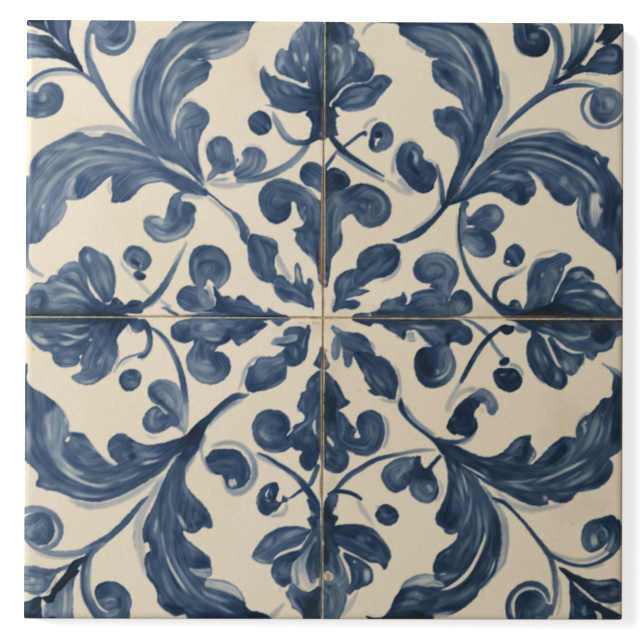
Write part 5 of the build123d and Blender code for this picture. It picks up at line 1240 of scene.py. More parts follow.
    light([(67.6, 7.7, 0.5, 0.14), (69.2, 7.3, 0.75, 0.2), (70.8, 6.5, 0.7, 0.24),
           (72.2, 5.6, 0.4, 0.36)])
    dark([(60, 5.4, 0.6, 0.86), (63, 6.4, 0.55, 0.86), (66, 6.4, 0.55, 0.9), (68, 5.8, 0.5, 0.86),
          (70.4, 5.1, 0.6, 0.8), (72.6, 4.6, 0.6, 0.74)])
    light([(62, 5, 0.3, 0.6), (64.3, 5.4, 0.35, 0.5), (66.3, 4.9, 0.4, 0.46), (67.7, 4.2, 0.4, 0.36),
           (69.2, 3.4, 0.25, 0.5)])
    light([(63.5, 3.5, 0.25, 0.66), (66, 3.4, 0.3, 0.6), (68, 2.7, 0.25, 0.62)])
    light([(71.8, 3.4, 0.5, 0.6), (73.4, 3, 0.5, 0.58), (75, 2.2, 0.4, 0.62)])
    dark([(49.5, 1.8, 1.0, 1.0), (53, 2, 1.1, 1.08), (57, 2.6, 1.3, 1.1), (61, 3.2, 0.9, 1.02),
          (65, 1.9, 0.8, 0.96), (70, 1.6, 0.7, 0.95)])
    dark([(69, 5, 0.4, 0.84), (71, 2.6, 0.5, 0.88), (73.5, 1.6, 0.4, 0.88)])


def ne_right_bud():
    body([(34.3, 29.4), (35, 30.3), (36.1, 30.5), (36.6, 29.4), (35.9, 28.5), (35.9, 27), (36.8, 26.4),
          (38, 27.3), (39, 25), (38, 22), (36, 20), (34.8, 18.6), (34.2, 23), (34.2, 27)],
         [(35.5, 30, 0.7), (35.2, 26, 0.56), (35.5, 21, 0.52)])
    dark([(35.9, 30.2, 0.3, 0.82), (36.2, 29.3, 0.3, 0.8)])
    light([(35, 28.5, 0.35, 0.45), (35.3, 26, 0.4, 0.5), (35.4, 23.5, 0.4, 0.46)])
    body([(37.2, 26.4), (38, 27.6), (39, 28.5), (40.5, 29.3), (42.3, 29.7), (44, 29.3), (45.2, 28),
          (45.5, 26.7), (45, 25), (44, 23.7), (42.5, 22.4), (40, 22), (37, 23), (36, 25.3), (36.6, 26.3)],
         [(36.5, 25, 0.8), (40, 27, 0.7), (44.5, 27, 0.6), (42, 23.5, 0.66)])
    light([(42, 28.6, 0.5, 0.6), (43.4, 27.7, 0.8, 0.48), (43.6, 26.2, 0.7, 0.46), (42.6, 25, 0.6, 0.54)])
    dark([(39.5, 28.2, 0.6, 0.76), (41.2, 27.6, 0.6, 0.78), (42, 26.3, 0.4, 0.7)])
    dark([(37.2, 25.6, 0.7, 0.86), (38.8, 24.6, 0.6, 0.82), (40.4, 24.8, 0.4, 0.72)])
    dark([(44.8, 28, 0.3, 0.68), (45.1, 26.4, 0.3, 0.7), (44.3, 24.4, 0.35, 0.68)])
    body([(36, 23.4), (38, 23.4), (41, 23), (42.3, 22.2), (43.1, 20.8), (43.5, 19), (43.2, 17.3),
          (42, 16.3), (40, 15.9), (38, 16.3), (36.3, 17.5), (35.2, 19.5), (34.8, 22)],
         [(36, 22.5, 0.56), (40, 22, 0.8), (42.7, 19.5, 0.84), (40, 17, 0.6), (36.5, 19, 0.46)])
    dark([(38, 23.2, 0.6, 0.86), (40.5, 22.3, 0.8, 0.9), (42.2, 20.4, 0.8, 0.88), (42.7, 18.3, 0.6, 0.84),
          (41.6, 16.9, 0.5, 0.74)])
    light([(35.6, 21.8, 0.5, 0.42), (37.2, 20.4, 0.6, 0.46), (39.2, 19, 0.7, 0.54), (40.6, 18, 0.5, 0.6)])
    light([(35.8, 19.8, 0.6, 0.4), (37, 18.3, 0.7, 0.4), (38.8, 17.1, 0.6, 0.46),
           (40.4, 16.5, 0.4, 0.54)])
    dark([(36, 21.1, 0.18, 0.66), (38, 19.8, 0.2, 0.7), (40, 19, 0.3, 0.72)])
    light([(35.9, 23.85, 0.22, 0.1), (36.9, 23.95, 0.32, 0.0), (37.9, 23.8, 0.2, 0.05)], strength=1.0)
    light([(38.8, 21.4, 0.3, 0.62), (40, 20.4, 0.4, 0.62)])


def ne_right_trefoil():
    wash([(24.8, 17.3, 0.2, 0.2), (28, 17.8, 0.22, 0.2), (31.5, 17.3, 0.2, 0.2)])
    body([(32.2, 6.3), (33.5, 7.6), (35, 7.8), (36.5, 6.9), (37.4, 5.3), (37.6, 3.5), (37.2, 2.2),
          (36, 1.6), (31, 1.1), (29, 3), (31.5, 5)],
         [(33, 6.5, 0.84), (36.5, 5, 0.82), (34, 2.5, 0.6)])
    light([(34.9, 5.2, 0.8, 0.54), (34.2, 3.6, 1.0, 0.52), (33, 2.5, 0.8, 0.54)])
    dark([(32.8, 6, 0.5, 0.86), (34.2, 7.2, 0.45, 0.9), (36.1, 6.5, 0.5, 0.86), (37, 4.6, 0.45, 0.88),
          (36.9, 2.8, 0.4, 0.84)])
    body([(22.4, 13), (23, 14.8), (24.3, 16.2), (26, 17), (28.5, 17.3), (31, 16.8), (33, 15.3),
          (34, 13.2), (34, 11), (33.2, 9), (32.3, 7.3), (31.9, 5.8), (29.8, 5.6), (28.4, 7.7),
          (26.6, 8.6), (27.2, 9.3), (26, 9.4), (24.3, 9.8), (23, 11)],
         [(23.5, 12.5, 0.84), (25.5, 16, 0.66), (30, 16, 0.66), (33, 12.5, 0.68), (31.5, 8, 0.62)])
    dark([(23.5, 14, 0.5, 0.82), (23.6, 12, 0.8, 0.88), (25, 10.6, 0.9, 0.88), (27, 10.3, 0.6, 0.88),
          (28.8, 11.2, 0.45, 0.86)])
    light([(24.8, 15.4, 0.28, 0.6), (27, 16.3, 0.33, 0.5), (29.6, 16.3, 0.33, 0.5),
           (31.8, 15.1, 0.33, 0.5), (33, 13, 0.35, 0.56)])
    light([(25.8, 14.3, 0.3, 0.62), (27.8, 15.1, 0.28, 0.58), (30.2, 14.8, 0.28, 0.56),
           (31.5, 13.2, 0.3, 0.56), (31.6, 11.4, 0.35, 0.56)])
    dark([(26.8, 14.2, 0.25, 0.8), (28.8, 14.4, 0.28, 0.82), (30.4, 13.2, 0.3, 0.8),
          (30.6, 11.6, 0.3, 0.74)])
    light([(26.4, 13.4, 0.4, 0.56), (26.2, 12.2, 0.5, 0.56), (28.6, 12.9, 0.35, 0.6),
           (29.4, 12, 0.3, 0.6)])
    dark([(33.4, 13.6, 0.35, 0.76), (33.2, 11, 0.45, 0.76), (32.4, 8.8, 0.45, 0.72)])
    light([(27.4, 9, 0.4, 0.46), (28.4, 9.8, 0.6, 0.52), (30.2, 9.6, 0.7, 0.54), (30.7, 8, 0.6, 0.48),
           (30.8, 6.4, 0.5, 0.5)])
    body([(20.6, 4), (21.8, 4.9), (22, 6.5), (23.5, 7.4), (26, 7.9), (28.5, 7.9), (30, 7.2), (31.4, 6),
          (31.2, 3), (32, 1), (12, 0.9), (11.7, 2), (13, 2.3), (14, 3.2), (14.2, 4.2), (15.3, 5.2),
          (17, 5.5), (18.8, 6), (19.5, 6.5), (19.8, 7.3), (20.7, 6.3), (20.9, 5.2)],
         [(31, 4, 0.7), (26, 5, 0.72), (21, 3, 0.8), (16, 3.5, 0.68), (12, 1.6, 0.84)])
    light([(24.5, 5.6, 0.6, 0.64), (26.4, 5.2, 0.9, 0.62), (28, 4.2, 0.8, 0.66), (25.5, 3.8, 0.7, 0.66)])
    dark([(22.6, 6.4, 0.5, 0.9), (24.8, 7.2, 0.45, 0.86), (27.6, 7.4, 0.45, 0.86), (29.4, 6.5, 0.4, 0.8)])
    dark([(22.8, 5.2, 0.5, 0.92), (22.7, 3.6, 0.7, 0.88), (21.3, 2.6, 0.9, 0.84), (24, 2, 0.8, 0.84)])
    dark([(27.2, 4.2, 0.35, 0.82), (28, 3.5, 0.4, 0.82)])
    light([(22.2, 5.6, 0.12, 0.3), (22.3, 4.9, 0.14, 0.4)])
    light([(15.6, 4.6, 0.5, 0.6), (17.4, 4.6, 0.6, 0.58), (16.6, 3.2, 0.7, 0.62), (18.6, 3.2, 0.5, 0.66)])
    dark([(19.8, 6.4, 0.3, 0.84), (20, 4.8, 0.5, 0.84), (19.6, 3.2, 0.4, 0.78)])
    dark([(12.3, 1.9, 0.4, 0.9), (14, 2, 0.7, 0.92), (16.5, 1.7, 0.6, 0.86), (20, 1.5, 0.5, 0.86)])
    light([(30, 5.6, 0.25, 0.5), (30.6, 4.6, 0.2, 0.54)])
    body([(6.9, 0.5), (7.6, 1.5), (9.5, 1.9), (11.3, 1.8), (10.6, 0.4)],
         [(7.5, 1, 0.78), (11, 1.2, 0.7)], pool=0)


def ne_top_trefoil():
    body([(5.4, 33.4), (7, 34.3), (8.5, 34.7), (10.5, 34.7), (12.5, 34.1), (14.5, 33), (16, 31.3),
          (16.8, 29.2), (16.7, 27.2), (15.9, 25.4), (14.3, 24.1), (12.3, 23.5), (10.3, 23.6), (8.7, 24.5),
          (7.5, 26), (6.7, 26.9), (5, 25.9), (4, 25), (4, 23.5), (4.3, 22.5), (4.5, 21), (4.3, 19.5),
          (4, 18.3), (3, 17.3), (2, 15.8), (1, 14.3), (0.3, 13.7), (-0.5, 13.4), (-0.5, 33), (1.5, 33),
          (3.5, 33.3)],
         [(12, 29, 0.72), (12, 26, 0.68), (15.5, 28, 0.7), (12, 33.5, 0.74), (7, 31, 0.74), (3, 28, 0.66),
          (2, 21, 0.68), (0.5, 14, 0.76)])
    light([(1.4, 32, 0.6, 0.54), (2.6, 31, 0.9, 0.52), (3.8, 29.4, 0.9, 0.56), (3.2, 27.6, 0.8, 0.6)])
    dark([(4.6, 32.6, 0.5, 0.82), (6, 31.4, 0.8, 0.82), (8.3, 30.6, 0.7, 0.84), (11, 30.3, 0.6, 0.86),
          (12.4, 29.5, 0.4, 0.8)])
    dark([(7.4, 28.9, 0.9, 0.78), (9, 27.6, 1.0, 0.8), (10.8, 27.2, 0.6, 0.74)])
    light([(9.4, 32.3, 0.35, 0.66), (12.3, 32.2, 0.45, 0.6), (14.2, 30.8, 0.45, 0.56),
           (14.9, 28.8, 0.5, 0.56), (14.2, 27, 0.45, 0.6), (12.6, 26, 0.35, 0.64)])
    light([(12.9, 30.6, 0.3, 0.66), (13.4, 28.9, 0.4, 0.62)])
    dark([(7.5, 33.8, 0.45, 0.78), (10.5, 34.2, 0.4, 0.84), (13.5, 33, 0.4, 0.84),
          (15.7, 30.9, 0.45, 0.82), (16.2, 28, 0.4, 0.8), (15.2, 25.7, 0.4, 0.78),
          (12.5, 24.3, 0.4, 0.76), (10, 24.5, 0.4, 0.76), (8.4, 26, 0.4, 0.74)])
    light([(11, 25.4, 0.25, 0.64), (12.8, 25.3, 0.25, 0.62)])
    light([(11.1, 28.9, 0.12, 0.35), (11.6, 28.5, 0.16, 0.4)], strength=1.0)
    light([(7.3, 27.6, 0.16, 0.52), (6.2, 28.4, 0.22, 0.5), (5.2, 27, 0.25, 0.6)])
    light([(3.2, 25.2, 0.4, 0.45), (3.6, 23.8, 0.35, 0.42), (3, 22.4, 0.4, 0.45),
           (1.8, 21.7, 0.25, 0.46)])
    dark([(3.6, 22.4, 0.3, 0.92), (4, 21.2, 0.35, 0.92), (3.9, 19.8, 0.35, 0.86), (3.2, 18.6, 0.4, 0.78)])
    dark([(1.6, 24.2, 0.7, 0.8), (1.2, 22.6, 0.5, 0.84), (1.2, 19.5, 0.5, 0.78), (0.8, 16, 0.4, 0.84)])
    light([(2.4, 20.4, 0.6, 0.64), (2.2, 18, 0.5, 0.66), (1.4, 15.8, 0.35, 0.66)])
    body([(-0.5, 38), (0.3, 37.7), (1.2, 38.5), (2.5, 38.7), (4.3, 38), (5.7, 36.8), (6.4, 35.3),
          (6.2, 34.2), (5.2, 33.5), (3.5, 33), (1.5, 32.9), (-0.5, 32.7)],
         [(1, 35, 0.84), (3, 36, 0.96), (5.5, 35, 0.82)])
    light([(1.5, 38, 0.3, 0.78), (4.8, 36.9, 0.3, 0.72), (5.7, 35, 0.3, 0.74)])
    dark([(2.4, 36.6, 0.7, 1.0), (3.6, 35.6, 0.8, 1.0), (2.2, 35, 0.6, 0.98)])
    body([(-0.5, 12.4), (0.7, 12.3), (1.3, 11.5), (0.8, 10.8), (-0.5, 10.3)],
         [(0, 11.5, 0.78), (1, 11.5, 0.7)], pool=0)
    wash([(-0.2, 10.3, 0.5, 0.35), (0, 9.2, 0.4, 0.25)])


def ne_quarter():
    parts = (
        ne_right_leaf, ne_upper_leaf, ne_corner, ne_right_bud,
        ne_upper_stem, ne_hub, ne_top_flower, ne_right_flower,
        ne_right_trefoil, ne_top_trefoil,
    )
    for part in parts:
        part()


def sw_corner():
    # left scroll and its stem
    line([(-44.6, -44.9, 0.25, 0.6), (-46.2, -46.4, 0.55, 0.76), (-48, -48.6, 0.7, 0.78),
          (-50, -51, 0.85, 0.78), (-52.9, -53.9, 0.85, 0.78), (-55.2, -55.7, 0.9, 0.74),
          (-57.5, -57, 0.95, 0.66), (-60, -58.4, 0.9, 0.56), (-62.6, -59.3, 0.85, 0.5),
          (-66, -59.6, 0.85, 0.5), (-69.5, -59.3, 0.75, 0.5), (-72.5, -58.3, 0.55, 0.52),
          (-74.8, -56.5, 0.5, 0.56), (-76.5, -54, 0.5, 0.56)])
    light([(-59.6, -58, 0.25, 0.46), (-63, -59, 0.35, 0.4), (-67, -59.2, 0.35, 0.4),
           (-70, -59, 0.3, 0.42)])
    dark([(-55, -55.4, 0.25, 0.84), (-57.5, -56.6, 0.25, 0.82), (-60, -57.8, 0.2, 0.76)])
    wash([(-62, -60.3, 0.25, 0.3), (-66, -60.6, 0.3, 0.3), (-70, -60.2, 0.4, 0.22),
          (-73.5, -58.8, 0.4, 0.16)])
    line([(-76.5, -49, 0.75, 0.52), (-74.5, -48.2, 0.85, 0.48), (-72, -48.2, 0.85, 0.54),
          (-69.8, -49, 0.9, 0.6), (-67.9, -50.6, 0.95, 0.64), (-66.8, -53, 0.9, 0.62),
          (-67.2, -55.5, 0.8, 0.58), (-68.8, -57.5, 0.7, 0.56), (-71, -58.2, 0.6, 0.52)])
    light([(-75.5, -49.2, 0.4, 0.36), (-73.5, -48.7, 0.35, 0.38), (-71.5, -48.6, 0.3, 0.42)])
    body([(-77, -50.4), (-76, -50.2), (-74, -49.3), (-71.5, -49), (-69.5, -50), (-68.3, -52),
          (-68.1, -53.6), (-68.6, -55.5), (-70, -57), (-72, -57.4), (-74.2, -56.4), (-76, -55),
          (-77, -54.4)],
         [(-76, -53, 0.6), (-73, -52.5, 0.64), (-71, -51, 0.76), (-69.5, -54, 0.84)])
    light([(-74.5, -51.5, 0.4, 0.5), (-73.6, -52.2, 0.4, 0.52), (-74.6, -54.2, 0.6, 0.5),
           (-73.3, -55.6, 0.4, 0.52)])
    dark([(-72.8, -50.8, 0.5, 0.76), (-71, -50.2, 0.5, 0.78), (-69.6, -51.6, 0.6, 0.82),
          (-69, -53.7, 0.6, 0.88), (-69.6, -55.8, 0.6, 0.82), (-71.5, -56.5, 0.5, 0.78)])
    light([(-69.2, -49.7, 0.18, 0.3), (-68.2, -51.8, 0.28, 0.18), (-67.6, -53.7, 0.34, 0.2),
           (-67.9, -55.7, 0.32, 0.24), (-69, -57.2, 0.28, 0.34)])
    light([(-75, -55.9, 0.3, 0.4), (-73.2, -57.3, 0.35, 0.44), (-71.2, -57.7, 0.2, 0.46)])
    # stem of the curl at the foot
    line([(-55.8, -57, 0.5, 0.5), (-57.8, -58.2, 0.8, 0.62), (-59.4, -60, 1.0, 0.62),
          (-60.1, -62.4, 1.2, 0.62), (-60.4, -65.5, 1.15, 0.62), (-60.2, -68.5, 1.1, 0.62),
          (-59.5, -71, 1.15, 0.66), (-58, -73.6, 1.3, 0.7), (-56, -75.8, 1.6, 0.72),
          (-54.5, -77, 1.6, 0.7)])
    dark([(-56.5, -57.4, 0.25, 0.8), (-58.9, -58.8, 0.35, 0.86), (-60.4, -61.5, 0.5, 0.84),
          (-61.1, -65, 0.5, 0.82), (-61, -68.5, 0.5, 0.84), (-60.1, -71.5, 0.5, 0.9),
          (-58.4, -74, 0.5, 0.94), (-56.8, -75.8, 0.4, 0.94)])
    light([(-58.8, -61.3, 0.35, 0.42), (-59.3, -64.5, 0.35, 0.38), (-59.4, -67.5, 0.35, 0.36),
           (-59, -70, 0.35, 0.4), (-58, -72.3, 0.25, 0.48)])
    light([(-59.9, -62.5, 0.2, 0.35), (-60.2, -65.5, 0.16, 0.36)])
    body([(-57.8, -68), (-56.5, -66.8), (-54, -66.4), (-51.8, -67), (-50, -68.5), (-48.8, -70.3),
          (-48.6, -72), (-49, -74), (-49.6, -77), (-57, -77), (-54.5, -75), (-56, -73.4), (-57.6, -71.4),
          (-58, -69.6)],
         [(-57, -69, 0.84), (-54, -67.5, 0.88), (-50.5, -70, 0.8), (-50, -74, 0.74), (-54, -76, 0.6)])
    light([(-58.2, -69, 0.14, 0.1), (-57.8, -71, 0.2, 0.05), (-56.7, -73, 0.28, 0.04),
           (-55.4, -73.9, 0.26, 0.06), (-54.1, -74.1, 0.14, 0.3)], strength=1.0)
    light([(-56.4, -74.4, 0.5, 0.5), (-54.3, -75, 0.5, 0.46), (-52.6, -74.4, 0.4, 0.52),
           (-51.6, -72.7, 0.3, 0.6)])
    light([(-56, -71.6, 0.5, 0.5), (-54.6, -71.1, 0.4, 0.42), (-53, -71, 0.3, 0.46),
           (-52.2, -71.8, 0.25, 0.54)])
    light([(-55.4, -72.3, 0.3, 0.44), (-53.8, -72.6, 0.25, 0.5)])
    dark([(-51.9, -73.6, 0.5, 0.94), (-51.6, -72, 0.5, 0.9), (-52.2, -70, 0.6, 0.86)])
    light([(-49.8, -69.6, 0.35, 0.6), (-49.3, -71.8, 0.3, 0.62), (-49.8, -74.5, 0.3, 0.62)])
    # heart, dark leaf, streaked petal and corner leaf
    body([(-77, -63.4), (-75.5, -62.6), (-73, -62.6), (-71, -63), (-69, -63.3), (-67, -63), (-64.5, -62),
          (-62, -60.7), (-62, -61.2), (-64.5, -62.9), (-67.4, -64.6), (-68.3, -66), (-69.5, -68),
          (-71, -69.4), (-73, -70), (-75, -69.3), (-77, -68.2)],
         [(-76, -66, 0.52), (-72, -66, 0.52), (-69, -64.8, 0.74), (-63, -61.7, 0.5)])
    dark([(-75.5, -63.5, 0.4, 0.68), (-73, -63.8, 0.6, 0.72), (-70.5, -64.3, 0.7, 0.78),
          (-68.2, -64.3, 0.5, 0.8)])
    dark([(-71.4, -65.3, 0.6, 0.72), (-70, -66.5, 0.6, 0.72), (-71, -68.6, 0.3, 0.66)])
    light([(-74.8, -65.9, 0.3, 0.4), (-73.8, -66, 0.5, 0.16), (-72.8, -66.2, 0.35, 0.32)])
    light([(-72, -67.3, 0.6, 0.42), (-72.8, -68.6, 0.6, 0.4)])
    wash([(-67.4, -65.5, 0.18, 0.3), (-68.8, -68.2, 0.28, 0.34), (-70.3, -69.8, 0.28, 0.36)])
    body([(-61.9, -63.8), (-62.9, -65.5), (-63.3, -67.3), (-63.4, -69.5), (-63.5, -72), (-63.4, -74),
          (-63.7, -77), (-70.7, -77), (-71, -74.7), (-70.8, -73), (-69.8, -71.3), (-68.3, -69.8),
          (-66, -66.8), (-64, -64.5)],
         [(-64.5, -65, 0.76), (-67, -70, 0.56), (-67.5, -75.5, 0.52)], streak=0.12)
    light([(-63.9, -66.5, 0.3, 0.46), (-64, -69.5, 0.4, 0.38), (-64.1, -72.5, 0.4, 0.34),
           (-64.3, -75.8, 0.45, 0.34)])
    dark([(-64.5, -67, 0.3, 0.62), (-64.6, -70.5, 0.2, 0.56), (-64.7, -73.5, 0.15, 0.5)])
    light([(-65.4, -67.3, 0.2, 0.34), (-65.4, -70, 0.35, 0.24), (-65.4, -73, 0.45, 0.22),
           (-65.9, -75.9, 0.5, 0.24)])
    dark([(-69.8, -75.8, 0.5, 0.95), (-68.6, -75.9, 0.6, 0.98), (-67.6, -75.9, 0.35, 0.9)])
    dark([(-67, -69, 0.6, 0.66), (-67.7, -72, 0.8, 0.66), (-68.6, -74, 0.7, 0.68)])
    light([(-70.1, -72.6, 0.25, 0.38), (-70.4, -74.4, 0.25, 0.42)])
    body([(-59.7, -60), (-61.6, -60.5), (-63.4, -61.4), (-64.7, -62.9), (-66, -65), (-67.5, -66.7),
          (-68.8, -68.5), (-69.6, -70.1), (-71.3, -70.5), (-70.4, -71.6), (-69.3, -72), (-68.4, -71.6),
          (-67.8, -69.8), (-66, -68), (-64.7, -66.5), (-62.6, -64.7), (-61.9, -63.7), (-62.4, -63.4),
          (-61.7, -62.3), (-60.2, -61)],
         [(-60.5, -60.7, 0.95), (-64, -63.5, 1.1), (-69, -70.5, 1.06)])
    light([(-64.7, -62.6, 0.14, 0.4), (-65.8, -64.4, 0.14, 0.3)])
    body([(-77, -72.2), (-74.7, -71.4), (-73.2, -70.6), (-71.9, -70.1), (-71.2, -70.6), (-71.5, -71.6),
          (-71.4, -72.9), (-71.1, -74.2), (-71.2, -77), (-77, -77)],
         [(-76, -73.5, 0.88), (-73, -74, 0.96), (-72, -71, 0.98)])
    light([(-75, -73.2, 0.4, 0.76), (-73.8, -72.4, 0.35, 0.8)])
    light([(-70.4, -72, 0.2, 0.2), (-71, -73.5, 0.25, 0.06), (-71, -75, 0.25, 0.06),
           (-70.9, -76, 0.2, 0.1)])


def sw_left_leaf():
    wash([(-65.3, -45.3, 0.3, 0.25), (-62.8, -46.5, 0.6, 0.32), (-60, -47.3, 0.8, 0.36),
          (-57, -47.3, 0.75, 0.3), (-54, -46.8, 0.65, 0.27), (-50.5, -45.4, 0.7, 0.26),
          (-47, -43.4, 0.75, 0.26), (-44, -41.2, 0.6, 0.28), (-41.4, -39.2, 0.35, 0.3)])
    body([(-77, -16), (-75.9, -14), (-75.8, -11.5), (-75.3, -11.3), (-75.2, -13), (-75.4, -15),
          (-74.9, -16.5), (-73.7, -17.5), (-71.9, -18.5), (-69.8, -19.8), (-68, -21.3), (-66.5, -23.1),
          (-65.4, -24.8), (-64.8, -26.4), (-64.7, -28.2), (-64.2, -28.6), (-62.6, -28.7), (-61.1, -29),
          (-60.1, -30), (-59, -31.6), (-57.8, -33.1), (-56.5, -34.6), (-55, -35.9), (-53.4, -36.8),
          (-52.4, -36.7), (-53.9, -35.2), (-54.8, -33.6), (-55, -32.1), (-54.4, -30.5), (-53.4, -29.5),
          (-51.9, -28.9), (-50.6, -29), (-49.6, -29.8), (-48, -30.8), (-46.2, -31.6), (-43.7, -31.8),
          (-41.1, -31.4), (-39.1, -30.7), (-37, -30.2), (-35.3, -29.3), (-33.5, -28.6), (-32, -29.5),
          (-34, -31.6), (-36, -33.6), (-38.5, -36), (-41, -38.6), (-43, -39.9), (-45.5, -41.5),
          (-48, -43), (-50.3, -44.2), (-52.9, -45.2), (-55, -45.9), (-56.5, -46.2), (-58.5, -46.3),
          (-60.6, -46.1), (-62.6, -45.7), (-64.2, -45.2), (-66, -44.4), (-67.3, -43.8), (-68.5, -43.7),
          (-70.3, -43.3), (-71.9, -42.8), (-72.9, -42.2), (-72.8, -41.3), (-72.3, -39.9), (-72.8, -38.6),
          (-74.2, -37.3), (-75.4, -36.3), (-77, -34.5)],
         [(-75.4, -14, 0.8), (-74, -22, 0.7), (-72.5, -32, 0.7), (-67, -39.5, 0.68), (-58, -42, 0.7),
          (-48, -38.5, 0.74), (-38, -32.5, 0.84), (-34, -29.5, 0.98)])
    # bands along the leaf
    dark([(-76, -19, 0.5, 0.7), (-74.5, -19, 0.6, 0.76), (-73.9, -22, 0.6, 0.76), (-73.7, -26, 0.6, 0.76),
          (-73.2, -29.8, 0.7, 0.78), (-71.9, -33, 0.8, 0.76), (-69.8, -36.2, 0.9, 0.76),
          (-67, -38.8, 0.9, 0.76), (-63.5, -41.2, 0.8, 0.76)])
    dark([(-72.3, -20.5, 0.8, 0.72), (-71, -21.8, 0.8, 0.74), (-71.9, -24, 0.7, 0.74),
          (-72.1, -27, 0.4, 0.72)])
    light([(-75.9, -21, 0.35, 0.6), (-75.9, -25, 0.35, 0.58)])
    light([(-75.6, -27, 0.6, 0.44), (-75, -29.5, 0.6, 0.42), (-74.8, -32, 0.6, 0.44),
           (-75.6, -34, 0.6, 0.48)])
    light([(-73, -27.8, 0.25, 0.6), (-72.4, -30.5, 0.3, 0.6), (-71, -33.5, 0.3, 0.62)])
    light([(-74.8, -34.8, 0.3, 0.6), (-73, -36.6, 0.4, 0.62), (-71, -38.4, 0.4, 0.64)])
    body([(-70.8, -24.6), (-69.3, -23.4), (-67.8, -22.2), (-66.4, -23.3), (-65.5, -24.8), (-64.9, -26.6),
          (-64.9, -28.6), (-66, -30.5), (-66.5, -32.5), (-66.4, -34.5), (-65.3, -36), (-63.3, -37.7),
          (-61, -39), (-63, -39.9), (-65, -39.2), (-67, -37.3), (-68.8, -35), (-70, -32.5),
          (-70.8, -29.5), (-71.1, -26.5)],
         [(-68, -23, 0.5), (-68.4, -28, 0.42), (-68.2, -33, 0.4), (-65.5, -37.5, 0.34),
          (-62, -39.3, 0.28)], pool=0.0, soft=1.8)
    light([(-70.3, -25.2, 0.3, 0.28), (-69.6, -28.5, 0.35, 0.26), (-69.2, -32, 0.3, 0.34)])
    dark([(-67.4, -23.6, 0.3, 0.5), (-67.1, -26.7, 0.35, 0.48), (-67.4, -29.8, 0.3, 0.48),
          (-67.6, -33, 0.25, 0.46)])
    light([(-65.7, -24.6, 0.3, 0.26), (-65.2, -27, 0.3, 0.3)])
    # the long pale line
    light([(-68.8, -35.4, 0.2, 0.3), (-67, -37.5, 0.4, 0.16), (-64.7, -39.3, 0.5, 0.14),
           (-61.6, -41, 0.42, 0.2), (-59, -41.9, 0.38, 0.22), (-56.5, -42.3, 0.42, 0.2),
           (-54.2, -41.9, 0.38, 0.22), (-52.6, -41.2, 0.22, 0.38)])
    light([(-53.4, -41.2, 0.3, 0.4), (-50.5, -40.6, 0.3, 0.42), (-48, -39.5, 0.28, 0.48),
           (-45.5, -38.2, 0.2, 0.56)])
    light([(-56.5, -40.6, 0.2, 0.56), (-53.5, -40, 0.25, 0.54), (-50.5, -39.2, 0.25, 0.58)])
    dark([(-62, -42.6, 0.5, 0.7), (-59, -43.6, 0.6, 0.78), (-56, -43.8, 0.6, 0.8), (-53, -43.1, 0.6, 0.8),
          (-50, -41.9, 0.6, 0.8), (-47, -40.4, 0.6, 0.82), (-44, -38.6, 0.7, 0.86),
          (-41, -36.2, 0.8, 0.88), (-38, -33.2, 0.8, 0.92), (-35, -30.5, 0.7, 1.0)])
    dark([(-62.5, -45.2, 0.4, 0.78), (-60, -45.7, 0.4, 0.82), (-57, -45.8, 0.4, 0.82),
          (-54, -45.1, 0.45, 0.8), (-51, -43.9, 0.45, 0.76), (-48, -42.4, 0.45, 0.74)])
    light([(-66, -43, 0.4, 0.5), (-63, -44.2, 0.5, 0.46), (-60, -44.8, 0.45, 0.44),
           (-57, -44.9, 0.35, 0.48), (-54.5, -44.4, 0.3, 0.54)])
    light([(-71.6, -41, 0.4, 0.5), (-70.6, -41.8, 0.4, 0.42), (-69, -42.4, 0.4, 0.5),
           (-67, -42.2, 0.4, 0.54)])
    dark([(-72.3, -40.8, 0.35, 0.86), (-72.3, -41.6, 0.35, 0.86)])
    dark([(-71, -39.6, 0.5, 0.74), (-68.5, -40.8, 0.5, 0.74), (-66, -41.8, 0.4, 0.72)])
    # second lobe
    dark([(-64.4, -29.2, 0.4, 0.86), (-62.6, -29.4, 0.5, 0.92), (-61.2, -30, 0.5, 0.86)])
    dark([(-64, -31.3, 0.6, 0.78), (-65.2, -32.8, 0.7, 0.8), (-65, -34.6, 0.7, 0.82),
          (-63.6, -36.4, 0.7, 0.8), (-61, -38, 0.7, 0.78), (-57.5, -39.2, 0.7, 0.76),
          (-53.5, -39.2, 0.7, 0.78), (-49.5, -38.6, 0.6, 0.84)])
    light([(-62.5, -33.5, 0.8, 0.66), (-60.8, -35.2, 1.0, 0.62), (-58.5, -36.8, 0.8, 0.66)])
    light([(-60.3, -30.8, 0.28, 0.5), (-59, -32.5, 0.35, 0.44), (-57.6, -34, 0.28, 0.48)])
    light([(-59.1, -31.6, 0.15, 0.3), (-57.8, -33.2, 0.2, 0.3), (-56.6, -34.5, 0.15, 0.35)])
    light([(-65.5, -31.1, 0.3, 0.04), (-64.9, -30.4, 0.42, 0.0),
           (-64.6, -29.8, 0.25, 0.05)], strength=1.0)
    wash([(-56.2, -34.7, 0.2, 0.15), (-54.6, -36, 0.3, 0.15), (-52.4, -37.1, 0.25, 0.2)])
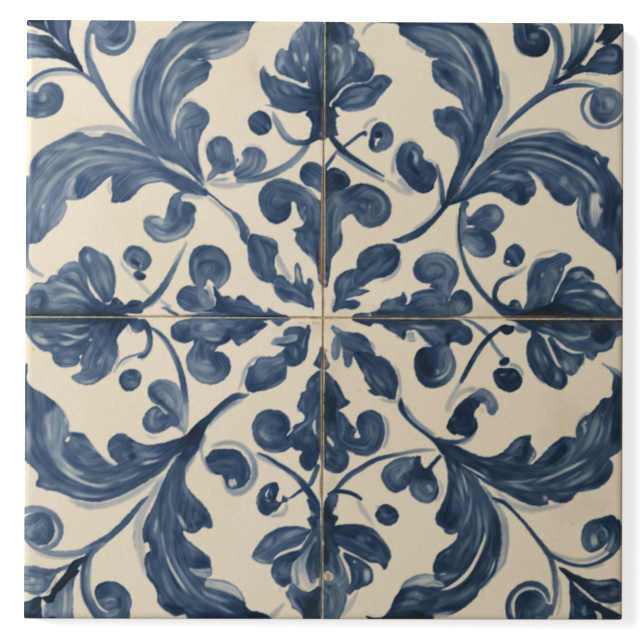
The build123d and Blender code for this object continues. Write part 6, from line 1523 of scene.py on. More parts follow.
    # third lobe
    dark([(-53.2, -31, 0.8, 0.84), (-51.5, -30.6, 0.9, 0.86), (-50.4, -31.8, 0.8, 0.84),
          (-52.4, -33.5, 1.0, 0.78), (-51.6, -35.5, 0.9, 0.8), (-49.5, -36.5, 0.8, 0.86)])
    dark([(-49.6, -34.2, 0.7, 0.92), (-48.6, -34.8, 0.8, 0.94), (-48, -35.8, 0.5, 0.86)])
    light([(-49.2, -31.2, 0.4, 0.6), (-47.5, -32.2, 0.4, 0.6), (-45.5, -32.8, 0.35, 0.64)])
    light([(-47.4, -33.6, 0.5, 0.54), (-45.5, -34.3, 0.6, 0.5), (-43, -34.4, 0.5, 0.56),
           (-40.5, -33.7, 0.3, 0.64)])
    light([(-47, -37, 0.25, 0.3), (-45, -36.4, 0.4, 0.2), (-43, -36, 0.36, 0.26),
           (-41, -35.2, 0.22, 0.4)])
    dark([(-48.8, -37.4, 0.4, 0.88), (-46, -37.7, 0.5, 0.86), (-43.5, -37, 0.4, 0.88),
          (-41, -35.9, 0.35, 0.92)])
    dark([(-44, -32.3, 0.35, 0.84), (-41, -32.2, 0.4, 0.86), (-38.5, -31.6, 0.5, 0.9),
          (-36, -30.8, 0.6, 1.0), (-33.8, -29.9, 0.6, 1.04)])
    light([(-33.9, -31.9, 0.1, 0.3), (-35.2, -33, 0.16, 0.14), (-36.6, -34.1, 0.16, 0.22),
           (-37.6, -34.6, 0.16, 0.12), (-38.7, -35.9, 0.22, 0.06), (-39.5, -37.4, 0.24, 0.04),
           (-40.2, -38.9, 0.3, 0.02), (-41.2, -40.2, 0.25, 0.04)])


def sw_lower_leaf():
    wash([(-40.4, -39.3, 0.4, 0.36), (-41.6, -41, 0.6, 0.4), (-43, -43.5, 0.8, 0.34),
          (-44.8, -46.6, 0.95, 0.26), (-46.4, -49.6, 1.1, 0.24), (-47.1, -53, 1.2, 0.26),
          (-46.9, -56.5, 1.4, 0.24), (-46.2, -59.4, 1.0, 0.22), (-45.8, -62.4, 0.6, 0.25),
          (-45.2, -65.2, 0.3, 0.3)])
    wash([(-47.9, -53.5, 0.2, 0.4), (-48.1, -56, 0.2, 0.4)])
    body([(-33, -28.8), (-30.6, -28.4), (-30.3, -30), (-30.8, -31.5), (-32, -33.4), (-33.5, -35.3),
          (-34.6, -37), (-35, -38.3), (-35.3, -39.8), (-35, -41.6), (-34.4, -42.9), (-33.1, -44.4),
          (-31.5, -46), (-30, -47.6), (-28.8, -49.6), (-28.2, -51.4), (-28.1, -52.5), (-28.8, -52.9),
          (-30.3, -52.6), (-31, -52.9), (-32.1, -53.9), (-33.3, -54.2), (-34.9, -53.9), (-35.6, -53.6),
          (-35.5, -54.6), (-34.9, -55.5), (-33.1, -57), (-31.3, -58.3), (-29.7, -59.6), (-28.7, -60.8),
          (-28.6, -62.1), (-28.3, -64.2), (-28.8, -65), (-29.8, -65.6), (-27.7, -65.8), (-25.6, -66.1),
          (-23.6, -66.8), (-22, -67.9), (-20.8, -69.4), (-20, -71.2), (-19.6, -72.6), (-18.7, -73.6),
          (-16.9, -74), (-15.1, -74.4), (-13.9, -75.1), (-13.2, -75.7), (-13.8, -77), (-34.3, -77),
          (-34.6, -75.6), (-35.2, -74.7), (-36.2, -75), (-37.6, -75.2), (-38.8, -74.5), (-40.1, -73.8),
          (-41.1, -72.9), (-42.1, -71.4), (-42.1, -70.1), (-42.4, -68.8), (-42.9, -67.5), (-43.9, -66.4),
          (-44.7, -65.4), (-45.1, -63.7), (-45.5, -61.4), (-45.1, -59.6), (-44, -58.6), (-44.2, -57.5),
          (-44.6, -56.4), (-45.3, -56.7), (-45.8, -55.7), (-46, -53.9), (-45.8, -52.4), (-44.9, -50.3),
          (-43.7, -48), (-42.6, -45.7), (-41.9, -43.7), (-41, -41.6), (-40, -39.6), (-38.8, -37),
          (-36.6, -34.2), (-34.5, -31.5)],
         [(-32, -30, 0.98), (-37, -38, 0.84), (-39.5, -47, 0.78), (-40.3, -56, 0.78), (-38.5, -64, 0.76),
          (-34, -70, 0.8), (-27, -73.5, 0.84), (-16, -75.3, 1.1)])
    # outer lobe
    dark([(-40.1, -40, 0.5, 0.92), (-41, -44.5, 0.5, 0.92), (-41.5, -49, 0.5, 0.88),
          (-41.3, -53, 0.35, 0.84), (-40.6, -56.8, 0.3, 0.82)])
    dark([(-44.8, -52.6, 0.5, 0.78), (-44.4, -54.8, 0.5, 0.84), (-43.2, -56.6, 0.8, 0.88),
          (-42.7, -59, 0.8, 0.9), (-43.2, -61.5, 1.0, 0.82), (-42.6, -64, 0.9, 0.82),
          (-41.3, -67, 0.9, 0.86), (-40.4, -69.6, 0.7, 0.86)])
    light([(-43.6, -49.6, 0.3, 0.68), (-44.6, -52, 0.3, 0.68)])
    light([(-42.3, -49.8, 0.25, 0.5), (-42.5, -51.8, 0.4, 0.36), (-42.8, -53.8, 0.35, 0.4),
           (-42.8, -55, 0.2, 0.6)])
    light([(-41.2, -53, 0.2, 0.5), (-40.9, -55, 0.35, 0.44), (-40.5, -57.4, 0.35, 0.42),
           (-39.9, -59.4, 0.2, 0.5)])
    light([(-44.4, -60.8, 0.3, 0.66), (-44.2, -63.5, 0.35, 0.64), (-42.9, -66, 0.3, 0.68)])
    light([(-41.2, -62.3, 0.3, 0.66), (-40.3, -65.6, 0.5, 0.56), (-38.9, -68.6, 0.6, 0.5),
           (-37.2, -71, 0.5, 0.58)])
    dark([(-39.6, -61.8, 0.4, 0.86), (-38.6, -64.6, 0.4, 0.88), (-37.2, -67.2, 0.4, 0.88),
          (-35.6, -69.6, 0.4, 0.86)])
    light([(-41.6, -69.6, 0.25, 0.62), (-41.3, -71, 0.3, 0.64)])
    dark([(-41.4, -72, 0.5, 0.92), (-39.8, -72.6, 0.8, 1.0), (-37.6, -73.4, 1.1, 1.06),
          (-35.6, -73.6, 0.8, 1.02), (-34.6, -74.2, 0.6, 1.02)])
    dark([(-37, -70.3, 0.5, 0.78), (-35.4, -72, 0.5, 0.86)])
    # long pale line
    light([(-40.6, -57.3, 0.12, 0.4), (-39.9, -59.6, 0.28, 0.14), (-39.2, -61.6, 0.3, 0.06),
           (-38.2, -63.8, 0.3, 0.02), (-36.9, -65.9, 0.32, 0.02), (-35.6, -67.8, 0.34, 0.02),
           (-34.3, -69.4, 0.22, 0.1), (-33.1, -70.5, 0.12, 0.4)])
    light([(-39.2, -55, 0.25, 0.66), (-38.8, -58.5, 0.35, 0.6), (-37.6, -61.5, 0.4, 0.54),
           (-36.2, -64, 0.45, 0.5), (-34.6, -66.6, 0.5, 0.5), (-32.8, -68.8, 0.5, 0.52),
           (-30.6, -70.6, 0.4, 0.54), (-28, -71.9, 0.3, 0.6)])
    # bands to the third lobe
    dark([(-36, -36.5, 0.6, 0.84), (-36.6, -39.5, 0.5, 0.86), (-36.7, -42.5, 0.5, 0.84),
          (-35.8, -45.5, 0.4, 0.84), (-34.5, -48.5, 0.5, 0.84)])
    light([(-38.6, -38.4, 0.4, 0.7), (-38.6, -42, 0.5, 0.7), (-39, -45.5, 0.4, 0.64),
           (-38.5, -48.5, 0.35, 0.62), (-38, -52, 0.25, 0.66)])
    light([(-35.1, -39.4, 0.3, 0.5), (-35.6, -41.4, 0.4, 0.56), (-34.9, -43.6, 0.5, 0.56),
           (-33.3, -46, 0.5, 0.6), (-31.8, -47.9, 0.4, 0.68)])
    dark([(-33, -47.6, 0.5, 0.86), (-31, -49, 0.9, 0.88), (-29.6, -51, 0.9, 0.9),
          (-31.6, -51.7, 0.8, 0.88), (-33.6, -52.3, 0.6, 0.86), (-34.6, -50.3, 0.5, 0.82)])
    light([(-33.9, -50, 0.3, 0.7), (-32.8, -52.8, 0.3, 0.66), (-33.6, -53.6, 0.35, 0.6)])
    light([(-37.4, -48.6, 0.2, 0.4), (-36.7, -50, 0.42, 0.26), (-35.9, -51.5, 0.48, 0.22),
           (-35.2, -52.8, 0.4, 0.26), (-35.4, -53.8, 0.25, 0.2)])
    dark([(-38.2, -52.6, 0.6, 0.86), (-37.2, -55, 0.7, 0.88), (-35.8, -57.4, 0.6, 0.84)])
    # second lobe
    light([(-35.4, -56, 0.35, 0.64), (-33.5, -57.8, 0.5, 0.6), (-31.7, -59, 0.4, 0.64)])
    dark([(-34.5, -60, 0.7, 0.8), (-32.5, -61.3, 1.0, 0.94), (-30.3, -61.3, 1.2, 0.98),
          (-29.4, -62, 0.6, 0.96), (-32.6, -62.8, 0.5, 0.96), (-34.5, -62.3, 0.4, 0.88)])
    body([(-34, -63.1), (-32, -63.3), (-30, -63.2), (-28.7, -62.9), (-28.3, -64.3), (-28.9, -65),
          (-30, -65.5), (-31.8, -65), (-33.1, -64.2)],
         [(-33, -63.6, 0.42), (-30.5, -64.1, 0.3), (-29, -64, 0.5)], pool=0, soft=0.5)
    dark([(-36.8, -59.6, 0.35, 0.8), (-35.6, -62, 0.35, 0.78), (-34, -64.6, 0.4, 0.7),
          (-31.8, -66.6, 0.4, 0.7)])
    # first lobe
    body([(-29.6, -65.8), (-27, -66.1), (-25, -66.4), (-23.4, -67), (-21.9, -68.2), (-20.9, -69.6),
          (-20.2, -71.4), (-21.5, -70.8), (-23.3, -69.8), (-25.5, -69), (-27.8, -68.3), (-30, -67.6)],
         [(-29.5, -66.6, 0.4), (-26, -67.2, 0.28), (-23, -68.4, 0.24),
          (-20.7, -70.8, 0.2)], pool=0, soft=0.5)
    dark([(-29.2, -66, 0.2, 0.5), (-26, -66.3, 0.2, 0.4), (-23.3, -67.1, 0.2, 0.42),
          (-21.7, -68.5, 0.2, 0.42), (-20.6, -70.3, 0.2, 0.45), (-20, -72, 0.25, 0.6)])
    dark([(-30.4, -68, 0.35, 0.7), (-27.5, -68.8, 0.4, 0.72), (-25, -69.6, 0.45, 0.76),
          (-22.8, -70.6, 0.7, 0.84), (-21, -72, 0.8, 0.86), (-20.4, -73, 0.5, 0.9)])
    light([(-31.8, -67.6, 0.35, 0.5), (-29.6, -69.6, 0.45, 0.46), (-27, -70.6, 0.55, 0.46),
           (-24.6, -71.4, 0.5, 0.54), (-23, -72.2, 0.3, 0.62)])
    light([(-28, -72, 0.3, 0.56), (-25.8, -73, 0.4, 0.54), (-24, -74, 0.35, 0.54),
           (-22, -74.7, 0.25, 0.62)])
    dark([(-33.6, -71.3, 0.6, 0.88), (-30.8, -72.6, 0.7, 0.92), (-28, -74, 0.8, 1.0),
          (-25, -75, 0.6, 1.06)])
    dark([(-34, -74.4, 0.7, 1.06), (-31, -75, 1.1, 1.1), (-27, -75.7, 0.9, 1.12), (-22, -76, 0.8, 1.1),
          (-19.5, -75, 1.0, 1.12), (-17, -75.2, 0.8, 1.14), (-14.6, -75.8, 0.5, 1.1)])
    dark([(-20.8, -73.8, 0.4, 0.98), (-19.6, -73.8, 0.5, 1.08), (-18.4, -74.3, 0.5, 1.1)])
    wash([(-13.6, -75.8, 0.4, 0.36), (-12.4, -74.6, 0.75, 0.28), (-11.2, -73.3, 0.55, 0.26),
          (-9.8, -71.6, 0.2, 0.25)])


def sw_hub():
    # stem from the bud beside the centre down to the joint of the leaves
    wash([(-20.2, -20.3, 0.25, 0.3), (-23.4, -22.1, 0.3, 0.32), (-26.4, -24.2, 0.35, 0.36),
          (-28.6, -26.1, 0.4, 0.36), (-29.3, -28, 0.3, 0.3)])
    line([(-19.3, -19, 0.25, 0.6), (-20.5, -19.4, 0.6, 0.62), (-22.2, -19.4, 0.85, 0.8),
          (-24, -20.4, 0.9, 0.82), (-26.5, -22.4, 0.85, 0.88), (-29, -24.9, 0.85, 0.9),
          (-30.9, -26.8, 1.3, 0.92), (-32.3, -28.7, 1.7, 0.98), (-33.3, -30.4, 1.7, 0.96)])
    light([(-20.6, -20, 0.3, 0.56), (-22.4, -20.9, 0.35, 0.62), (-25, -22.4, 0.3, 0.62),
           (-27.3, -24.4, 0.25, 0.6)])
    dark([(-22, -18.9, 0.3, 0.92), (-24.5, -20.2, 0.35, 0.92), (-27.5, -22.8, 0.35, 0.96),
          (-30, -25.4, 0.5, 0.98), (-32, -27.8, 0.9, 1.06), (-33.4, -29.4, 1.0, 1.08),
          (-34.6, -30.3, 0.6, 1.06)])
    # outer stem from the flower, fading as it nears the hub
    line([(-44.4, -1.9, 0.3, 0.6), (-42.4, -3.2, 0.5, 0.74), (-40.6, -4.9, 0.6, 0.74),
          (-39.3, -6.8, 0.65, 0.74), (-38.1, -9, 0.7, 0.76), (-37.1, -11.4, 0.75, 0.8),
          (-36.2, -14.4, 0.8, 0.82), (-35.6, -17.5, 0.8, 0.8), (-35.2, -20.3, 0.75, 0.66),
          (-35.1, -22.4, 0.7, 0.44), (-35.1, -25, 0.7, 0.34), (-35.2, -27.4, 0.6, 0.34),
          (-35.5, -29, 0.3, 0.4)])
    light([(-42.6, -3.7, 0.2, 0.5), (-40.6, -5.7, 0.3, 0.52), (-39, -8.2, 0.3, 0.54),
           (-37.7, -11, 0.25, 0.6), (-36.9, -13.6, 0.2, 0.66)])
    light([(-35.5, -21.5, 0.3, 0.36), (-35.4, -24.5, 0.3, 0.28), (-35.2, -27, 0.25, 0.26)])
    # pale edges under the hub
    wash([(-30.2, -28.4, 0.3, 0.4), (-30.4, -30.2, 0.5, 0.42), (-31.2, -32.2, 0.5, 0.42),
          (-31, -34.2, 0.4, 0.36), (-30.4, -36.2, 0.4, 0.38), (-29.2, -38.2, 0.35, 0.4),
          (-27.6, -39.4, 0.3, 0.36)])
    wash([(-32.6, -34.3, 0.3, 0.42), (-33.7, -36, 0.45, 0.44), (-34.6, -37.4, 0.45, 0.4),
          (-35.1, -39.2, 0.4, 0.36)])
    # bud beside the centre
    wash([(-22, -18.3, 0.2, 0.3), (-21, -16, 0.35, 0.32), (-20.4, -13.4, 0.45, 0.34),
          (-19.6, -11.8, 0.4, 0.36), (-18, -10, 0.35, 0.36), (-16, -9.1, 0.3, 0.3)])
    body([(-9.5, -11.2), (-9.5, -13.4), (-9.7, -14.6), (-10.8, -15.9), (-12.3, -16.9), (-14.4, -17.7),
          (-16.4, -18.1), (-18.2, -18.5), (-19.5, -18.1), (-20.1, -16.7), (-20, -14.9), (-19.5, -13.4),
          (-19.2, -12), (-17.8, -11.3), (-17.2, -10), (-15.6, -9.3), (-13.1, -9.3), (-11.8, -8.6),
          (-10.3, -7.5), (-9, -8)],
         [(-19, -17, 0.92), (-16, -12.5, 0.68), (-11, -10, 0.7)])
    light([(-17.6, -11.8, 0.4, 0.58), (-16, -10.3, 0.5, 0.58), (-13.5, -10.2, 0.4, 0.62),
           (-11.4, -9.4, 0.5, 0.6)])
    light([(-17.8, -15.4, 0.5, 0.62), (-16.8, -13.6, 0.6, 0.6), (-15, -12, 0.7, 0.62),
           (-12.8, -11.2, 0.5, 0.66)])
    dark([(-19.3, -17.3, 0.7, 1.0), (-17, -17, 0.7, 0.92), (-14.6, -16.4, 0.9, 0.92),
          (-12.4, -15, 1.0, 0.92), (-10.8, -13.2, 0.8, 0.9), (-10.2, -11.4, 0.5, 0.84)])
    dark([(-19, -14.6, 0.4, 0.84), (-18.6, -12.6, 0.4, 0.8)])
    light([(-11, -15.3, 0.3, 0.6), (-12.8, -16.5, 0.3, 0.62), (-15, -17.4, 0.25, 0.66)])
    dark([(-14.6, -13.6, 0.2, 0.8), (-13, -12.6, 0.2, 0.8), (-11.2, -12.2, 0.2, 0.8)])
    body([(-4.1, -1.2), (-3.6, -2.3), (-3.7, -3.9), (-4.2, -5.7), (-4.2, -7.7), (-4.6, -9.3),
          (-5.6, -10.8), (-6.9, -11.7), (-8.5, -11.9), (-9.7, -11.4), (-10.2, -9.6), (-10.4, -7.6),
          (-9.9, -6.9), (-8, -6.2), (-6, -5.6), (-5.2, -3.6), (-4.6, -1.8)],
         [(-4.2, -2, 0.84), (-5.5, -7, 0.84), (-8, -10.5, 0.8), (-9.5, -8, 0.8)])
    body([(-10.4, -4.2), (-10, -3), (-8.8, -2.1), (-7, -1.9), (-5.3, -2), (-4.4, -2.6), (-4.2, -5),
          (-5, -7.5), (-7.4, -6.6), (-7.4, -5), (-8, -4)],
         [(-9.5, -3.2, 0.82), (-6, -3, 0.86), (-5.2, -6, 0.86)])
    body([(-10.5, -4), (-10.4, -2.9), (-9.2, -1.9), (-7.7, -1.7), (-5.7, -1.8), (-5, -2.4), (-5.8, -3.4),
          (-7, -3.7), (-9, -3.5)],
         [(-10, -3.3, 0.84), (-8, -2.6, 0.72), (-5.6, -2.4, 0.84)])
    body([(-13.6, -6.2), (-13.3, -5.2), (-12.4, -4.6), (-11, -4.3), (-9.2, -3.9), (-7.2, -3.8),
          (-6.6, -4.6), (-7, -5.6), (-9.2, -5.8), (-10.7, -6), (-12.3, -6.5)],
         [(-13, -5.6, 0.42), (-10.4, -5, 0.5), (-8, -4.6, 0.32)], pool=0, soft=0.5)
    line([(-12.1, -6.3, 0.2, 0.8), (-10.6, -6.4, 0.4, 0.9), (-8.6, -6.2, 0.5, 0.94),
          (-6.8, -5.6, 0.5, 0.94), (-6, -4.3, 0.6, 0.92), (-5.4, -3, 0.5, 0.92)])
    dark([(-10, -7.3, 0.4, 0.92), (-9.2, -8.6, 0.5, 0.9), (-8.8, -10.3, 0.5, 0.88)])
    light([(-7.5, -6.8, 0.25, 0.5), (-7.3, -8.3, 0.28, 0.46), (-7.4, -10, 0.25, 0.56)])
    light([(-4.7, -3.5, 0.14, 0.5), (-5.2, -5.4, 0.16, 0.44), (-5.7, -7.6, 0.16, 0.42)])
    dark([(-4.2, -3.2, 0.3, 0.94), (-4.7, -6, 0.3, 0.92), (-5, -8.4, 0.4, 0.92),
          (-6.4, -10.6, 0.4, 0.92)])


def sw_left_flower():
    # upper petals along the joint, then the big petal, the round lobe and the pale left one
    body([(-77, 0.5), (-77, -2.2), (-76, -2.9), (-75.2, -4.1), (-74.4, -5.2), (-73.4, -6.4),
          (-72.1, -7.6), (-70.8, -8.3), (-69.6, -8.5), (-69, -9.3), (-68.8, -10.3), (-68, -11.5),
          (-66.7, -12.2), (-65, -12.3), (-63.4, -11.9), (-62.1, -11), (-61.6, -9.9), (-60.5, -7),
          (-59, -4), (-58, -2), (-50, -1.2), (-49, 0.5)],
         [(-76, -1.5, 0.7), (-71, -2, 0.7), (-65, -1.5, 0.68), (-58, -1, 0.9), (-50, -0.5, 0.98)])
    dark([(-74.5, -0.3, 0.4, 0.78), (-70, -0.6, 0.4, 0.84), (-66, -0.5, 0.4, 0.84),
          (-62, -0.7, 0.45, 0.88), (-58, -0.9, 0.8, 1.02), (-54, -1, 1.0, 1.08), (-51.5, -0.6, 0.6, 1.0)])
    light([(-69.6, -1.2, 0.2, 0.5), (-67.6, -2, 0.4, 0.46), (-65, -2.2, 0.5, 0.5),
           (-62.4, -1.8, 0.35, 0.42), (-60.2, -1.5, 0.25, 0.3), (-58.4, -0.9, 0.18, 0.4)])
    light([(-66, -2.8, 0.35, 0.56), (-63, -2.8, 0.35, 0.6)])
    dark([(-68.6, -2.8, 0.4, 0.74), (-66.6, -3.3, 0.3, 0.76), (-63.5, -3.6, 0.35, 0.76),
          (-61.5, -3.1, 0.4, 0.78), (-60, -2.5, 0.5, 0.86)])
    light([(-67.8, -3.2, 0.14, 0.1), (-66.6, -3.8, 0.26, 0.02), (-65, -4.1, 0.26, 0.06),
           (-63.2, -4.6, 0.42, 0.18), (-61.4, -4.6, 0.5, 0.24), (-60.2, -3.8, 0.45, 0.2),
           (-59.1, -3.2, 0.3, 0.16)])
    line([(-68.6, -3.8, 0.25, 0.68), (-67.4, -4.7, 0.4, 0.74), (-65.8, -4.8, 0.35, 0.78),
          (-64.2, -4.9, 0.18, 0.8)])
    light([(-67.6, -5.9, 0.4, 0.34), (-65.6, -6.3, 0.5, 0.3), (-63.6, -5.8, 0.4, 0.3),
           (-62.2, -5.3, 0.25, 0.36)])
    dark([(-68.6, -5.2, 0.4, 0.7), (-67.2, -6.9, 0.4, 0.74), (-65, -7.2, 0.35, 0.76),
          (-62.6, -6.4, 0.35, 0.8), (-60.8, -5.2, 0.5, 0.84), (-59.4, -4.6, 0.35, 0.82)])
    dark([(-60.3, -5.6, 0.6, 0.86), (-61.1, -7.4, 0.6, 0.84), (-62.2, -9, 0.6, 0.8),
          (-63.3, -9.8, 0.5, 0.74)])
    dark([(-68.3, -9, 0.4, 0.74), (-67.7, -10.3, 0.5, 0.78), (-66.5, -8.6, 0.5, 0.68)])
    light([(-66.6, -10.4, 0.6, 0.5), (-65, -10.7, 0.6, 0.46), (-63.6, -10.3, 0.4, 0.52)])
    light([(-65, -8.8, 0.6, 0.58), (-63.6, -8.2, 0.6, 0.58)])
    dark([(-67.5, -11.4, 0.35, 0.6), (-65, -11.9, 0.3, 0.56), (-62.6, -10.9, 0.35, 0.62)])
    light([(-74.3, -3, 0.3, 0.5), (-73.6, -4.2, 0.7, 0.34), (-72.2, -5.4, 0.8, 0.3),
           (-70.4, -6, 0.7, 0.28), (-69.2, -6.2, 0.4, 0.3)])
    light([(-73, -3.5, 0.35, 0.44), (-71, -4.6, 0.4, 0.5)])
    dark([(-75.8, -3.3, 0.3, 0.6), (-74.4, -5, 0.3, 0.66), (-72.8, -6.7, 0.3, 0.68),
          (-71, -7.8, 0.4, 0.72), (-69.8, -8, 0.4, 0.74)])
    dark([(-75.4, -1.6, 0.6, 0.7), (-72.8, -2.2, 0.6, 0.72), (-70.6, -3.2, 0.7, 0.7),
          (-69.2, -4.5, 0.5, 0.7)])
    light([(-71, -2.3, 0.15, 0.4), (-70.7, -2.7, 0.15, 0.35)])
    light([(-67.4, -7.4, 0.5, 0.5), (-68.6, -8, 0.5, 0.54)])
    wash([(-53.4, -14, 0.25, 0.28), (-52.9, -12, 0.3, 0.3), (-52.4, -10, 0.25, 0.35),
          (-52.1, -7.4, 0.15, 0.4)])
    body([(-59.4, -2), (-59.3, -4.5), (-60, -6), (-61, -8.2), (-61.9, -10.2), (-61.8, -11.6),
          (-61.4, -12.2), (-61.9, -13.3), (-63.2, -14), (-64.3, -14.6), (-63.6, -15.5), (-62.1, -16.3),
          (-60.3, -16.7), (-58.5, -16.5), (-56.7, -15.4), (-55, -14.2), (-54, -13.3), (-53.5, -11.8),
          (-52.7, -10), (-52.4, -8.2), (-52.4, -6.7), (-52.6, -5.2), (-52, -3.9), (-51.1, -2.8),
          (-50, -1.6), (-49.5, -0.4), (-52, -0.6), (-56, -0.9)],
         [(-53, -1.5, 0.94), (-55.5, -6, 0.74), (-57.5, -10, 0.66), (-59, -14, 0.66), (-63, -14.8, 0.64)])
    light([(-58.6, -5.6, 0.4, 0.56), (-59.6, -8, 0.5, 0.54), (-60.6, -10.4, 0.5, 0.52),
           (-60, -12, 0.4, 0.6)])
    light([(-57.8, -11.7, 0.4, 0.5), (-57, -10.7, 0.4, 0.4), (-56.3, -9.6, 0.3, 0.54)])
    light([(-55, -8, 0.5, 0.58), (-54.4, -10, 0.6, 0.56), (-55, -12, 0.4, 0.62)])
    dark([(-57.6, -6.6, 0.6, 0.76), (-57, -8.4, 0.6, 0.78), (-58.6, -9.6, 0.5, 0.76)])
    dark([(-53.8, -3, 0.7, 0.84), (-53.6, -5, 0.5, 0.78), (-56.8, -3, 0.8, 0.8), (-55.8, -5, 0.5, 0.74)])
    dark([(-60.6, -13.2, 0.5, 0.74), (-59, -14.2, 0.6, 0.76), (-56.8, -13.7, 0.5, 0.76),
          (-55, -12.9, 0.4, 0.74)])
    light([(-62.8, -15.4, 0.3, 0.44), (-61, -16, 0.4, 0.34), (-59, -15.8, 0.35, 0.32),
           (-57.2, -15, 0.25, 0.4)])
    light([(-62, -10, 0.28, 0.02), (-61.6, -9.1, 0.2, 0.05)], strength=1.0)
    light([(-59.6, -5.6, 0.2, 0.08), (-59, -5, 0.22, 0.08)])
    light([(-55.2, -14.2, 0.2, 0.3), (-54, -13, 0.22, 0.3)])
    # curl to the right of it
    line([(-49.6, -0.2, 0.6, 0.98), (-48.4, -0.8, 1.3, 0.88), (-47.4, -1.8, 1.6, 0.74),
          (-46, -1.2, 1.2, 0.86), (-44.9, -2.4, 0.8, 0.94), (-44.4, -4.2, 0.7, 0.8),
          (-44.4, -6.2, 0.7, 0.74), (-45, -8, 0.7, 0.74), (-46, -9.3, 0.7, 0.8),
          (-47.2, -9.6, 0.3, 0.84)])
    light([(-49, -2, 0.3, 0.56), (-48.2, -2.9, 0.4, 0.54), (-47, -3.1, 0.35, 0.6)])
    light([(-45, -5, 0.2, 0.5), (-45, -7, 0.25, 0.48), (-46, -8.6, 0.28, 0.46), (-47, -8.9, 0.2, 0.46)])
    dark([(-44.3, -2.6, 0.3, 1.0), (-43.9, -5, 0.25, 0.86), (-44.2, -7.5, 0.3, 0.84),
          (-45.3, -9.3, 0.3, 0.86)])
    line([(-46.5, -8.6, 0.25, 0.56), (-48, -9.1, 0.3, 0.56), (-49.5, -9.5, 0.3, 0.6),
          (-51, -10.2, 0.28, 0.6), (-52, -11.3, 0.25, 0.56), (-52.6, -12.4, 0.15, 0.46)])
    wash([(-48.8, -10, 0.25, 0.2), (-50.4, -10.8, 0.3, 0.2), (-51.6, -12, 0.3, 0.18)])
    wash([(-45.6, -10, 0.2, 0.3), (-46.8, -10.5, 0.2, 0.25)])
    wash([(-50.2, -1.9, 0.3, 0.3), (-49.6, -3.2, 0.3, 0.16), (-48.8, -4, 0.2, 0.12)])
    # dot
    body([(-51.9, -14.5), (-50.9, -13.1), (-49.3, -12.7), (-47.5, -12.8), (-46.6, -13.7), (-46.4, -15.4),
          (-47.2, -17), (-48.7, -18.1), (-50.4, -18.2), (-51.6, -17.1), (-52, -15.8)],
         [(-50.5, -13.5, 0.78), (-50.5, -16.5, 0.74), (-48, -16.5, 0.68)])
    dark([(-50.3, -13.4, 0.4, 0.84), (-48.8, -13.2, 0.4, 0.88), (-47.6, -13.4, 0.3, 0.88)])
    light([(-50, -14.6, 0.3, 0.6), (-48.6, -14.6, 0.3, 0.56)])
    light([(-49.8, -15.9, 0.25, 0.58), (-48.3, -15.9, 0.25, 0.58)])
    light([(-47.4, -13.7, 0.15, 0.4), (-47, -14, 0.2, 0.28), (-47, -14.8, 0.15, 0.45)])


def sw_left_bud():
    wash([(-45.3, -29, 0.3, 0.16), (-43.8, -30.1, 0.35, 0.18), (-41.8, -29.7, 0.3, 0.14)])
    body([(-40, -24), (-41.6, -22.1), (-43.7, -20.9), (-44.6, -19.3), (-44.7, -17.7), (-44.2, -16.4),
          (-42.6, -15.4), (-40.6, -15.2), (-38.5, -15.8), (-37.2, -16.9), (-36.2, -18.7), (-35.9, -20.8),
          (-35.8, -22.6), (-35.5, -24.4), (-35.3, -27), (-35.5, -29), (-36.3, -28.4), (-37.4, -27.6),
          (-38.5, -27.2)],
         [(-44, -19, 0.76), (-41, -17.5, 0.56), (-38, -19.5, 0.5), (-38, -23, 0.56), (-36, -28, 0.44)])
    dark([(-43.4, -16.8, 0.4, 0.7), (-43.9, -18.4, 0.6, 0.82), (-42.8, -20, 0.6, 0.8),
          (-41, -21.4, 0.6, 0.84), (-39.4, -23, 0.6, 0.86), (-38, -24.2, 0.7, 0.88),
          (-37.2, -25, 0.4, 0.74)])
    dark([(-42, -20.7, 0.4, 0.98), (-41.5, -21, 0.4, 1.02)])
    dark([(-41.6, -17, 0.7, 0.64), (-39.8, -17.4, 0.6, 0.62), (-38.4, -19.4, 0.5, 0.6)])
    light([(-41.4, -18.5, 0.3, 0.42), (-39.8, -19.5, 0.3, 0.42), (-38.6, -21.2, 0.35, 0.44),
           (-37.9, -22.8, 0.3, 0.48)])
    light([(-37.3, -18.4, 0.4, 0.44), (-36.7, -20.8, 0.4, 0.4), (-36.5, -23.2, 0.3, 0.42)])
    light([(-41, -15.9, 0.3, 0.5), (-39, -16.3, 0.35, 0.52)])
    light([(-36.4, -25.4, 0.3, 0.36), (-35.9, -27.6, 0.3, 0.26)])
    body([(-40, -24), (-41.2, -23), (-42.6, -22), (-44.4, -22.8), (-45.7, -24.6), (-46.1, -26.2),
          (-45.5, -27.8), (-43.9, -28.9), (-41.9, -28.9), (-40.1, -28), (-38.6, -27.1), (-37.3, -27.4),
          (-36.8, -25.4), (-38.2, -24.2)],
         [(-45, -25.5, 0.7), (-42.5, -27.5, 0.7), (-40.5, -26.5, 0.74), (-38, -25.5, 0.76)])
    light([(-41.6, -22.9, 0.35, 0.42), (-43.2, -23.3, 0.5, 0.42), (-43.9, -25, 0.5, 0.48),
           (-43.7, -26.8, 0.4, 0.46), (-42.6, -27.6, 0.3, 0.54)])
    light([(-40.5, -23.4, 0.2, 0.4), (-41.8, -23.9, 0.3, 0.46), (-42.6, -25, 0.25, 0.52)])
    dark([(-42.2, -25.9, 0.4, 0.84), (-40.7, -24.9, 0.45, 0.86), (-39, -24.6, 0.5, 0.86)])
    dark([(-45.3, -25.4, 0.4, 0.76), (-44.9, -27.4, 0.4, 0.78), (-43, -28.5, 0.35, 0.78)])
    light([(-40.6, -27.2, 0.35, 0.64), (-38.6, -26.3, 0.35, 0.62)])


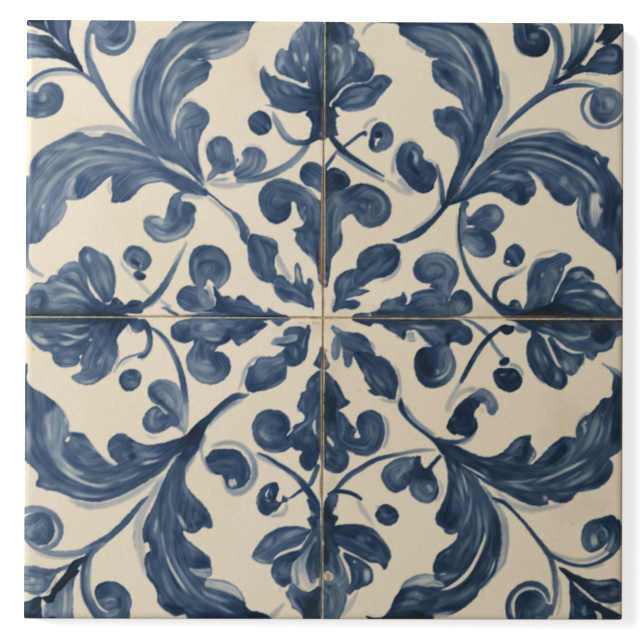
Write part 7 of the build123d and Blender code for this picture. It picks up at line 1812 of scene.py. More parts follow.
def sw_left_trefoil():
    body([(-30.5, 0.5), (-33.6, 0.3), (-36.5, -0.2), (-38, -0.9), (-38.9, -1.9), (-39.1, -3.4),
          (-38.7, -4.6), (-37.7, -5.5), (-36.2, -6), (-34.6, -5.8), (-33, -5.1), (-31.5, -4), (-30, -2)],
         [(-38, -1.5, 0.66), (-37, -4, 0.8), (-33.5, -2.5, 0.7)])
    light([(-37.8, -1.4, 0.3, 0.56), (-36, -0.7, 0.5, 0.52), (-33.8, -1.2, 0.5, 0.56)])
    dark([(-38, -2.8, 0.5, 0.82), (-37.6, -4.4, 0.5, 0.86), (-36.2, -5.4, 0.4, 0.86),
          (-34.4, -4.9, 0.6, 0.78)])
    dark([(-36.4, -2.6, 0.5, 0.8), (-35, -3, 0.5, 0.76)])
    body([(-33.1, -4.2), (-33.2, -5.4), (-33.4, -6.6), (-34.4, -8), (-35, -9.5), (-35.1, -11.3),
          (-34.5, -13.1), (-33.3, -14.6), (-31.5, -15.9), (-29.2, -16.5), (-27.2, -16.2), (-25.4, -15.2),
          (-24.4, -13.9), (-23.8, -12.6), (-23.8, -11.1), (-24.6, -9.5), (-25.6, -8.5), (-27.2, -8.1),
          (-27.9, -8.2), (-27.2, -6.9), (-26, -6.3), (-28.6, -4.6)],
         [(-31.5, -5, 0.8), (-32.8, -9, 0.68), (-33, -13, 0.64), (-29, -15.4, 0.66), (-25, -13, 0.78),
          (-27, -9, 0.88)])
    dark([(-30.8, -5.6, 0.8, 0.9), (-31.2, -7.6, 0.7, 0.8), (-31, -9.4, 0.6, 0.8),
          (-30.6, -10.7, 0.4, 0.8), (-31.3, -10.9, 0.3, 0.76)])
    dark([(-29, -9.6, 0.5, 0.84), (-27.6, -9, 0.7, 0.92), (-26, -9.4, 0.7, 0.9), (-25, -11, 0.7, 0.88),
          (-24.8, -13, 0.6, 0.84), (-25.4, -14.4, 0.5, 0.84)])
    light([(-33.1, -9.4, 0.5, 0.56), (-32.7, -11.3, 0.7, 0.48), (-31, -12.3, 0.8, 0.42),
           (-29, -12.6, 0.8, 0.46), (-27.5, -12, 0.6, 0.54)])
    light([(-31.6, -11, 0.4, 0.46), (-29.9, -10.7, 0.4, 0.42), (-28.6, -11.3, 0.3, 0.48)])
    light([(-33.3, -13.6, 0.4, 0.5), (-31, -15.3, 0.4, 0.46), (-28.4, -15.6, 0.4, 0.46),
           (-26.6, -14.9, 0.3, 0.56)])
    light([(-29.3, -7.6, 0.3, 0.5), (-28.5, -7.3, 0.4, 0.46), (-27.6, -7.1, 0.25, 0.46)])
    dark([(-29, -13.8, 0.35, 0.7), (-26.8, -13.6, 0.35, 0.7), (-25.8, -12, 0.3, 0.74)])
    body([(-33, -4.4), (-31.6, -5.2), (-30, -6.1), (-28, -6.6), (-26, -6.4), (-24.7, -5.8), (-23.7, -4.9),
          (-23.2, -5.4), (-21.9, -6.8), (-20.9, -6.2), (-19.5, -5.4), (-17.7, -4.1), (-16.4, -2.8),
          (-15.4, -2.1), (-14.3, -1.1), (-15.6, -0.5), (-14, 0.5), (-34, 0.5)],
         [(-32.5, -2.5, 0.66), (-29, -2.5, 0.56), (-25, -3.5, 0.8), (-20, -3, 0.82), (-15.5, -1, 0.88)])
    light([(-31.8, -3.3, 0.7, 0.44), (-30.3, -2, 0.9, 0.42), (-28.6, -1.6, 0.8, 0.44),
           (-27, -2.2, 0.5, 0.52)])
    light([(-31.2, -4.3, 0.3, 0.46), (-29, -5, 0.5, 0.42), (-27, -4.9, 0.5, 0.46), (-26, -4, 0.3, 0.56)])
    dark([(-30.5, -0.6, 0.35, 0.74), (-28.3, -0.4, 0.3, 0.72), (-25.5, -0.5, 0.4, 0.66),
          (-22, -0.7, 0.4, 0.7)])
    dark([(-29.3, -3.2, 0.25, 0.62), (-27.5, -3.4, 0.25, 0.62)])
    light([(-26.5, -1.6, 0.4, 0.56), (-24.4, -1.5, 0.5, 0.6), (-22.5, -1.8, 0.3, 0.66)])
    dark([(-32.2, -4.3, 0.3, 0.84), (-30, -5.5, 0.35, 0.95), (-28, -6, 0.4, 0.98),
          (-25.9, -5.7, 0.5, 0.98), (-24.7, -4.4, 0.9, 0.98), (-24.2, -3, 0.8, 0.92),
          (-22.3, -4.2, 0.6, 0.9), (-22.2, -5.5, 0.4, 0.84)])
    dark([(-20.9, -3.8, 0.5, 0.88), (-19.3, -2.6, 0.8, 0.96), (-17.4, -1.6, 0.6, 0.96),
          (-15.6, -1, 0.4, 0.95), (-19, -0.8, 0.4, 0.86)])
    light([(-21.8, -4.9, 0.35, 0.5), (-20.8, -5.4, 0.5, 0.5), (-19.6, -4.9, 0.35, 0.56)])
    light([(-22.3, -2.6, 0.4, 0.7), (-20.8, -1.6, 0.4, 0.7)])
    light([(-18, -3.6, 0.25, 0.5), (-16.8, -2.6, 0.25, 0.44)])
    body([(-14, 0.5), (-13, -0.7), (-12.3, -1.3), (-11.5, -1.7), (-10.9, -1.3), (-10.2, -0.7), (-9, -0.1),
          (-8.5, 0.5)],
         [(-13, 0, 0.66), (-9, 0.2, 0.62)], pool=0)
    dark([(-12.4, -0.9, 0.3, 0.86), (-11.4, -1.3, 0.3, 0.84)])


def sw_upper_stem():
    # pale ringed disc
    wash([(-28.9, -33, 0.3, 0.44), (-28.2, -32.1, 0.5, 0.5), (-26.4, -31.5, 0.55, 0.38),
          (-24, -31.2, 0.6, 0.34), (-21.8, -31.6, 0.6, 0.34), (-19.8, -33, 0.6, 0.38),
          (-18.3, -35, 0.65, 0.42), (-17.6, -37.4, 0.75, 0.46), (-17.7, -39.8, 0.85, 0.46),
          (-18.8, -41.9, 0.85, 0.42), (-20.6, -43.5, 0.85, 0.38), (-22.6, -44, 0.8, 0.36),
          (-24.2, -43, 0.7, 0.36), (-25.4, -41, 0.5, 0.36), (-26.8, -39.7, 0.35, 0.3)], strength=1.0)
    body([(-30, -34.9), (-29.2, -34), (-28.6, -33.2), (-27, -32.9), (-24.6, -32.8), (-22, -33.1),
          (-20.3, -34.6), (-19, -36.7), (-18.6, -39), (-19.2, -40.8), (-20.2, -42.1), (-21, -42.6),
          (-22, -42.9), (-23.6, -43), (-24.8, -42.2), (-25.3, -40.8), (-26, -39.5), (-27.6, -39.3),
          (-28.9, -38.6), (-29.8, -37), (-30.1, -36)],
         [(-29, -35.5, 0.84), (-25, -35, 0.88), (-21, -36, 0.84), (-20.5, -40, 0.86)])
    dark([(-28.4, -33.6, 0.4, 0.94), (-26, -33.6, 0.6, 0.92), (-23, -33.9, 0.7, 0.92),
          (-21, -35.8, 0.7, 0.9), (-20.5, -38.5, 0.7, 0.92), (-21.2, -41.2, 0.6, 0.96),
          (-21.6, -40, 0.4, 0.92)])
    light([(-28.5, -37, 0.4, 0.7), (-26.4, -36, 0.5, 0.72), (-24, -36.2, 0.5, 0.7),
           (-22.6, -37.6, 0.4, 0.72)])
    light([(-27.3, -38.3, 0.4, 0.72), (-25, -37.9, 0.35, 0.68), (-23.4, -38, 0.25, 0.7)])
    light([(-19.4, -38, 0.25, 0.62), (-19.7, -40.4, 0.3, 0.62)])
    dark([(-24.6, -41.4, 0.3, 0.7), (-24.1, -42.4, 0.3, 0.66), (-22.8, -42.8, 0.3, 0.7),
          (-21.8, -42.4, 0.3, 0.74)])
    light([(-23.4, -40.6, 0.6, 0.22), (-23.2, -41.4, 1.0, 0.18), (-22.9, -42, 0.6, 0.22)], strength=1.0)
    # crossing stems
    wash([(-17.8, -33.5, 0.2, 0.2), (-16.6, -34.6, 0.5, 0.36), (-14.8, -35.7, 0.5, 0.34),
          (-12.4, -36.9, 0.35, 0.32), (-10.4, -38, 0.25, 0.35)])
    line([(-16.6, -33.9, 0.25, 0.8), (-14.4, -34.8, 0.4, 0.88), (-12, -36.4, 0.5, 0.88),
          (-9.6, -37.9, 0.6, 0.86), (-7.8, -39.2, 0.7, 0.84), (-6.2, -40.6, 0.8, 0.84),
          (-4.9, -42.2, 0.95, 0.9), (-3.6, -44, 0.9, 0.94), (-2.4, -45.7, 0.85, 0.94),
          (-1.7, -47.3, 0.8, 0.9), (-1.6, -49.4, 0.7, 0.86), (-1.8, -51.6, 0.8, 0.92),
          (-2.2, -53.2, 1.0, 0.96)])
    light([(-9.3, -38.4, 0.25, 0.6), (-7.4, -40.1, 0.3, 0.62), (-5.8, -41.6, 0.25, 0.7)])
    line([(-1.6, -37.2, 0.6, 0.84), (-2.3, -39, 0.65, 0.76), (-3.1, -41, 0.65, 0.76),
          (-3.9, -42.2, 0.35, 0.8)])
    light([(-3.1, -40.6, 0.2, 0.62), (-3.6, -41.8, 0.25, 0.6)])
    line([(-5.2, -42.9, 0.5, 0.9), (-6.6, -43.8, 0.42, 0.84), (-7.9, -44.8, 0.35, 0.82),
          (-8.8, -45.3, 0.22, 0.7)])
    body([(-4.4, -45.6), (-3.4, -45.2), (-2.2, -46.4), (-1.8, -48), (-2.2, -49.4), (-3, -49), (-3.6, -48),
          (-4, -47)],
         [(-4, -46, 0.96), (-2.6, -48, 0.96)], pool=0)
    light([(-3.6, -48.4, 0.3, 0.5), (-2.9, -49.3, 0.4, 0.5), (-3.6, -49.9, 0.3, 0.6)])
    body([(-4.3, -50.5), (-3.3, -49.8), (-1.8, -49.9), (-1.2, -51.4), (-1.2, -53.5), (-2.6, -53.4),
          (-3.3, -52.5), (-3.9, -51.4)],
         [(-3.8, -50.6, 0.9), (-2.2, -52, 0.98)], pool=0)
    # curled bud
    wash([(-9.6, -46.4, 0.35, 0.34), (-9.5, -47.8, 0.4, 0.32), (-10.6, -49.2, 0.7, 0.28),
          (-12, -49.6, 0.4, 0.4), (-13.9, -49.9, 0.15, 0.6)])
    body([(-14.1, -41.6), (-12.8, -41.1), (-11.8, -41.6), (-11.4, -42.9), (-11.8, -44.4), (-12.1, -45.6),
          (-11.5, -46.2), (-11, -46.2), (-10.6, -44.8), (-10.3, -44.4), (-9.9, -44.8), (-9.1, -45.2),
          (-9.5, -46.3), (-10.4, -46.3), (-11, -47), (-11.6, -48), (-12.7, -49), (-13.8, -49.6),
          (-15.1, -49.6), (-16.4, -48.5), (-17.1, -46.7), (-16.9, -44.9), (-16.2, -43.2), (-15.1, -42.1)],
         [(-12.5, -42, 0.92), (-13.8, -45, 0.84), (-14.8, -47.5, 0.9), (-12, -47, 0.84)])
    dark([(-13.9, -41.7, 0.35, 1.0), (-12.9, -42, 0.4, 0.98), (-12.2, -42.8, 0.35, 0.94),
          (-12.4, -44.4, 0.35, 0.92)])
    dark([(-15.4, -44.2, 0.5, 0.9), (-15.8, -46, 0.6, 0.94), (-14.6, -47.8, 0.7, 1.0),
          (-13, -47.6, 0.7, 0.98), (-12.2, -46.6, 0.5, 0.96)])
    light([(-16.5, -44, 0.25, 0.56), (-16.8, -46, 0.28, 0.54), (-16.4, -47.8, 0.25, 0.6)])
    light([(-13.9, -42.7, 0.15, 0.5), (-14.3, -43.6, 0.2, 0.06), (-14.7, -44.4, 0.24, 0.02),
           (-14.3, -45, 0.16, 0.2)], strength=1.0)
    light([(-13.5, -42.9, 0.15, 0.6), (-13.5, -43.9, 0.25, 0.5), (-13.2, -44.9, 0.2, 0.64)])
    light([(-14.9, -45.3, 0.16, 0.34), (-14.2, -45.9, 0.2, 0.36), (-13.3, -46, 0.16, 0.56)])
    light([(-12.4, -48.6, 0.16, 0.06), (-13.4, -49.4, 0.16, 0.04), (-14, -49.8, 0.12, 0.1)], strength=1.0)
    light([(-9.7, -45.3, 0.3, 0.66), (-9.8, -46, 0.25, 0.6)])


def sw_lower_flower():
    # left petal
    body([(-3, -53.3), (-4.6, -52.8), (-6.7, -52.3), (-9.2, -52.3), (-11.8, -52.9), (-13.8, -53.9),
          (-15.6, -55.5), (-16.9, -57.3), (-17.9, -59), (-18.2, -60.1), (-17.4, -61.1), (-15.9, -61.8),
          (-14.4, -62), (-12.8, -62), (-12.4, -61.3), (-12.7, -60.8), (-11.8, -59.8), (-10, -58.8),
          (-8, -58), (-6.2, -57.3), (-4.8, -56), (-4, -54.7)],
         [(-4, -53.8, 0.86), (-9, -55.5, 0.68), (-14, -58.5, 0.68), (-17.5, -60.3, 0.58)])
    dark([(-4.6, -53.2, 0.25, 0.86), (-7.5, -52.9, 0.35, 0.84), (-10.6, -53.3, 0.45, 0.84),
          (-13.4, -54.6, 0.5, 0.82), (-15.5, -56.6, 0.4, 0.76), (-17, -58.9, 0.3, 0.7)])
    light([(-5, -53.7, 0.3, 0.5), (-7, -53.9, 0.55, 0.44), (-9.3, -54.9, 0.6, 0.46),
           (-11.2, -55.9, 0.4, 0.54)])
    light([(-12.8, -55.2, 0.4, 0.54), (-14, -56.7, 0.45, 0.52), (-15.3, -58, 0.5, 0.56)])
    dark([(-4.4, -54.7, 0.3, 0.88), (-6.2, -56, 0.4, 0.84), (-8.8, -57, 0.5, 0.84),
          (-11.5, -58, 0.6, 0.84), (-13.5, -59.2, 0.6, 0.84), (-15.4, -60, 0.5, 0.78)])
    dark([(-12, -54.3, 0.4, 0.84), (-12.6, -56, 0.35, 0.84), (-12.8, -57.2, 0.3, 0.8)])
    light([(-17.4, -60.5, 0.3, 0.36), (-15.8, -61.2, 0.35, 0.36), (-14, -61.4, 0.3, 0.4)])
    # second petal
    body([(-1.5, -53.7), (-3.2, -55.6), (-4.6, -57.2), (-6.2, -58.2), (-8.6, -58.9), (-10.8, -59.7),
          (-12.2, -60.5), (-12.9, -61.9), (-13.3, -63.4), (-13.1, -65), (-12.3, -66.4), (-11, -67.5),
          (-9.9, -67.8), (-8.8, -67.1), (-7.7, -66.6), (-8, -65.2), (-8.1, -63.4), (-7.9, -61.9),
          (-6.6, -60.6), (-4.9, -58.9), (-3.3, -56.8), (-1.8, -54.8)],
         [(-2.5, -55, 0.86), (-6, -59, 0.86), (-10, -61, 0.8), (-11, -66, 0.8)])
    dark([(-12, -61.4, 0.5, 0.92), (-10.4, -60.8, 0.6, 0.94), (-8.6, -60.6, 0.5, 0.9),
          (-6.4, -59.3, 0.5, 0.9), (-4.4, -57.6, 0.4, 0.86)])
    light([(-12.2, -63, 0.3, 0.66), (-11, -63.2, 0.6, 0.6), (-9.7, -63.8, 0.6, 0.58),
           (-9, -62.6, 0.4, 0.66)])
    light([(-12.7, -64.2, 0.3, 0.58), (-12.2, -65.6, 0.35, 0.54)])
    dark([(-11.2, -65.6, 0.6, 0.92), (-10.2, -66.4, 0.7, 0.96), (-9.2, -66, 0.5, 0.92),
          (-8.6, -66.6, 0.3, 0.9)])
    light([(-8.5, -65.2, 0.3, 0.6), (-8.3, -64, 0.25, 0.56)])
    light([(-4.1, -54.6, 0.14, 0.14), (-4.7, -56.2, 0.2, 0.05), (-5.8, -57.3, 0.24, 0.03),
           (-7.4, -58, 0.22, 0.03), (-9.2, -58.6, 0.28, 0.04), (-10.9, -59.3, 0.32, 0.05),
           (-12.2, -60.3, 0.24, 0.06), (-12.8, -60.9, 0.1, 0.15)], strength=1.0)
    # streaked pale folds between the petals
    body([(-2, -54.6), (-3.4, -56.8), (-5, -59), (-6.8, -60.8), (-8, -62.2), (-8.2, -64.5), (-7.9, -66.5),
          (-7.4, -68), (-6.2, -68.6), (-5, -68.8), (-3.8, -68.6), (-2.4, -67.6), (-1.4, -66), (-1.2, -58),
          (-1.3, -54.6)],
         [(-2, -55.5, 0.5), (-5, -60.5, 0.4), (-7.2, -64, 0.3), (-5, -67, 0.16)], pool=0, streak=0.12)
    dark([(-7.2, -61.8, 0.2, 0.5), (-7, -64, 0.2, 0.56), (-6.6, -66.6, 0.3, 0.66),
          (-6.8, -68, 0.4, 0.74)])
    light([(-7.7, -62.4, 0.15, 0.14), (-7.6, -64.4, 0.2, 0.12), (-7.1, -66.2, 0.18, 0.24)])
    light([(-6.3, -61.8, 0.2, 0.2), (-6.1, -64, 0.28, 0.14), (-5.6, -66, 0.4, 0.08),
           (-4.8, -67.8, 0.5, 0.06), (-3.8, -68.2, 0.3, 0.1)])
    dark([(-6.6, -60.9, 0.2, 0.62), (-6.6, -63, 0.12, 0.5), (-6.3, -65, 0.14, 0.46)])
    dark([(-2.4, -55.6, 0.25, 0.66), (-4, -58, 0.25, 0.62), (-5.4, -60.3, 0.25, 0.6),
          (-5.5, -62.6, 0.2, 0.5)])
    body([(-2.2, -56.4), (-3.2, -58), (-4, -60), (-4.5, -62), (-4.3, -63.8), (-4, -65.2), (-3.2, -66.8),
          (-2.2, -66.4), (-1.6, -64), (-1.1, -60.5), (-1.1, -56)],
         [(-2, -57, 0.8), (-3, -61, 0.82), (-2.6, -65.8, 0.6)])
    dark([(-2.4, -58.6, 0.4, 0.88), (-3.2, -60.8, 0.5, 0.88), (-3.4, -62.8, 0.5, 0.84),
          (-3, -64.4, 0.5, 0.86)])
    light([(-2.4, -61.6, 0.25, 0.64), (-2.3, -63.4, 0.3, 0.62)])
    light([(-3, -65.7, 0.4, 0.46), (-2.5, -66.6, 0.3, 0.4)])
    dark([(-1.5, -57, 0.3, 0.94), (-1.6, -60, 0.3, 0.92), (-1.7, -63, 0.3, 0.96), (-1.6, -65, 0.3, 0.94)])
    # foot of the flower
    body([(-7.6, -66.9), (-6.6, -67.8), (-5.2, -68.7), (-3.9, -68.9), (-2.6, -68.3), (-1.2, -67.4),
          (-0.6, -70), (-0.6, -77), (-4.8, -77), (-5.5, -75), (-6.6, -73.8), (-7.9, -73.1), (-8.4, -71.8),
          (-9.3, -70.3), (-9.8, -69.2), (-9, -68.5), (-8.6, -67.4)],
         [(-8.5, -69, 0.56), (-5.5, -70.5, 0.84), (-3, -72, 0.96), (-2.5, -76, 0.9)])
    light([(-9, -69.2, 0.4, 0.36), (-8.2, -70.4, 0.5, 0.42), (-7.6, -72, 0.4, 0.44),
           (-6.2, -73.4, 0.4, 0.5), (-5, -75, 0.4, 0.56)])
    dark([(-8.8, -67.9, 0.3, 0.66), (-8.1, -68.2, 0.3, 0.7), (-7.2, -67.3, 0.3, 0.7)])
    dark([(-6.6, -69.3, 0.6, 0.8), (-6, -71.4, 0.8, 0.88), (-4.6, -73.2, 0.9, 0.98),
          (-3.2, -75, 0.9, 0.98)])
    dark([(-4.4, -70, 0.8, 0.98), (-2.8, -71.2, 1.0, 1.04), (-2, -73.6, 0.9, 1.0)])
    light([(-2.8, -69.2, 0.3, 0.72), (-3.6, -70.4, 0.3, 0.76)])
    wash([(-11.2, -68, 0.2, 0.12), (-10.9, -69, 0.3, 0.12)])


def sw_lower_trefoil():
    body([(-0.6, -6.8), (-1.1, -6.9), (-1.6, -8.7), (-2.3, -10), (-2.8, -11.3), (-1.9, -12.1),
          (-0.6, -12.4)],
         [(-1.2, -8, 0.76), (-1.8, -11, 0.84)])
    light([(-1.3, -8.4, 0.15, 0.56), (-1.5, -10, 0.25, 0.54), (-1.2, -11.3, 0.25, 0.6)])
    body([(-0.5, -12.8), (-1.9, -13), (-3.1, -14.1), (-4.1, -15.2), (-4.6, -16.7), (-4.7, -17.9),
          (-5.9, -18.5), (-6.3, -20), (-6.9, -21.5), (-6.7, -22.8), (-5.4, -23.8), (-4.9, -24.6),
          (-5.4, -25.7), (-6.9, -26.5), (-7.5, -26.6), (-8.4, -27.8), (-9.5, -29), (-9.5, -31.5),
          (-8.5, -32.2), (-7.2, -33), (-6, -33.1), (-5.6, -33.4), (-6.3, -34.6), (-6, -36.6), (-4.9, -38),
          (-3.8, -38.4), (-2.8, -37.8), (-1.8, -36.3), (-1.2, -34.4), (-0.5, -31)],
         [(-1.5, -14, 0.84), (-3, -19, 0.84), (-3.4, -25, 0.78), (-5.5, -30, 0.88), (-3.8, -36, 0.94)])
    dark([(-1.6, -17.5, 0.6, 0.95), (-1.6, -20.5, 0.7, 0.95), (-2.8, -22.4, 0.6, 0.9),
          (-3, -24.8, 0.5, 0.88)])
    light([(-3, -15.6, 0.5, 0.68), (-3.6, -17.4, 0.5, 0.66)])
    light([(-5.2, -19.8, 0.4, 0.68), (-5.6, -21.8, 0.5, 0.66), (-5, -23, 0.4, 0.68)])
    dark([(-4.2, -19.4, 0.5, 0.88), (-4.2, -21.6, 0.5, 0.88)])
    light([(-1.8, -14.6, 0.25, 0.62), (-1.6, -15.7, 0.25, 0.56)])
    light([(-3.4, -24, 0.35, 0.6), (-4.2, -25.8, 0.4, 0.54), (-5.6, -27, 0.4, 0.48),
           (-7, -28.2, 0.35, 0.46), (-8.4, -29.2, 0.25, 0.5)])
    light([(-2.3, -25.3, 0.3, 0.24), (-2.6, -26.7, 0.4, 0.14), (-2.4, -28.2, 0.3, 0.1),
           (-2.1, -29.2, 0.15, 0.2)], strength=1.0)
    dark([(-6.6, -29.4, 0.6, 0.9), (-8, -31, 0.7, 0.94), (-6.6, -31.8, 0.6, 0.94), (-7, -30.4, 0.4, 1.0)])
    light([(-5.4, -29.6, 0.7, 0.74), (-4.2, -30.6, 0.8, 0.74), (-3.4, -29, 0.6, 0.76)])
    dark([(-5, -33.4, 0.5, 0.98), (-4.4, -35, 0.9, 1.0), (-4, -36.8, 0.7, 1.0), (-2.8, -35.4, 0.5, 0.94)])
    body([(-9.3, -29.2), (-8.6, -27.6), (-8.7, -25.9), (-9.5, -24.4), (-10.8, -23.2), (-13.1, -22.8),
          (-15.4, -22.9), (-16.9, -23.8), (-17.8, -25.2), (-18.3, -26.9), (-18.2, -28.7), (-17.7, -30.5),
          (-16.4, -32.2), (-14.6, -33.4), (-12.3, -33.8), (-10.3, -33.5), (-8.7, -32.5), (-7.9, -31.8),
          (-8, -30.4)],
         [(-9, -30, 0.86), (-9.8, -26, 0.82), (-13, -24, 0.82), (-17, -26.5, 0.74), (-15.8, -31, 0.76),
          (-9.5, -32, 0.84)])
    dark([(-15.4, -24.2, 0.6, 0.88), (-13, -24, 0.6, 0.88), (-11, -25, 0.8, 0.88), (-10.2, -27, 0.8, 0.9),
          (-11.4, -28.3, 0.9, 0.94), (-10.4, -29.8, 0.7, 0.92)])
    light([(-14.6, -25.6, 0.6, 0.74), (-13, -26, 0.7, 0.74), (-12, -25.6, 0.4, 0.72)])
    light([(-16.6, -27.4, 0.35, 0.54), (-15.8, -29, 0.55, 0.44), (-14.4, -30.3, 0.55, 0.46),
           (-12.6, -31, 0.4, 0.54)])
    light([(-14.6, -28.6, 0.3, 0.62), (-13.6, -29.8, 0.3, 0.62)])
    dark([(-17.4, -29.4, 0.4, 0.84), (-16, -31.3, 0.4, 0.88), (-13.8, -32.3, 0.45, 0.9),
          (-11.4, -32.2, 0.45, 0.92), (-9.6, -31.4, 0.5, 0.9)])
    light([(-15.6, -32.6, 0.25, 0.6), (-13, -33.3, 0.25, 0.58), (-10.4, -33, 0.25, 0.62)])
    light([(-9.6, -29.5, 0.12, 0.1), (-8.8, -28.6, 0.22, 0.04), (-7.9, -27.5, 0.18, 0.08)], strength=1.0)
    wash([(-6.9, -22.2, 0.2, 0.3), (-6.6, -23.6, 0.25, 0.25)])


def sw_flower_edges():
    # dark edge that leaves only a thin pale line beside the left petal
    line([(-1.6, -52.8, 0.5, 0.82), (-3, -54.6, 0.6, 0.82), (-4.5, -56.8, 0.45, 0.8),
          (-6, -58.8, 0.3, 0.72)])
    # the foot flower's paint reaches the joint
    line([(-1.3, -51, 0.45, 0.66), (-1.2, -56, 0.5, 0.8), (-1.3, -61, 0.5, 0.82),
          (-1.5, -65, 0.45, 0.72)])


def sw_quarter():
    parts = (
        sw_left_leaf, sw_lower_leaf, sw_corner, sw_left_bud,
        sw_upper_stem, sw_hub, sw_left_flower, sw_lower_flower,
        sw_left_trefoil, sw_lower_trefoil, sw_flower_edges,
    )
    for part in parts:
        part()


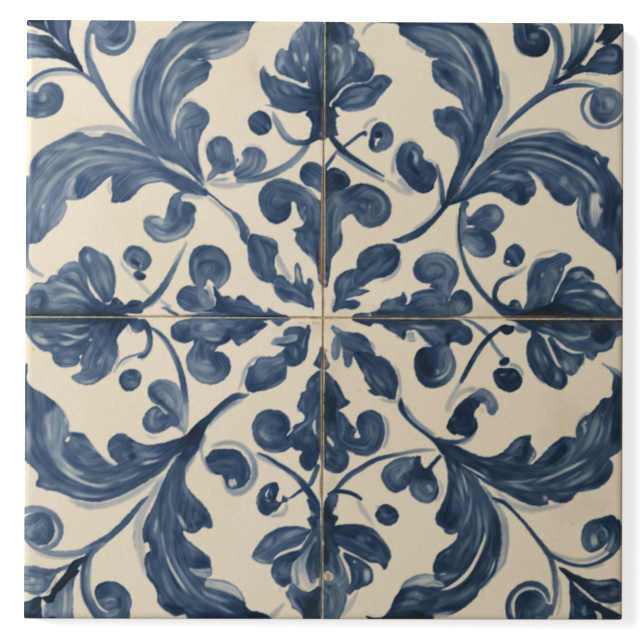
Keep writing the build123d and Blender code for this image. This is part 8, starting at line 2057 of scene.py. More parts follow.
def se_corner():
    line([(42.9, -45, 0.3, 0.86), (44.2, -45.6, 0.5, 0.9), (45.4, -46, 0.55, 0.92),
          (46.7, -47, 0.45, 0.9), (48.3, -48.5, 0.42, 0.84), (50, -50.3, 0.42, 0.84),
          (51.6, -52.1, 0.45, 0.84), (53.1, -54, 0.5, 0.84), (54.7, -56.1, 0.6, 0.84),
          (56, -57.7, 0.65, 0.8), (57, -59, 0.75, 0.78), (58.2, -60, 0.6, 0.8)])
    light([(44.3, -46.3, 0.12, 0.1), (45.5, -47.2, 0.18, 0.05), (46.6, -48.1, 0.12, 0.1)])
    wash([(56.7, -57.8, 0.25, 0.4), (58.6, -59.2, 0.45, 0.32), (61, -60.1, 0.5, 0.28),
          (64, -60.7, 0.5, 0.28), (67, -60.6, 0.5, 0.3), (69.6, -59.8, 0.5, 0.36),
          (71.6, -58.5, 0.45, 0.42), (72.9, -56.8, 0.4, 0.46)])
    line([(57.6, -59.6, 0.6, 0.84), (60.1, -60.8, 0.5, 0.84), (62.4, -61.7, 0.48, 0.84),
          (64.9, -62.2, 0.45, 0.82), (67.5, -62.1, 0.45, 0.82), (70.1, -61.2, 0.5, 0.84),
          (72.6, -59.7, 0.6, 0.88), (74.3, -57.8, 0.7, 0.9), (75.3, -55.6, 0.75, 0.95),
          (75.4, -53.3, 0.8, 0.98), (74.6, -51.2, 0.8, 0.98)])
    wash([(66, -62.9, 0.15, 0.35), (69, -62.6, 0.2, 0.35), (71.5, -61.6, 0.2, 0.35)])
    body([(65.4, -55.4), (65.6, -53.4), (66.5, -51.6), (68, -50.6), (70, -50.1), (71.8, -49.6),
          (73.4, -49.3), (74.2, -50), (74.6, -51.6), (75.4, -53.5), (75.4, -56), (74.6, -58), (73, -59),
          (71.2, -57.9), (69.5, -58.5), (68, -58.8), (66.5, -58.3), (65.8, -57.2)],
         [(67, -56, 0.66), (68, -52.5, 0.74), (71.5, -51, 0.9), (74, -54, 0.84), (73, -57.5, 0.66)])
    dark([(66.1, -55.5, 0.4, 0.74), (66.4, -53.3, 0.5, 0.8), (67.6, -51.7, 0.6, 0.84),
          (69.8, -50.9, 0.6, 0.9), (71.8, -50.6, 0.9, 0.98), (73.2, -50.8, 0.9, 1.02),
          (74, -52.4, 0.8, 0.98)])
    light([(67.8, -53.8, 0.5, 0.56), (68.6, -55, 0.7, 0.4), (68.9, -56.4, 0.8, 0.26),
           (69.5, -57.4, 0.5, 0.28)])
    dark([(70.4, -53.8, 0.4, 0.7), (70.9, -55, 0.45, 0.72), (70.6, -56.1, 0.35, 0.7)])
    light([(70, -52.4, 0.4, 0.6), (71.4, -53, 0.35, 0.5), (71.9, -54.3, 0.3, 0.46),
           (71.6, -55.7, 0.3, 0.44)])
    light([(73.4, -53.6, 0.35, 0.6), (73.4, -55.5, 0.4, 0.52), (72.6, -57.4, 0.5, 0.46),
           (71.4, -58.7, 0.4, 0.42)])
    light([(72.2, -56.4, 0.16, 0.2), (71.4, -57.4, 0.24, 0.1), (70.2, -58.4, 0.28, 0.08),
           (68.8, -58.9, 0.2, 0.12)], strength=1.0)
    light([(70.5, -51.9, 0.12, 0.4), (70.8, -52.4, 0.12, 0.35)])
    # stem to the foot curl
    wash([(59.6, -64.5, 0.2, 0.25), (60.1, -67.5, 0.35, 0.26), (60.2, -70.5, 0.35, 0.25),
          (59.8, -73.5, 0.35, 0.24), (59, -75.4, 0.3, 0.24)])
    line([(57, -59.2, 0.6, 0.8), (58, -61.3, 0.65, 0.72), (58.7, -63.9, 0.65, 0.62),
          (59, -66.6, 0.65, 0.6), (59, -69.4, 0.6, 0.58), (58.6, -72, 0.6, 0.56),
          (57.9, -74.4, 0.5, 0.6)])
    dark([(57.1, -60.4, 0.25, 0.86), (58, -63, 0.25, 0.78), (58.3, -66, 0.2, 0.74),
          (58.3, -69, 0.2, 0.7)])
    light([(59, -63.4, 0.2, 0.48), (59.4, -66.6, 0.22, 0.46), (59.3, -69.6, 0.2, 0.46)])
    line([(48.2, -76.6, 0.7, 0.82), (47.2, -74.6, 0.8, 0.8), (46.9, -72.4, 0.75, 0.84),
          (47.5, -70.2, 0.75, 0.84), (49, -68.4, 0.8, 0.82), (51.2, -67.1, 0.85, 0.84),
          (53.5, -66.9, 0.85, 0.84), (55.6, -67.8, 0.8, 0.8), (56.8, -69.4, 0.65, 0.72),
          (57.2, -71, 0.5, 0.6)])
    light([(47.4, -75, 0.25, 0.6), (47.3, -72.3, 0.2, 0.64)])
    body([(49.4, -77), (48.6, -74), (48.5, -72.1), (49, -70.3), (50.3, -68.9), (52.4, -68.3),
          (54.4, -68.5), (55.9, -69.8), (56.5, -71.3), (57.2, -71.9), (58.3, -72.2), (58.3, -73.8),
          (57, -75.5), (56, -77)],
         [(50, -75, 0.84), (51, -71, 0.94), (54.5, -72.5, 0.76), (57, -73.5, 0.64)])
    dark([(50, -72.5, 0.7, 0.92), (50.8, -70.3, 0.8, 0.98), (52.6, -69.6, 0.8, 1.0),
          (53.8, -70.6, 0.6, 0.92)])
    light([(55, -70.2, 0.4, 0.62), (56, -71, 0.4, 0.56), (55.4, -72.6, 0.5, 0.6), (54, -73.8, 0.6, 0.64),
           (52, -73.9, 0.5, 0.68)])
    light([(55.4, -75.3, 0.5, 0.62), (53.4, -75.7, 0.5, 0.66)])
    light([(48.4, -75.4, 0.25, 0.3), (48, -73.3, 0.3, 0.24), (48.2, -71.3, 0.34, 0.2),
           (49.2, -69.5, 0.34, 0.2), (50.8, -68.2, 0.3, 0.24), (52.6, -67.8, 0.3, 0.2),
           (54.4, -68.2, 0.3, 0.18), (55.6, -69, 0.2, 0.4)])
    light([(56.8, -70.6, 0.25, 0.28), (57.2, -71.4, 0.2, 0.3)])
    # corner petals
    body([(59.7, -62.5), (61.1, -62.8), (63.1, -63.9), (64.9, -64.7), (66.2, -65.3), (68, -65.6),
          (70, -65.8), (72.1, -65.6), (74.2, -65.5), (75.4, -66.3), (77, -67.6), (77, -70.4), (75, -71.4),
          (73, -71.8), (71, -71.6), (69.5, -71), (68, -69.9), (66, -68.2), (64.5, -66.9), (63.3, -66.2),
          (62.6, -66.2), (61.6, -64.8), (60.3, -63.6)],
         [(60.5, -63, 1.06), (64, -65.3, 1.08), (68, -68, 0.96), (73, -68.5, 0.86), (76.5, -69, 0.86)])
    light([(66.2, -65.9, 0.3, 0.6), (68.3, -66.4, 0.45, 0.5), (70.6, -66.7, 0.5, 0.52),
           (72.8, -66.5, 0.4, 0.6), (74.5, -67.1, 0.4, 0.7)])
    dark([(68.6, -67.8, 0.4, 0.96), (70.6, -68, 0.5, 1.02), (72.6, -67.8, 0.4, 0.98),
          (70.8, -69, 0.4, 0.96)])
    light([(72.2, -69.4, 0.4, 0.72), (74, -69.2, 0.5, 0.72), (74.8, -68, 0.35, 0.7)])
    light([(68.8, -69.9, 0.3, 0.7), (70.8, -70, 0.4, 0.66), (72.4, -69.8, 0.3, 0.7)])
    dark([(71, -71.1, 0.35, 1.0), (73.2, -71.1, 0.4, 0.98), (75.2, -70.4, 0.4, 0.94)])
    light([(71.4, -72, 0.15, 0.3), (73.2, -72.3, 0.3, 0.34), (75.4, -72, 0.3, 0.3)])
    body([(62.6, -66), (62.5, -68.5), (62.6, -70.8), (62.7, -72.9), (62.4, -75), (62.5, -77), (69.2, -77),
          (69.6, -75.3), (69.2, -74), (68.8, -73.7), (70.2, -74), (70.8, -75.4), (71, -77), (77, -77),
          (77, -75.3), (75.4, -74.6), (73.9, -73.7), (71.6, -72.8), (69.9, -71.7), (67.8, -70.3),
          (65.7, -68.4), (63.9, -66.8)],
         [(63.5, -67.5, 0.95), (64, -72, 0.9), (67, -73.5, 0.9), (71, -73.5, 1.04), (76, -76, 1.06)])
    dark([(64.2, -69, 0.8, 1.0), (65.4, -70.8, 0.8, 1.0), (67.2, -72, 0.6, 1.02),
          (69.6, -72.8, 0.7, 1.08), (72, -74, 0.8, 1.1), (74.5, -75.6, 0.9, 1.1)])
    light([(63.2, -70.4, 0.25, 0.66), (63.3, -73, 0.3, 0.62), (63.2, -75.6, 0.25, 0.7)])
    light([(66.9, -71.9, 0.3, 0.62), (66.2, -73, 0.45, 0.5), (66.3, -74.3, 0.5, 0.5),
           (67.3, -74.9, 0.35, 0.54)])
    light([(69.6, -73.6, 0.15, 0.35), (69.9, -74.8, 0.25, 0.2), (70.2, -76.2, 0.25, 0.15)])
    light([(71.4, -72.6, 0.15, 0.5), (73.4, -73.1, 0.18, 0.46)])
    light([(63.4, -66.4, 0.14, 0.1), (64.6, -67.5, 0.22, 0.06), (66.3, -69, 0.24, 0.05),
           (68, -70.5, 0.24, 0.05), (69.6, -71.7, 0.18, 0.1)], strength=1.0)


def se_right_leaf():
    wash([(43, -42.7, 0.3, 0.36), (45.5, -44.8, 0.5, 0.3), (47.6, -46.5, 0.7, 0.27),
          (50, -47.5, 0.85, 0.25), (53, -48, 0.8, 0.26), (56, -47.6, 0.7, 0.26), (59, -47.1, 0.5, 0.27),
          (61.5, -46.5, 0.3, 0.3)])
    wash([(67.6, -22.9, 0.15, 0.25), (66, -23.9, 0.4, 0.26), (64.9, -25.4, 0.35, 0.34),
          (64.3, -27.2, 0.3, 0.46), (64, -29.2, 0.25, 0.5)])
    body([(70.5, -10.7), (72.1, -11.4), (73.9, -12), (75.2, -12.8), (77, -14), (77, -31.5), (76, -32.2),
          (74.9, -33.3), (73.4, -34.4), (72.6, -34.9), (73.1, -35.7), (73.5, -37), (73.2, -38.6),
          (72.4, -40.3), (71.1, -41.6), (69.6, -42.5), (68.3, -42.9), (66.2, -43.3), (64.5, -43.7),
          (63.6, -44.7), (62.6, -45.8), (61.1, -46.3), (59.3, -46.2), (58, -45.7), (57.1, -45.5),
          (57, -46.5), (55.9, -46.8), (54.4, -47.1), (52.9, -46.9), (51.3, -46.4), (49.5, -45.6),
          (47.7, -44.7), (45.7, -43.7), (43.6, -42.6), (41.8, -41.6), (40.3, -40.7), (38.5, -39.4),
          (36, -37.6), (33, -35.8), (30.4, -34.2), (29.2, -32.4), (29.6, -31.2), (31.2, -31),
          (33.2, -31.6), (35.8, -32.8), (38, -33.8), (40.6, -34.6), (42.6, -34.5), (44.7, -33.7),
          (46.2, -32.6), (47.5, -31.1), (49, -29.8), (50.8, -29.1), (52.4, -29), (52.7, -29.5),
          (52.4, -30.8), (52.8, -31.7), (53.6, -32.6), (54, -33.6), (53.4, -35.2), (52, -36.4),
          (52.6, -36.6), (53.4, -35.9), (54.7, -34.8), (55.9, -33.4), (57.5, -31.8), (59.3, -30.3),
          (60.6, -29.5), (61.8, -29.4), (63.6, -29.6), (64.1, -29.8), (64, -28), (64.7, -25.9),
          (66, -24.4), (67.3, -23.7), (68.5, -22.5), (69.8, -21), (70.3, -20), (71.3, -19.5),
          (72.9, -19.3), (73.3, -18.4), (73.1, -16.9), (73.3, -15.4), (73.3, -13.6), (72.2, -12.2)],
         [(31, -33, 0.95), (38, -36.5, 0.84), (46, -39, 0.86), (55, -40.5, 0.82), (63, -38, 0.78),
          (69, -32, 0.78), (72.5, -25, 0.82), (74.5, -16, 0.92), (72.5, -12, 0.5)])
    # tip and outer lobe
    light([(71.6, -11.4, 0.2, 0.4), (73.3, -12.1, 0.35, 0.36), (74.6, -13, 0.5, 0.38),
           (76, -14.1, 0.5, 0.4)])
    dark([(74.4, -14.6, 0.7, 0.96), (75, -17, 1.2, 0.96), (74.9, -20, 1.2, 0.96),
          (74.7, -23.5, 1.1, 0.98), (74.5, -27.5, 1.3, 1.02), (74.2, -30.5, 1.3, 1.02),
          (73, -33, 0.9, 0.98)])
    dark([(70.8, -20.4, 0.5, 0.88), (72.4, -20.6, 0.7, 0.9), (71.7, -22.4, 0.5, 0.84)])
    light([(72.8, -23.5, 0.3, 0.62), (72.7, -26.5, 0.35, 0.6), (72, -29.5, 0.4, 0.64),
           (70.6, -32.4, 0.4, 0.66)])
    dark([(71.7, -24, 0.3, 0.78), (71.6, -27, 0.3, 0.78), (70.6, -30.2, 0.3, 0.8)])
    light([(69.4, -23.4, 0.5, 0.54), (69.3, -25, 0.8, 0.46), (68.8, -27, 0.9, 0.5),
           (68, -29.3, 0.9, 0.54), (66.9, -31.6, 0.8, 0.5), (65.6, -33.6, 0.6, 0.56)])
    light([(70.8, -24.8, 0.35, 0.5), (70.6, -27.4, 0.35, 0.48), (69.6, -30.2, 0.35, 0.52),
           (68, -32.8, 0.35, 0.54)])
    light([(70.6, -23.8, 0.16, 0.12), (70.75, -24.1, 0.12, 0.2)], strength=1.0)
    dark([(67.9, -24.2, 0.3, 0.8), (67.2, -25.6, 0.35, 0.8), (67, -27.6, 0.3, 0.74)])
    light([(66.4, -25.2, 0.3, 0.26), (65.9, -26.4, 0.5, 0.4), (66.3, -27.6, 0.4, 0.36),
           (66, -29.2, 0.5, 0.5)])
    dark([(64.7, -27.4, 0.35, 0.78), (64.5, -29.4, 0.4, 0.8), (64.8, -31, 0.3, 0.74)])
    light([(66.6, -26.2, 0.2, 0.1), (66.2, -25.4, 0.2, 0.1)])
    # long pale line and the bands beside it
    light([(68.8, -34.2, 0.15, 0.4), (67.5, -35, 0.35, 0.22), (65.5, -36, 0.42, 0.16),
           (63.1, -37.2, 0.45, 0.2), (60.6, -38.3, 0.45, 0.26), (58, -39.5, 0.42, 0.3),
           (55.8, -40.2, 0.38, 0.2), (54.2, -40.9, 0.28, 0.3), (52.5, -41.3, 0.2, 0.5)])
    dark([(71, -31.6, 0.5, 0.84), (69.3, -33.8, 0.7, 0.86), (67.3, -35.9, 0.7, 0.86),
          (64.5, -37.7, 0.6, 0.88), (61.5, -39.2, 0.5, 0.88), (58.5, -40.6, 0.5, 0.9),
          (55.8, -41.6, 0.5, 0.94), (53.2, -41.6, 0.4, 0.92)])
    light([(69.3, -37.2, 0.6, 0.52), (67.3, -39, 0.7, 0.48), (65, -40.4, 0.6, 0.5),
           (62.5, -41.6, 0.45, 0.48), (60, -42.3, 0.3, 0.56)])
    light([(65.8, -37.9, 0.25, 0.62), (62.8, -39.7, 0.25, 0.6), (60, -41, 0.2, 0.64)])
    dark([(72.5, -36, 0.8, 1.0), (72.3, -38.2, 1.0, 1.04), (71, -40, 1.0, 1.0), (69, -41.4, 0.7, 0.96),
          (66.3, -42, 0.5, 0.94), (63.5, -42.7, 0.6, 0.94), (60.4, -43.4, 0.6, 0.92),
          (57.4, -43.1, 0.6, 0.94), (55.6, -42.2, 0.5, 0.96)])
    dark([(59, -45.2, 0.4, 0.92), (60.8, -45.4, 0.5, 0.92), (62.4, -44.7, 0.5, 0.9),
          (63.4, -43.8, 0.4, 0.9)])
    light([(58.6, -43.9, 0.3, 0.62), (61, -43.9, 0.3, 0.64), (64, -43.3, 0.25, 0.66)])
    light([(66, -43.3, 0.2, 0.4), (68.4, -42.8, 0.2, 0.44)])
    light([(55.4, -44.6, 0.4, 0.5), (56.3, -45, 0.5, 0.32), (56.4, -45.9, 0.4, 0.4)])
    dark([(46.5, -43.6, 0.4, 0.9), (49.5, -44.9, 0.6, 0.92), (52.5, -46, 0.6, 0.92),
          (54.8, -46.3, 0.45, 0.88), (53.8, -44.8, 0.6, 0.88), (51, -43.8, 0.5, 0.88)])
    light([(46.5, -41.4, 0.35, 0.48), (49, -41.9, 0.45, 0.44), (51.4, -42.5, 0.4, 0.48),
           (53.4, -42.9, 0.25, 0.6)])
    light([(44.5, -41, 0.3, 0.5), (47.5, -40.9, 0.28, 0.42), (50.5, -40.9, 0.28, 0.42),
           (53, -40.3, 0.25, 0.42), (55.3, -39.5, 0.2, 0.5)])
    # third lobe
    light([(46.8, -33.6, 0.5, 0.6), (48.4, -32.2, 0.6, 0.58), (49.8, -30.6, 0.5, 0.62),
           (51, -29.8, 0.3, 0.66)])
    dark([(52, -30, 0.4, 0.9), (51.4, -31.6, 0.7, 0.94), (51.3, -33.4, 0.9, 1.0),
          (50.2, -35.2, 0.8, 0.96), (48.4, -36.6, 0.6, 0.9)])
    light([(53, -32.3, 0.25, 0.42), (53.4, -33.4, 0.35, 0.34), (53, -34.6, 0.35, 0.3),
           (52.2, -35.8, 0.3, 0.2), (51.2, -36.4, 0.18, 0.3)])
    light([(45.3, -35.5, 0.4, 0.66), (47, -34.9, 0.4, 0.62), (48.4, -34.2, 0.3, 0.64)])
    dark([(38.5, -34.9, 0.35, 0.92), (41.5, -35.4, 0.4, 0.88), (44.5, -35.1, 0.35, 0.84)])
    dark([(46.5, -37.2, 0.5, 0.92), (49.5, -37.6, 0.6, 0.92), (53, -37, 0.5, 0.88),
          (55.2, -36, 0.4, 0.86)])
    # second lobe
    dark([(59.4, -31, 0.5, 0.98), (60.4, -31.2, 0.9, 1.06), (60.6, -32.6, 1.1, 1.06),
          (59.4, -34.2, 1.1, 1.02), (57.3, -35.8, 0.9, 0.95), (54.5, -37, 0.5, 0.88)])
    light([(61.9, -30.4, 0.3, 0.64), (63, -30.9, 0.4, 0.52), (63.4, -32.3, 0.5, 0.56),
           (62.8, -34, 0.4, 0.6), (61.5, -35.8, 0.3, 0.6), (59.8, -37.2, 0.2, 0.66)])
    dark([(64, -33.4, 0.3, 0.74), (63.2, -35.2, 0.35, 0.78), (61.4, -36.8, 0.35, 0.82),
          (58.8, -38.2, 0.4, 0.84)])
    light([(55.6, -38, 0.3, 0.66), (58.5, -37, 0.35, 0.66)])
    # where the leaf leaves the hub
    dark([(31.6, -31.9, 0.5, 0.98), (34, -33, 0.7, 0.98), (36.8, -34.4, 0.7, 0.98),
          (39.5, -36, 0.7, 0.96), (43, -38, 0.8, 0.94), (46.5, -39.4, 0.9, 0.96), (50, -39.2, 0.6, 0.9)])
    light([(38, -35, 0.25, 0.72), (41, -36, 0.3, 0.68), (44, -36.6, 0.3, 0.68)])
    light([(39.5, -37.6, 0.25, 0.66), (42, -38.9, 0.3, 0.64)])
    light([(33.8, -36, 0.1, 0.3), (35.3, -36.8, 0.2, 0.14), (37, -37.6, 0.2, 0.1),
           (38.6, -38.5, 0.24, 0.05), (40, -39.3, 0.22, 0.05), (41.3, -40.1, 0.14, 0.15)], strength=1.0)
    dark([(39.5, -40.3, 0.25, 0.88), (42, -41.4, 0.3, 0.9), (44.5, -42.7, 0.3, 0.92)])
    light([(40.5, -39.8, 0.2, 0.5), (42.6, -40.7, 0.25, 0.5)])


def se_lower_leaf():
    body([(40.2, -41.6), (41.6, -42.8), (43.6, -45.4), (45.4, -48), (46.5, -50.3), (47, -52.9),
          (47.1, -56.2), (46.8, -59.3), (46.1, -61.8), (44.9, -63.3), (43.4, -65), (41.8, -66.9),
          (40, -68.4), (39.4, -67.4), (43, -62), (44.4, -56), (44, -50), (42, -45.4)],
         [(41.5, -43.5, 0.4), (45, -49, 0.3), (46, -55, 0.34), (45.4, -61, 0.3),
          (42, -66, 0.34)], pool=0, soft=0.6)
    dark([(45.8, -49.5, 0.3, 0.4), (46.6, -53, 0.3, 0.46), (46.6, -57, 0.3, 0.46), (46, -61, 0.25, 0.4)])
    light([(42.4, -45.8, 0.3, 0.22), (44.2, -48.6, 0.4, 0.2), (45.4, -52, 0.35, 0.22)])
    body([(30.2, -34.3), (30.9, -35.8), (31.1, -37), (31.4, -39), (31.4, -41.1), (31.2, -43.4),
          (30.5, -45.5), (29.5, -47.5), (28.7, -48.8), (28.3, -50.1), (28.7, -51.6), (29.8, -52.6),
          (30.3, -52.8), (30.8, -53.9), (32.1, -54.3), (33.4, -54.1), (34, -53.8), (33.7, -55.3),
          (32.6, -56.7), (31.1, -57.8), (29.5, -58.8), (28.5, -60.1), (28, -61.6), (27.6, -63.2),
          (28.1, -64.4), (26, -64.4), (23.9, -64.7), (22.1, -65.5), (20.5, -66.6), (19.7, -67.8),
          (19.1, -69), (18.2, -70.2), (17.5, -71.6), (16.7, -73.7), (15.4, -75), (14.4, -75.5),
          (12.6, -75.5), (10.7, -75), (11.2, -75.8), (12.2, -77), (27.4, -77), (28.2, -75.2),
          (29.8, -74.8), (32.3, -74.6), (34.1, -73.9), (36.2, -72.5), (37.9, -71.1), (38.9, -70),
          (39.5, -68.5), (40.3, -67.8), (41.6, -66.5), (42.9, -64.9), (43.9, -63.2), (44.2, -61.6),
          (44.8, -59.6), (45.1, -57.5), (45.2, -54.9), (44.9, -51.9), (44.4, -49.8), (43.6, -48),
          (42.6, -46.5), (41.6, -44.4), (40.3, -42.4), (39.4, -40.8), (38, -39), (35.5, -37),
          (32.5, -35.2)],
         [(31, -35, 0.9), (35, -40, 0.78), (38.5, -46, 0.78), (40.5, -54, 0.8), (39, -61, 0.84),
          (35, -67, 0.84), (28, -71, 0.86), (20, -74, 0.94), (12, -75.8, 1.08)])
    # outer lobe
    dark([(40.2, -43.4, 0.35, 0.88), (41.8, -46.4, 0.5, 0.9), (43.3, -49.6, 0.7, 0.92),
          (44, -53, 0.9, 0.98), (43.9, -57, 1.0, 0.98), (42.9, -60.6, 1.0, 0.92), (41, -64, 1.1, 0.92),
          (38.6, -67, 1.0, 0.96), (36, -69.6, 0.9, 0.96)])
    dark([(41.7, -49, 0.4, 0.9), (42.3, -52.5, 0.4, 0.9), (41.9, -56.5, 0.5, 0.94),
          (40.6, -60, 0.6, 0.94), (38.6, -63.6, 0.6, 0.98), (36.4, -66.6, 0.6, 1.0),
          (33.6, -68.8, 0.6, 1.02), (30.8, -70.4, 0.6, 1.0)])
    light([(40.6, -48.8, 0.2, 0.62), (41.1, -51.5, 0.3, 0.54), (41.4, -54, 0.25, 0.56),
           (41.1, -57, 0.15, 0.66)])
    light([(43.6, -59.8, 0.16, 0.3), (43, -62.4, 0.28, 0.14), (42.1, -64.4, 0.22, 0.25),
           (41.4, -65.8, 0.15, 0.45)])
    light([(42.8, -58.6, 0.25, 0.6), (42.3, -61.5, 0.3, 0.6), (41.1, -64.6, 0.3, 0.64)])
    light([(39.3, -66.4, 0.4, 0.66), (37.6, -68.2, 0.6, 0.6), (35.4, -69.8, 0.5, 0.64),
           (33, -71, 0.35, 0.7)])
    dark([(38.2, -69.9, 0.5, 0.92), (36, -71.5, 0.7, 0.96), (33.4, -72.8, 0.8, 0.98),
          (30.5, -73.4, 0.8, 1.0), (27.4, -73.4, 0.8, 1.04)])
    light([(33.8, -73.6, 0.3, 0.5), (31.4, -74.2, 0.4, 0.44), (28.8, -74.6, 0.35, 0.46),
           (26.4, -74.5, 0.3, 0.56)])
    light([(30, -72.8, 0.25, 0.66), (27.4, -72.6, 0.25, 0.66)])
    # the long pale line
    light([(40.9, -53.2, 0.15, 0.3), (40.9, -55, 0.3, 0.12), (40.2, -57.2, 0.38, 0.06),
           (39.3, -59.4, 0.4, 0.06), (38.2, -61.6, 0.45, 0.04), (37, -63.6, 0.5, 0.04),
           (35.2, -65.6, 0.55, 0.03), (33.3, -67, 0.5, 0.04), (31.5, -68, 0.34, 0.06),
           (29.4, -68.4, 0.2, 0.2)], strength=1.0)
    light([(38.7, -44.6, 0.25, 0.56), (39, -47.8, 0.4, 0.52), (39.5, -51.4, 0.5, 0.52),
           (39.4, -54.6, 0.45, 0.56), (38.6, -57.6, 0.4, 0.62), (37.2, -60.6, 0.4, 0.66)])
    dark([(37.3, -43, 0.4, 0.84), (38, -46, 0.4, 0.86), (38.4, -50, 0.4, 0.84), (38, -54, 0.4, 0.8)])
    light([(36.7, -41.5, 0.25, 0.6), (37.4, -44.4, 0.25, 0.56), (37.3, -46.8, 0.3, 0.4),
           (36.8, -49.2, 0.32, 0.42), (35.9, -51.4, 0.35, 0.4), (34.8, -52.9, 0.3, 0.46)])
    # third lobe
    dark([(32, -39, 0.5, 0.92), (32.3, -42, 0.6, 0.92), (31.9, -45, 0.8, 0.92), (31.3, -47.6, 1.2, 1.0),
          (30.6, -50.2, 1.4, 1.02), (32, -52, 1.1, 0.98), (33.4, -49.6, 1.2, 0.96),
          (34, -46.6, 0.9, 0.92)])
    light([(33.6, -39, 0.3, 0.66), (34.2, -41.2, 0.5, 0.54), (34.9, -43.4, 0.5, 0.52),
           (35.3, -45.8, 0.4, 0.6), (35.2, -48.4, 0.3, 0.72)])
    light([(34.2, -37.4, 0.14, 0.3), (35.2, -39.2, 0.2, 0.16), (35.9, -41.4, 0.2, 0.2),
           (36.3, -43.6, 0.2, 0.24), (36.3, -45.4, 0.14, 0.4)])
    light([(31.6, -53.7, 0.35, 0.66), (33.4, -53.3, 0.35, 0.66)])
    dark([(36.6, -52.4, 0.5, 0.86), (35.4, -54.6, 0.6, 0.88), (33.6, -57, 0.5, 0.84)])
    light([(37.4, -53.8, 0.35, 0.64), (36.4, -56.4, 0.5, 0.64), (34.8, -58.6, 0.5, 0.66),
           (32.8, -60, 0.4, 0.72)])
    # second lobe
    light([(32.4, -58.2, 0.4, 0.66), (30.6, -59.4, 0.5, 0.68)])
    dark([(28.7, -61.2, 0.5, 0.96), (28.8, -62.8, 0.7, 1.0), (30, -62.2, 0.8, 1.0),
          (31.8, -62.4, 0.7, 0.95), (34, -61.6, 0.6, 0.88), (36, -59.8, 0.4, 0.84)])
    dark([(28.9, -63.8, 0.4, 0.94), (31.4, -63.3, 0.4, 0.94), (33.8, -63.2, 0.4, 0.86)])
    light([(29.2, -64.5, 0.16, 0.2), (30.4, -64.4, 0.2, 0.14), (31.6, -64.1, 0.14, 0.35)])
    light([(29, -65.4, 0.5, 0.56), (31, -65.2, 0.6, 0.56), (33, -64.8, 0.5, 0.56),
           (35, -63.6, 0.3, 0.62)])
    dark([(28.4, -65, 0.2, 0.78), (28.6, -66, 0.25, 0.72), (30.4, -66.4, 0.25, 0.66)])
    # first lobe: a pale fold over a worn, speckled end
    body([(27.9, -64.5), (26, -64.4), (23.9, -64.7), (22.1, -65.5), (20.5, -66.7), (19.9, -67.9),
          (21.5, -67.6), (23.5, -67.3), (25.6, -67.6), (28, -67.6), (30.5, -67.6), (30.2, -66.6),
          (28.2, -65.7)],
         [(21, -66.8, 0.42), (24, -66, 0.36), (27, -65.6, 0.28), (29.5, -67, 0.3)], pool=0, soft=0.5)
    dark([(27.6, -64.5, 0.18, 0.44), (24.8, -64.6, 0.18, 0.44), (22.4, -65.4, 0.2, 0.46),
          (20.6, -66.6, 0.25, 0.56), (19.4, -68.4, 0.35, 0.72)])
    light([(21.6, -67.1, 0.3, 0.24), (23.6, -66.4, 0.4, 0.2), (26, -66, 0.4, 0.18),
           (28, -65.2, 0.25, 0.14)])
    dark([(25.4, -66.8, 0.15, 0.5), (28, -66.6, 0.2, 0.54), (30.4, -67.2, 0.25, 0.5)])
    dark([(20.8, -68.8, 0.4, 0.86), (22.8, -67.9, 0.4, 0.88), (25, -68.1, 0.4, 0.86),
          (27.4, -68.7, 0.5, 0.88), (29.8, -69.3, 0.5, 0.92)])
    dark([(19.2, -69.3, 0.3, 0.96), (18.6, -70.6, 0.5, 1.04), (18, -72.2, 0.5, 1.0),
          (17.2, -73.8, 0.5, 0.98), (16, -75, 0.5, 1.04)])
    light([(20.4, -70.6, 0.6, 0.66), (22.4, -69.6, 0.8, 0.6), (24.6, -70, 0.8, 0.58),
           (26.4, -71, 0.6, 0.66)])
    light([(19.4, -73, 0.5, 0.62), (20.6, -72, 0.7, 0.62), (22.6, -71.6, 0.6, 0.6),
           (24.6, -71.8, 0.5, 0.62)])
    light([(23.4, -69, 0.1, 0.3), (23.9, -69.6, 0.1, 0.26)])
    light([(24.4, -70.6, 0.12, 0.26), (24.7, -71, 0.1, 0.3)])
    light([(22.4, -71, 0.1, 0.34), (22.7, -71.2, 0.08, 0.36)])
    dark([(19.5, -74.6, 0.5, 1.08), (22.5, -74.2, 0.7, 1.1), (25, -75.2, 0.9, 1.12),
          (21, -75.7, 0.8, 1.1), (17.5, -76, 0.5, 1.08), (13.5, -76, 0.4, 1.06)])
    dark([(26.6, -70, 0.3, 0.88), (28.6, -71, 0.5, 0.96), (25, -72.6, 0.5, 0.95), (23, -73.4, 0.4, 0.95)])
    wash([(27.6, -75, 0.3, 0.34), (29.6, -75, 0.35, 0.3), (32, -74.9, 0.3, 0.3)])
    # where the leaf leaves the hub
    dark([(30.6, -34.7, 0.4, 0.98), (31.6, -36.4, 0.4, 0.96), (32.1, -38.4, 0.4, 0.92)])
    light([(32.4, -36.2, 0.25, 0.5), (33.2, -37.6, 0.25, 0.54), (33.4, -39, 0.2, 0.6)])
    dark([(33.8, -36.8, 0.35, 0.84), (35.6, -38.6, 0.4, 0.84), (37, -40.6, 0.4, 0.86),
          (38.2, -42.6, 0.35, 0.86)])
    light([(35, -37.6, 0.2, 0.56), (36.8, -39.4, 0.25, 0.58), (38.3, -41.4, 0.25, 0.6)])


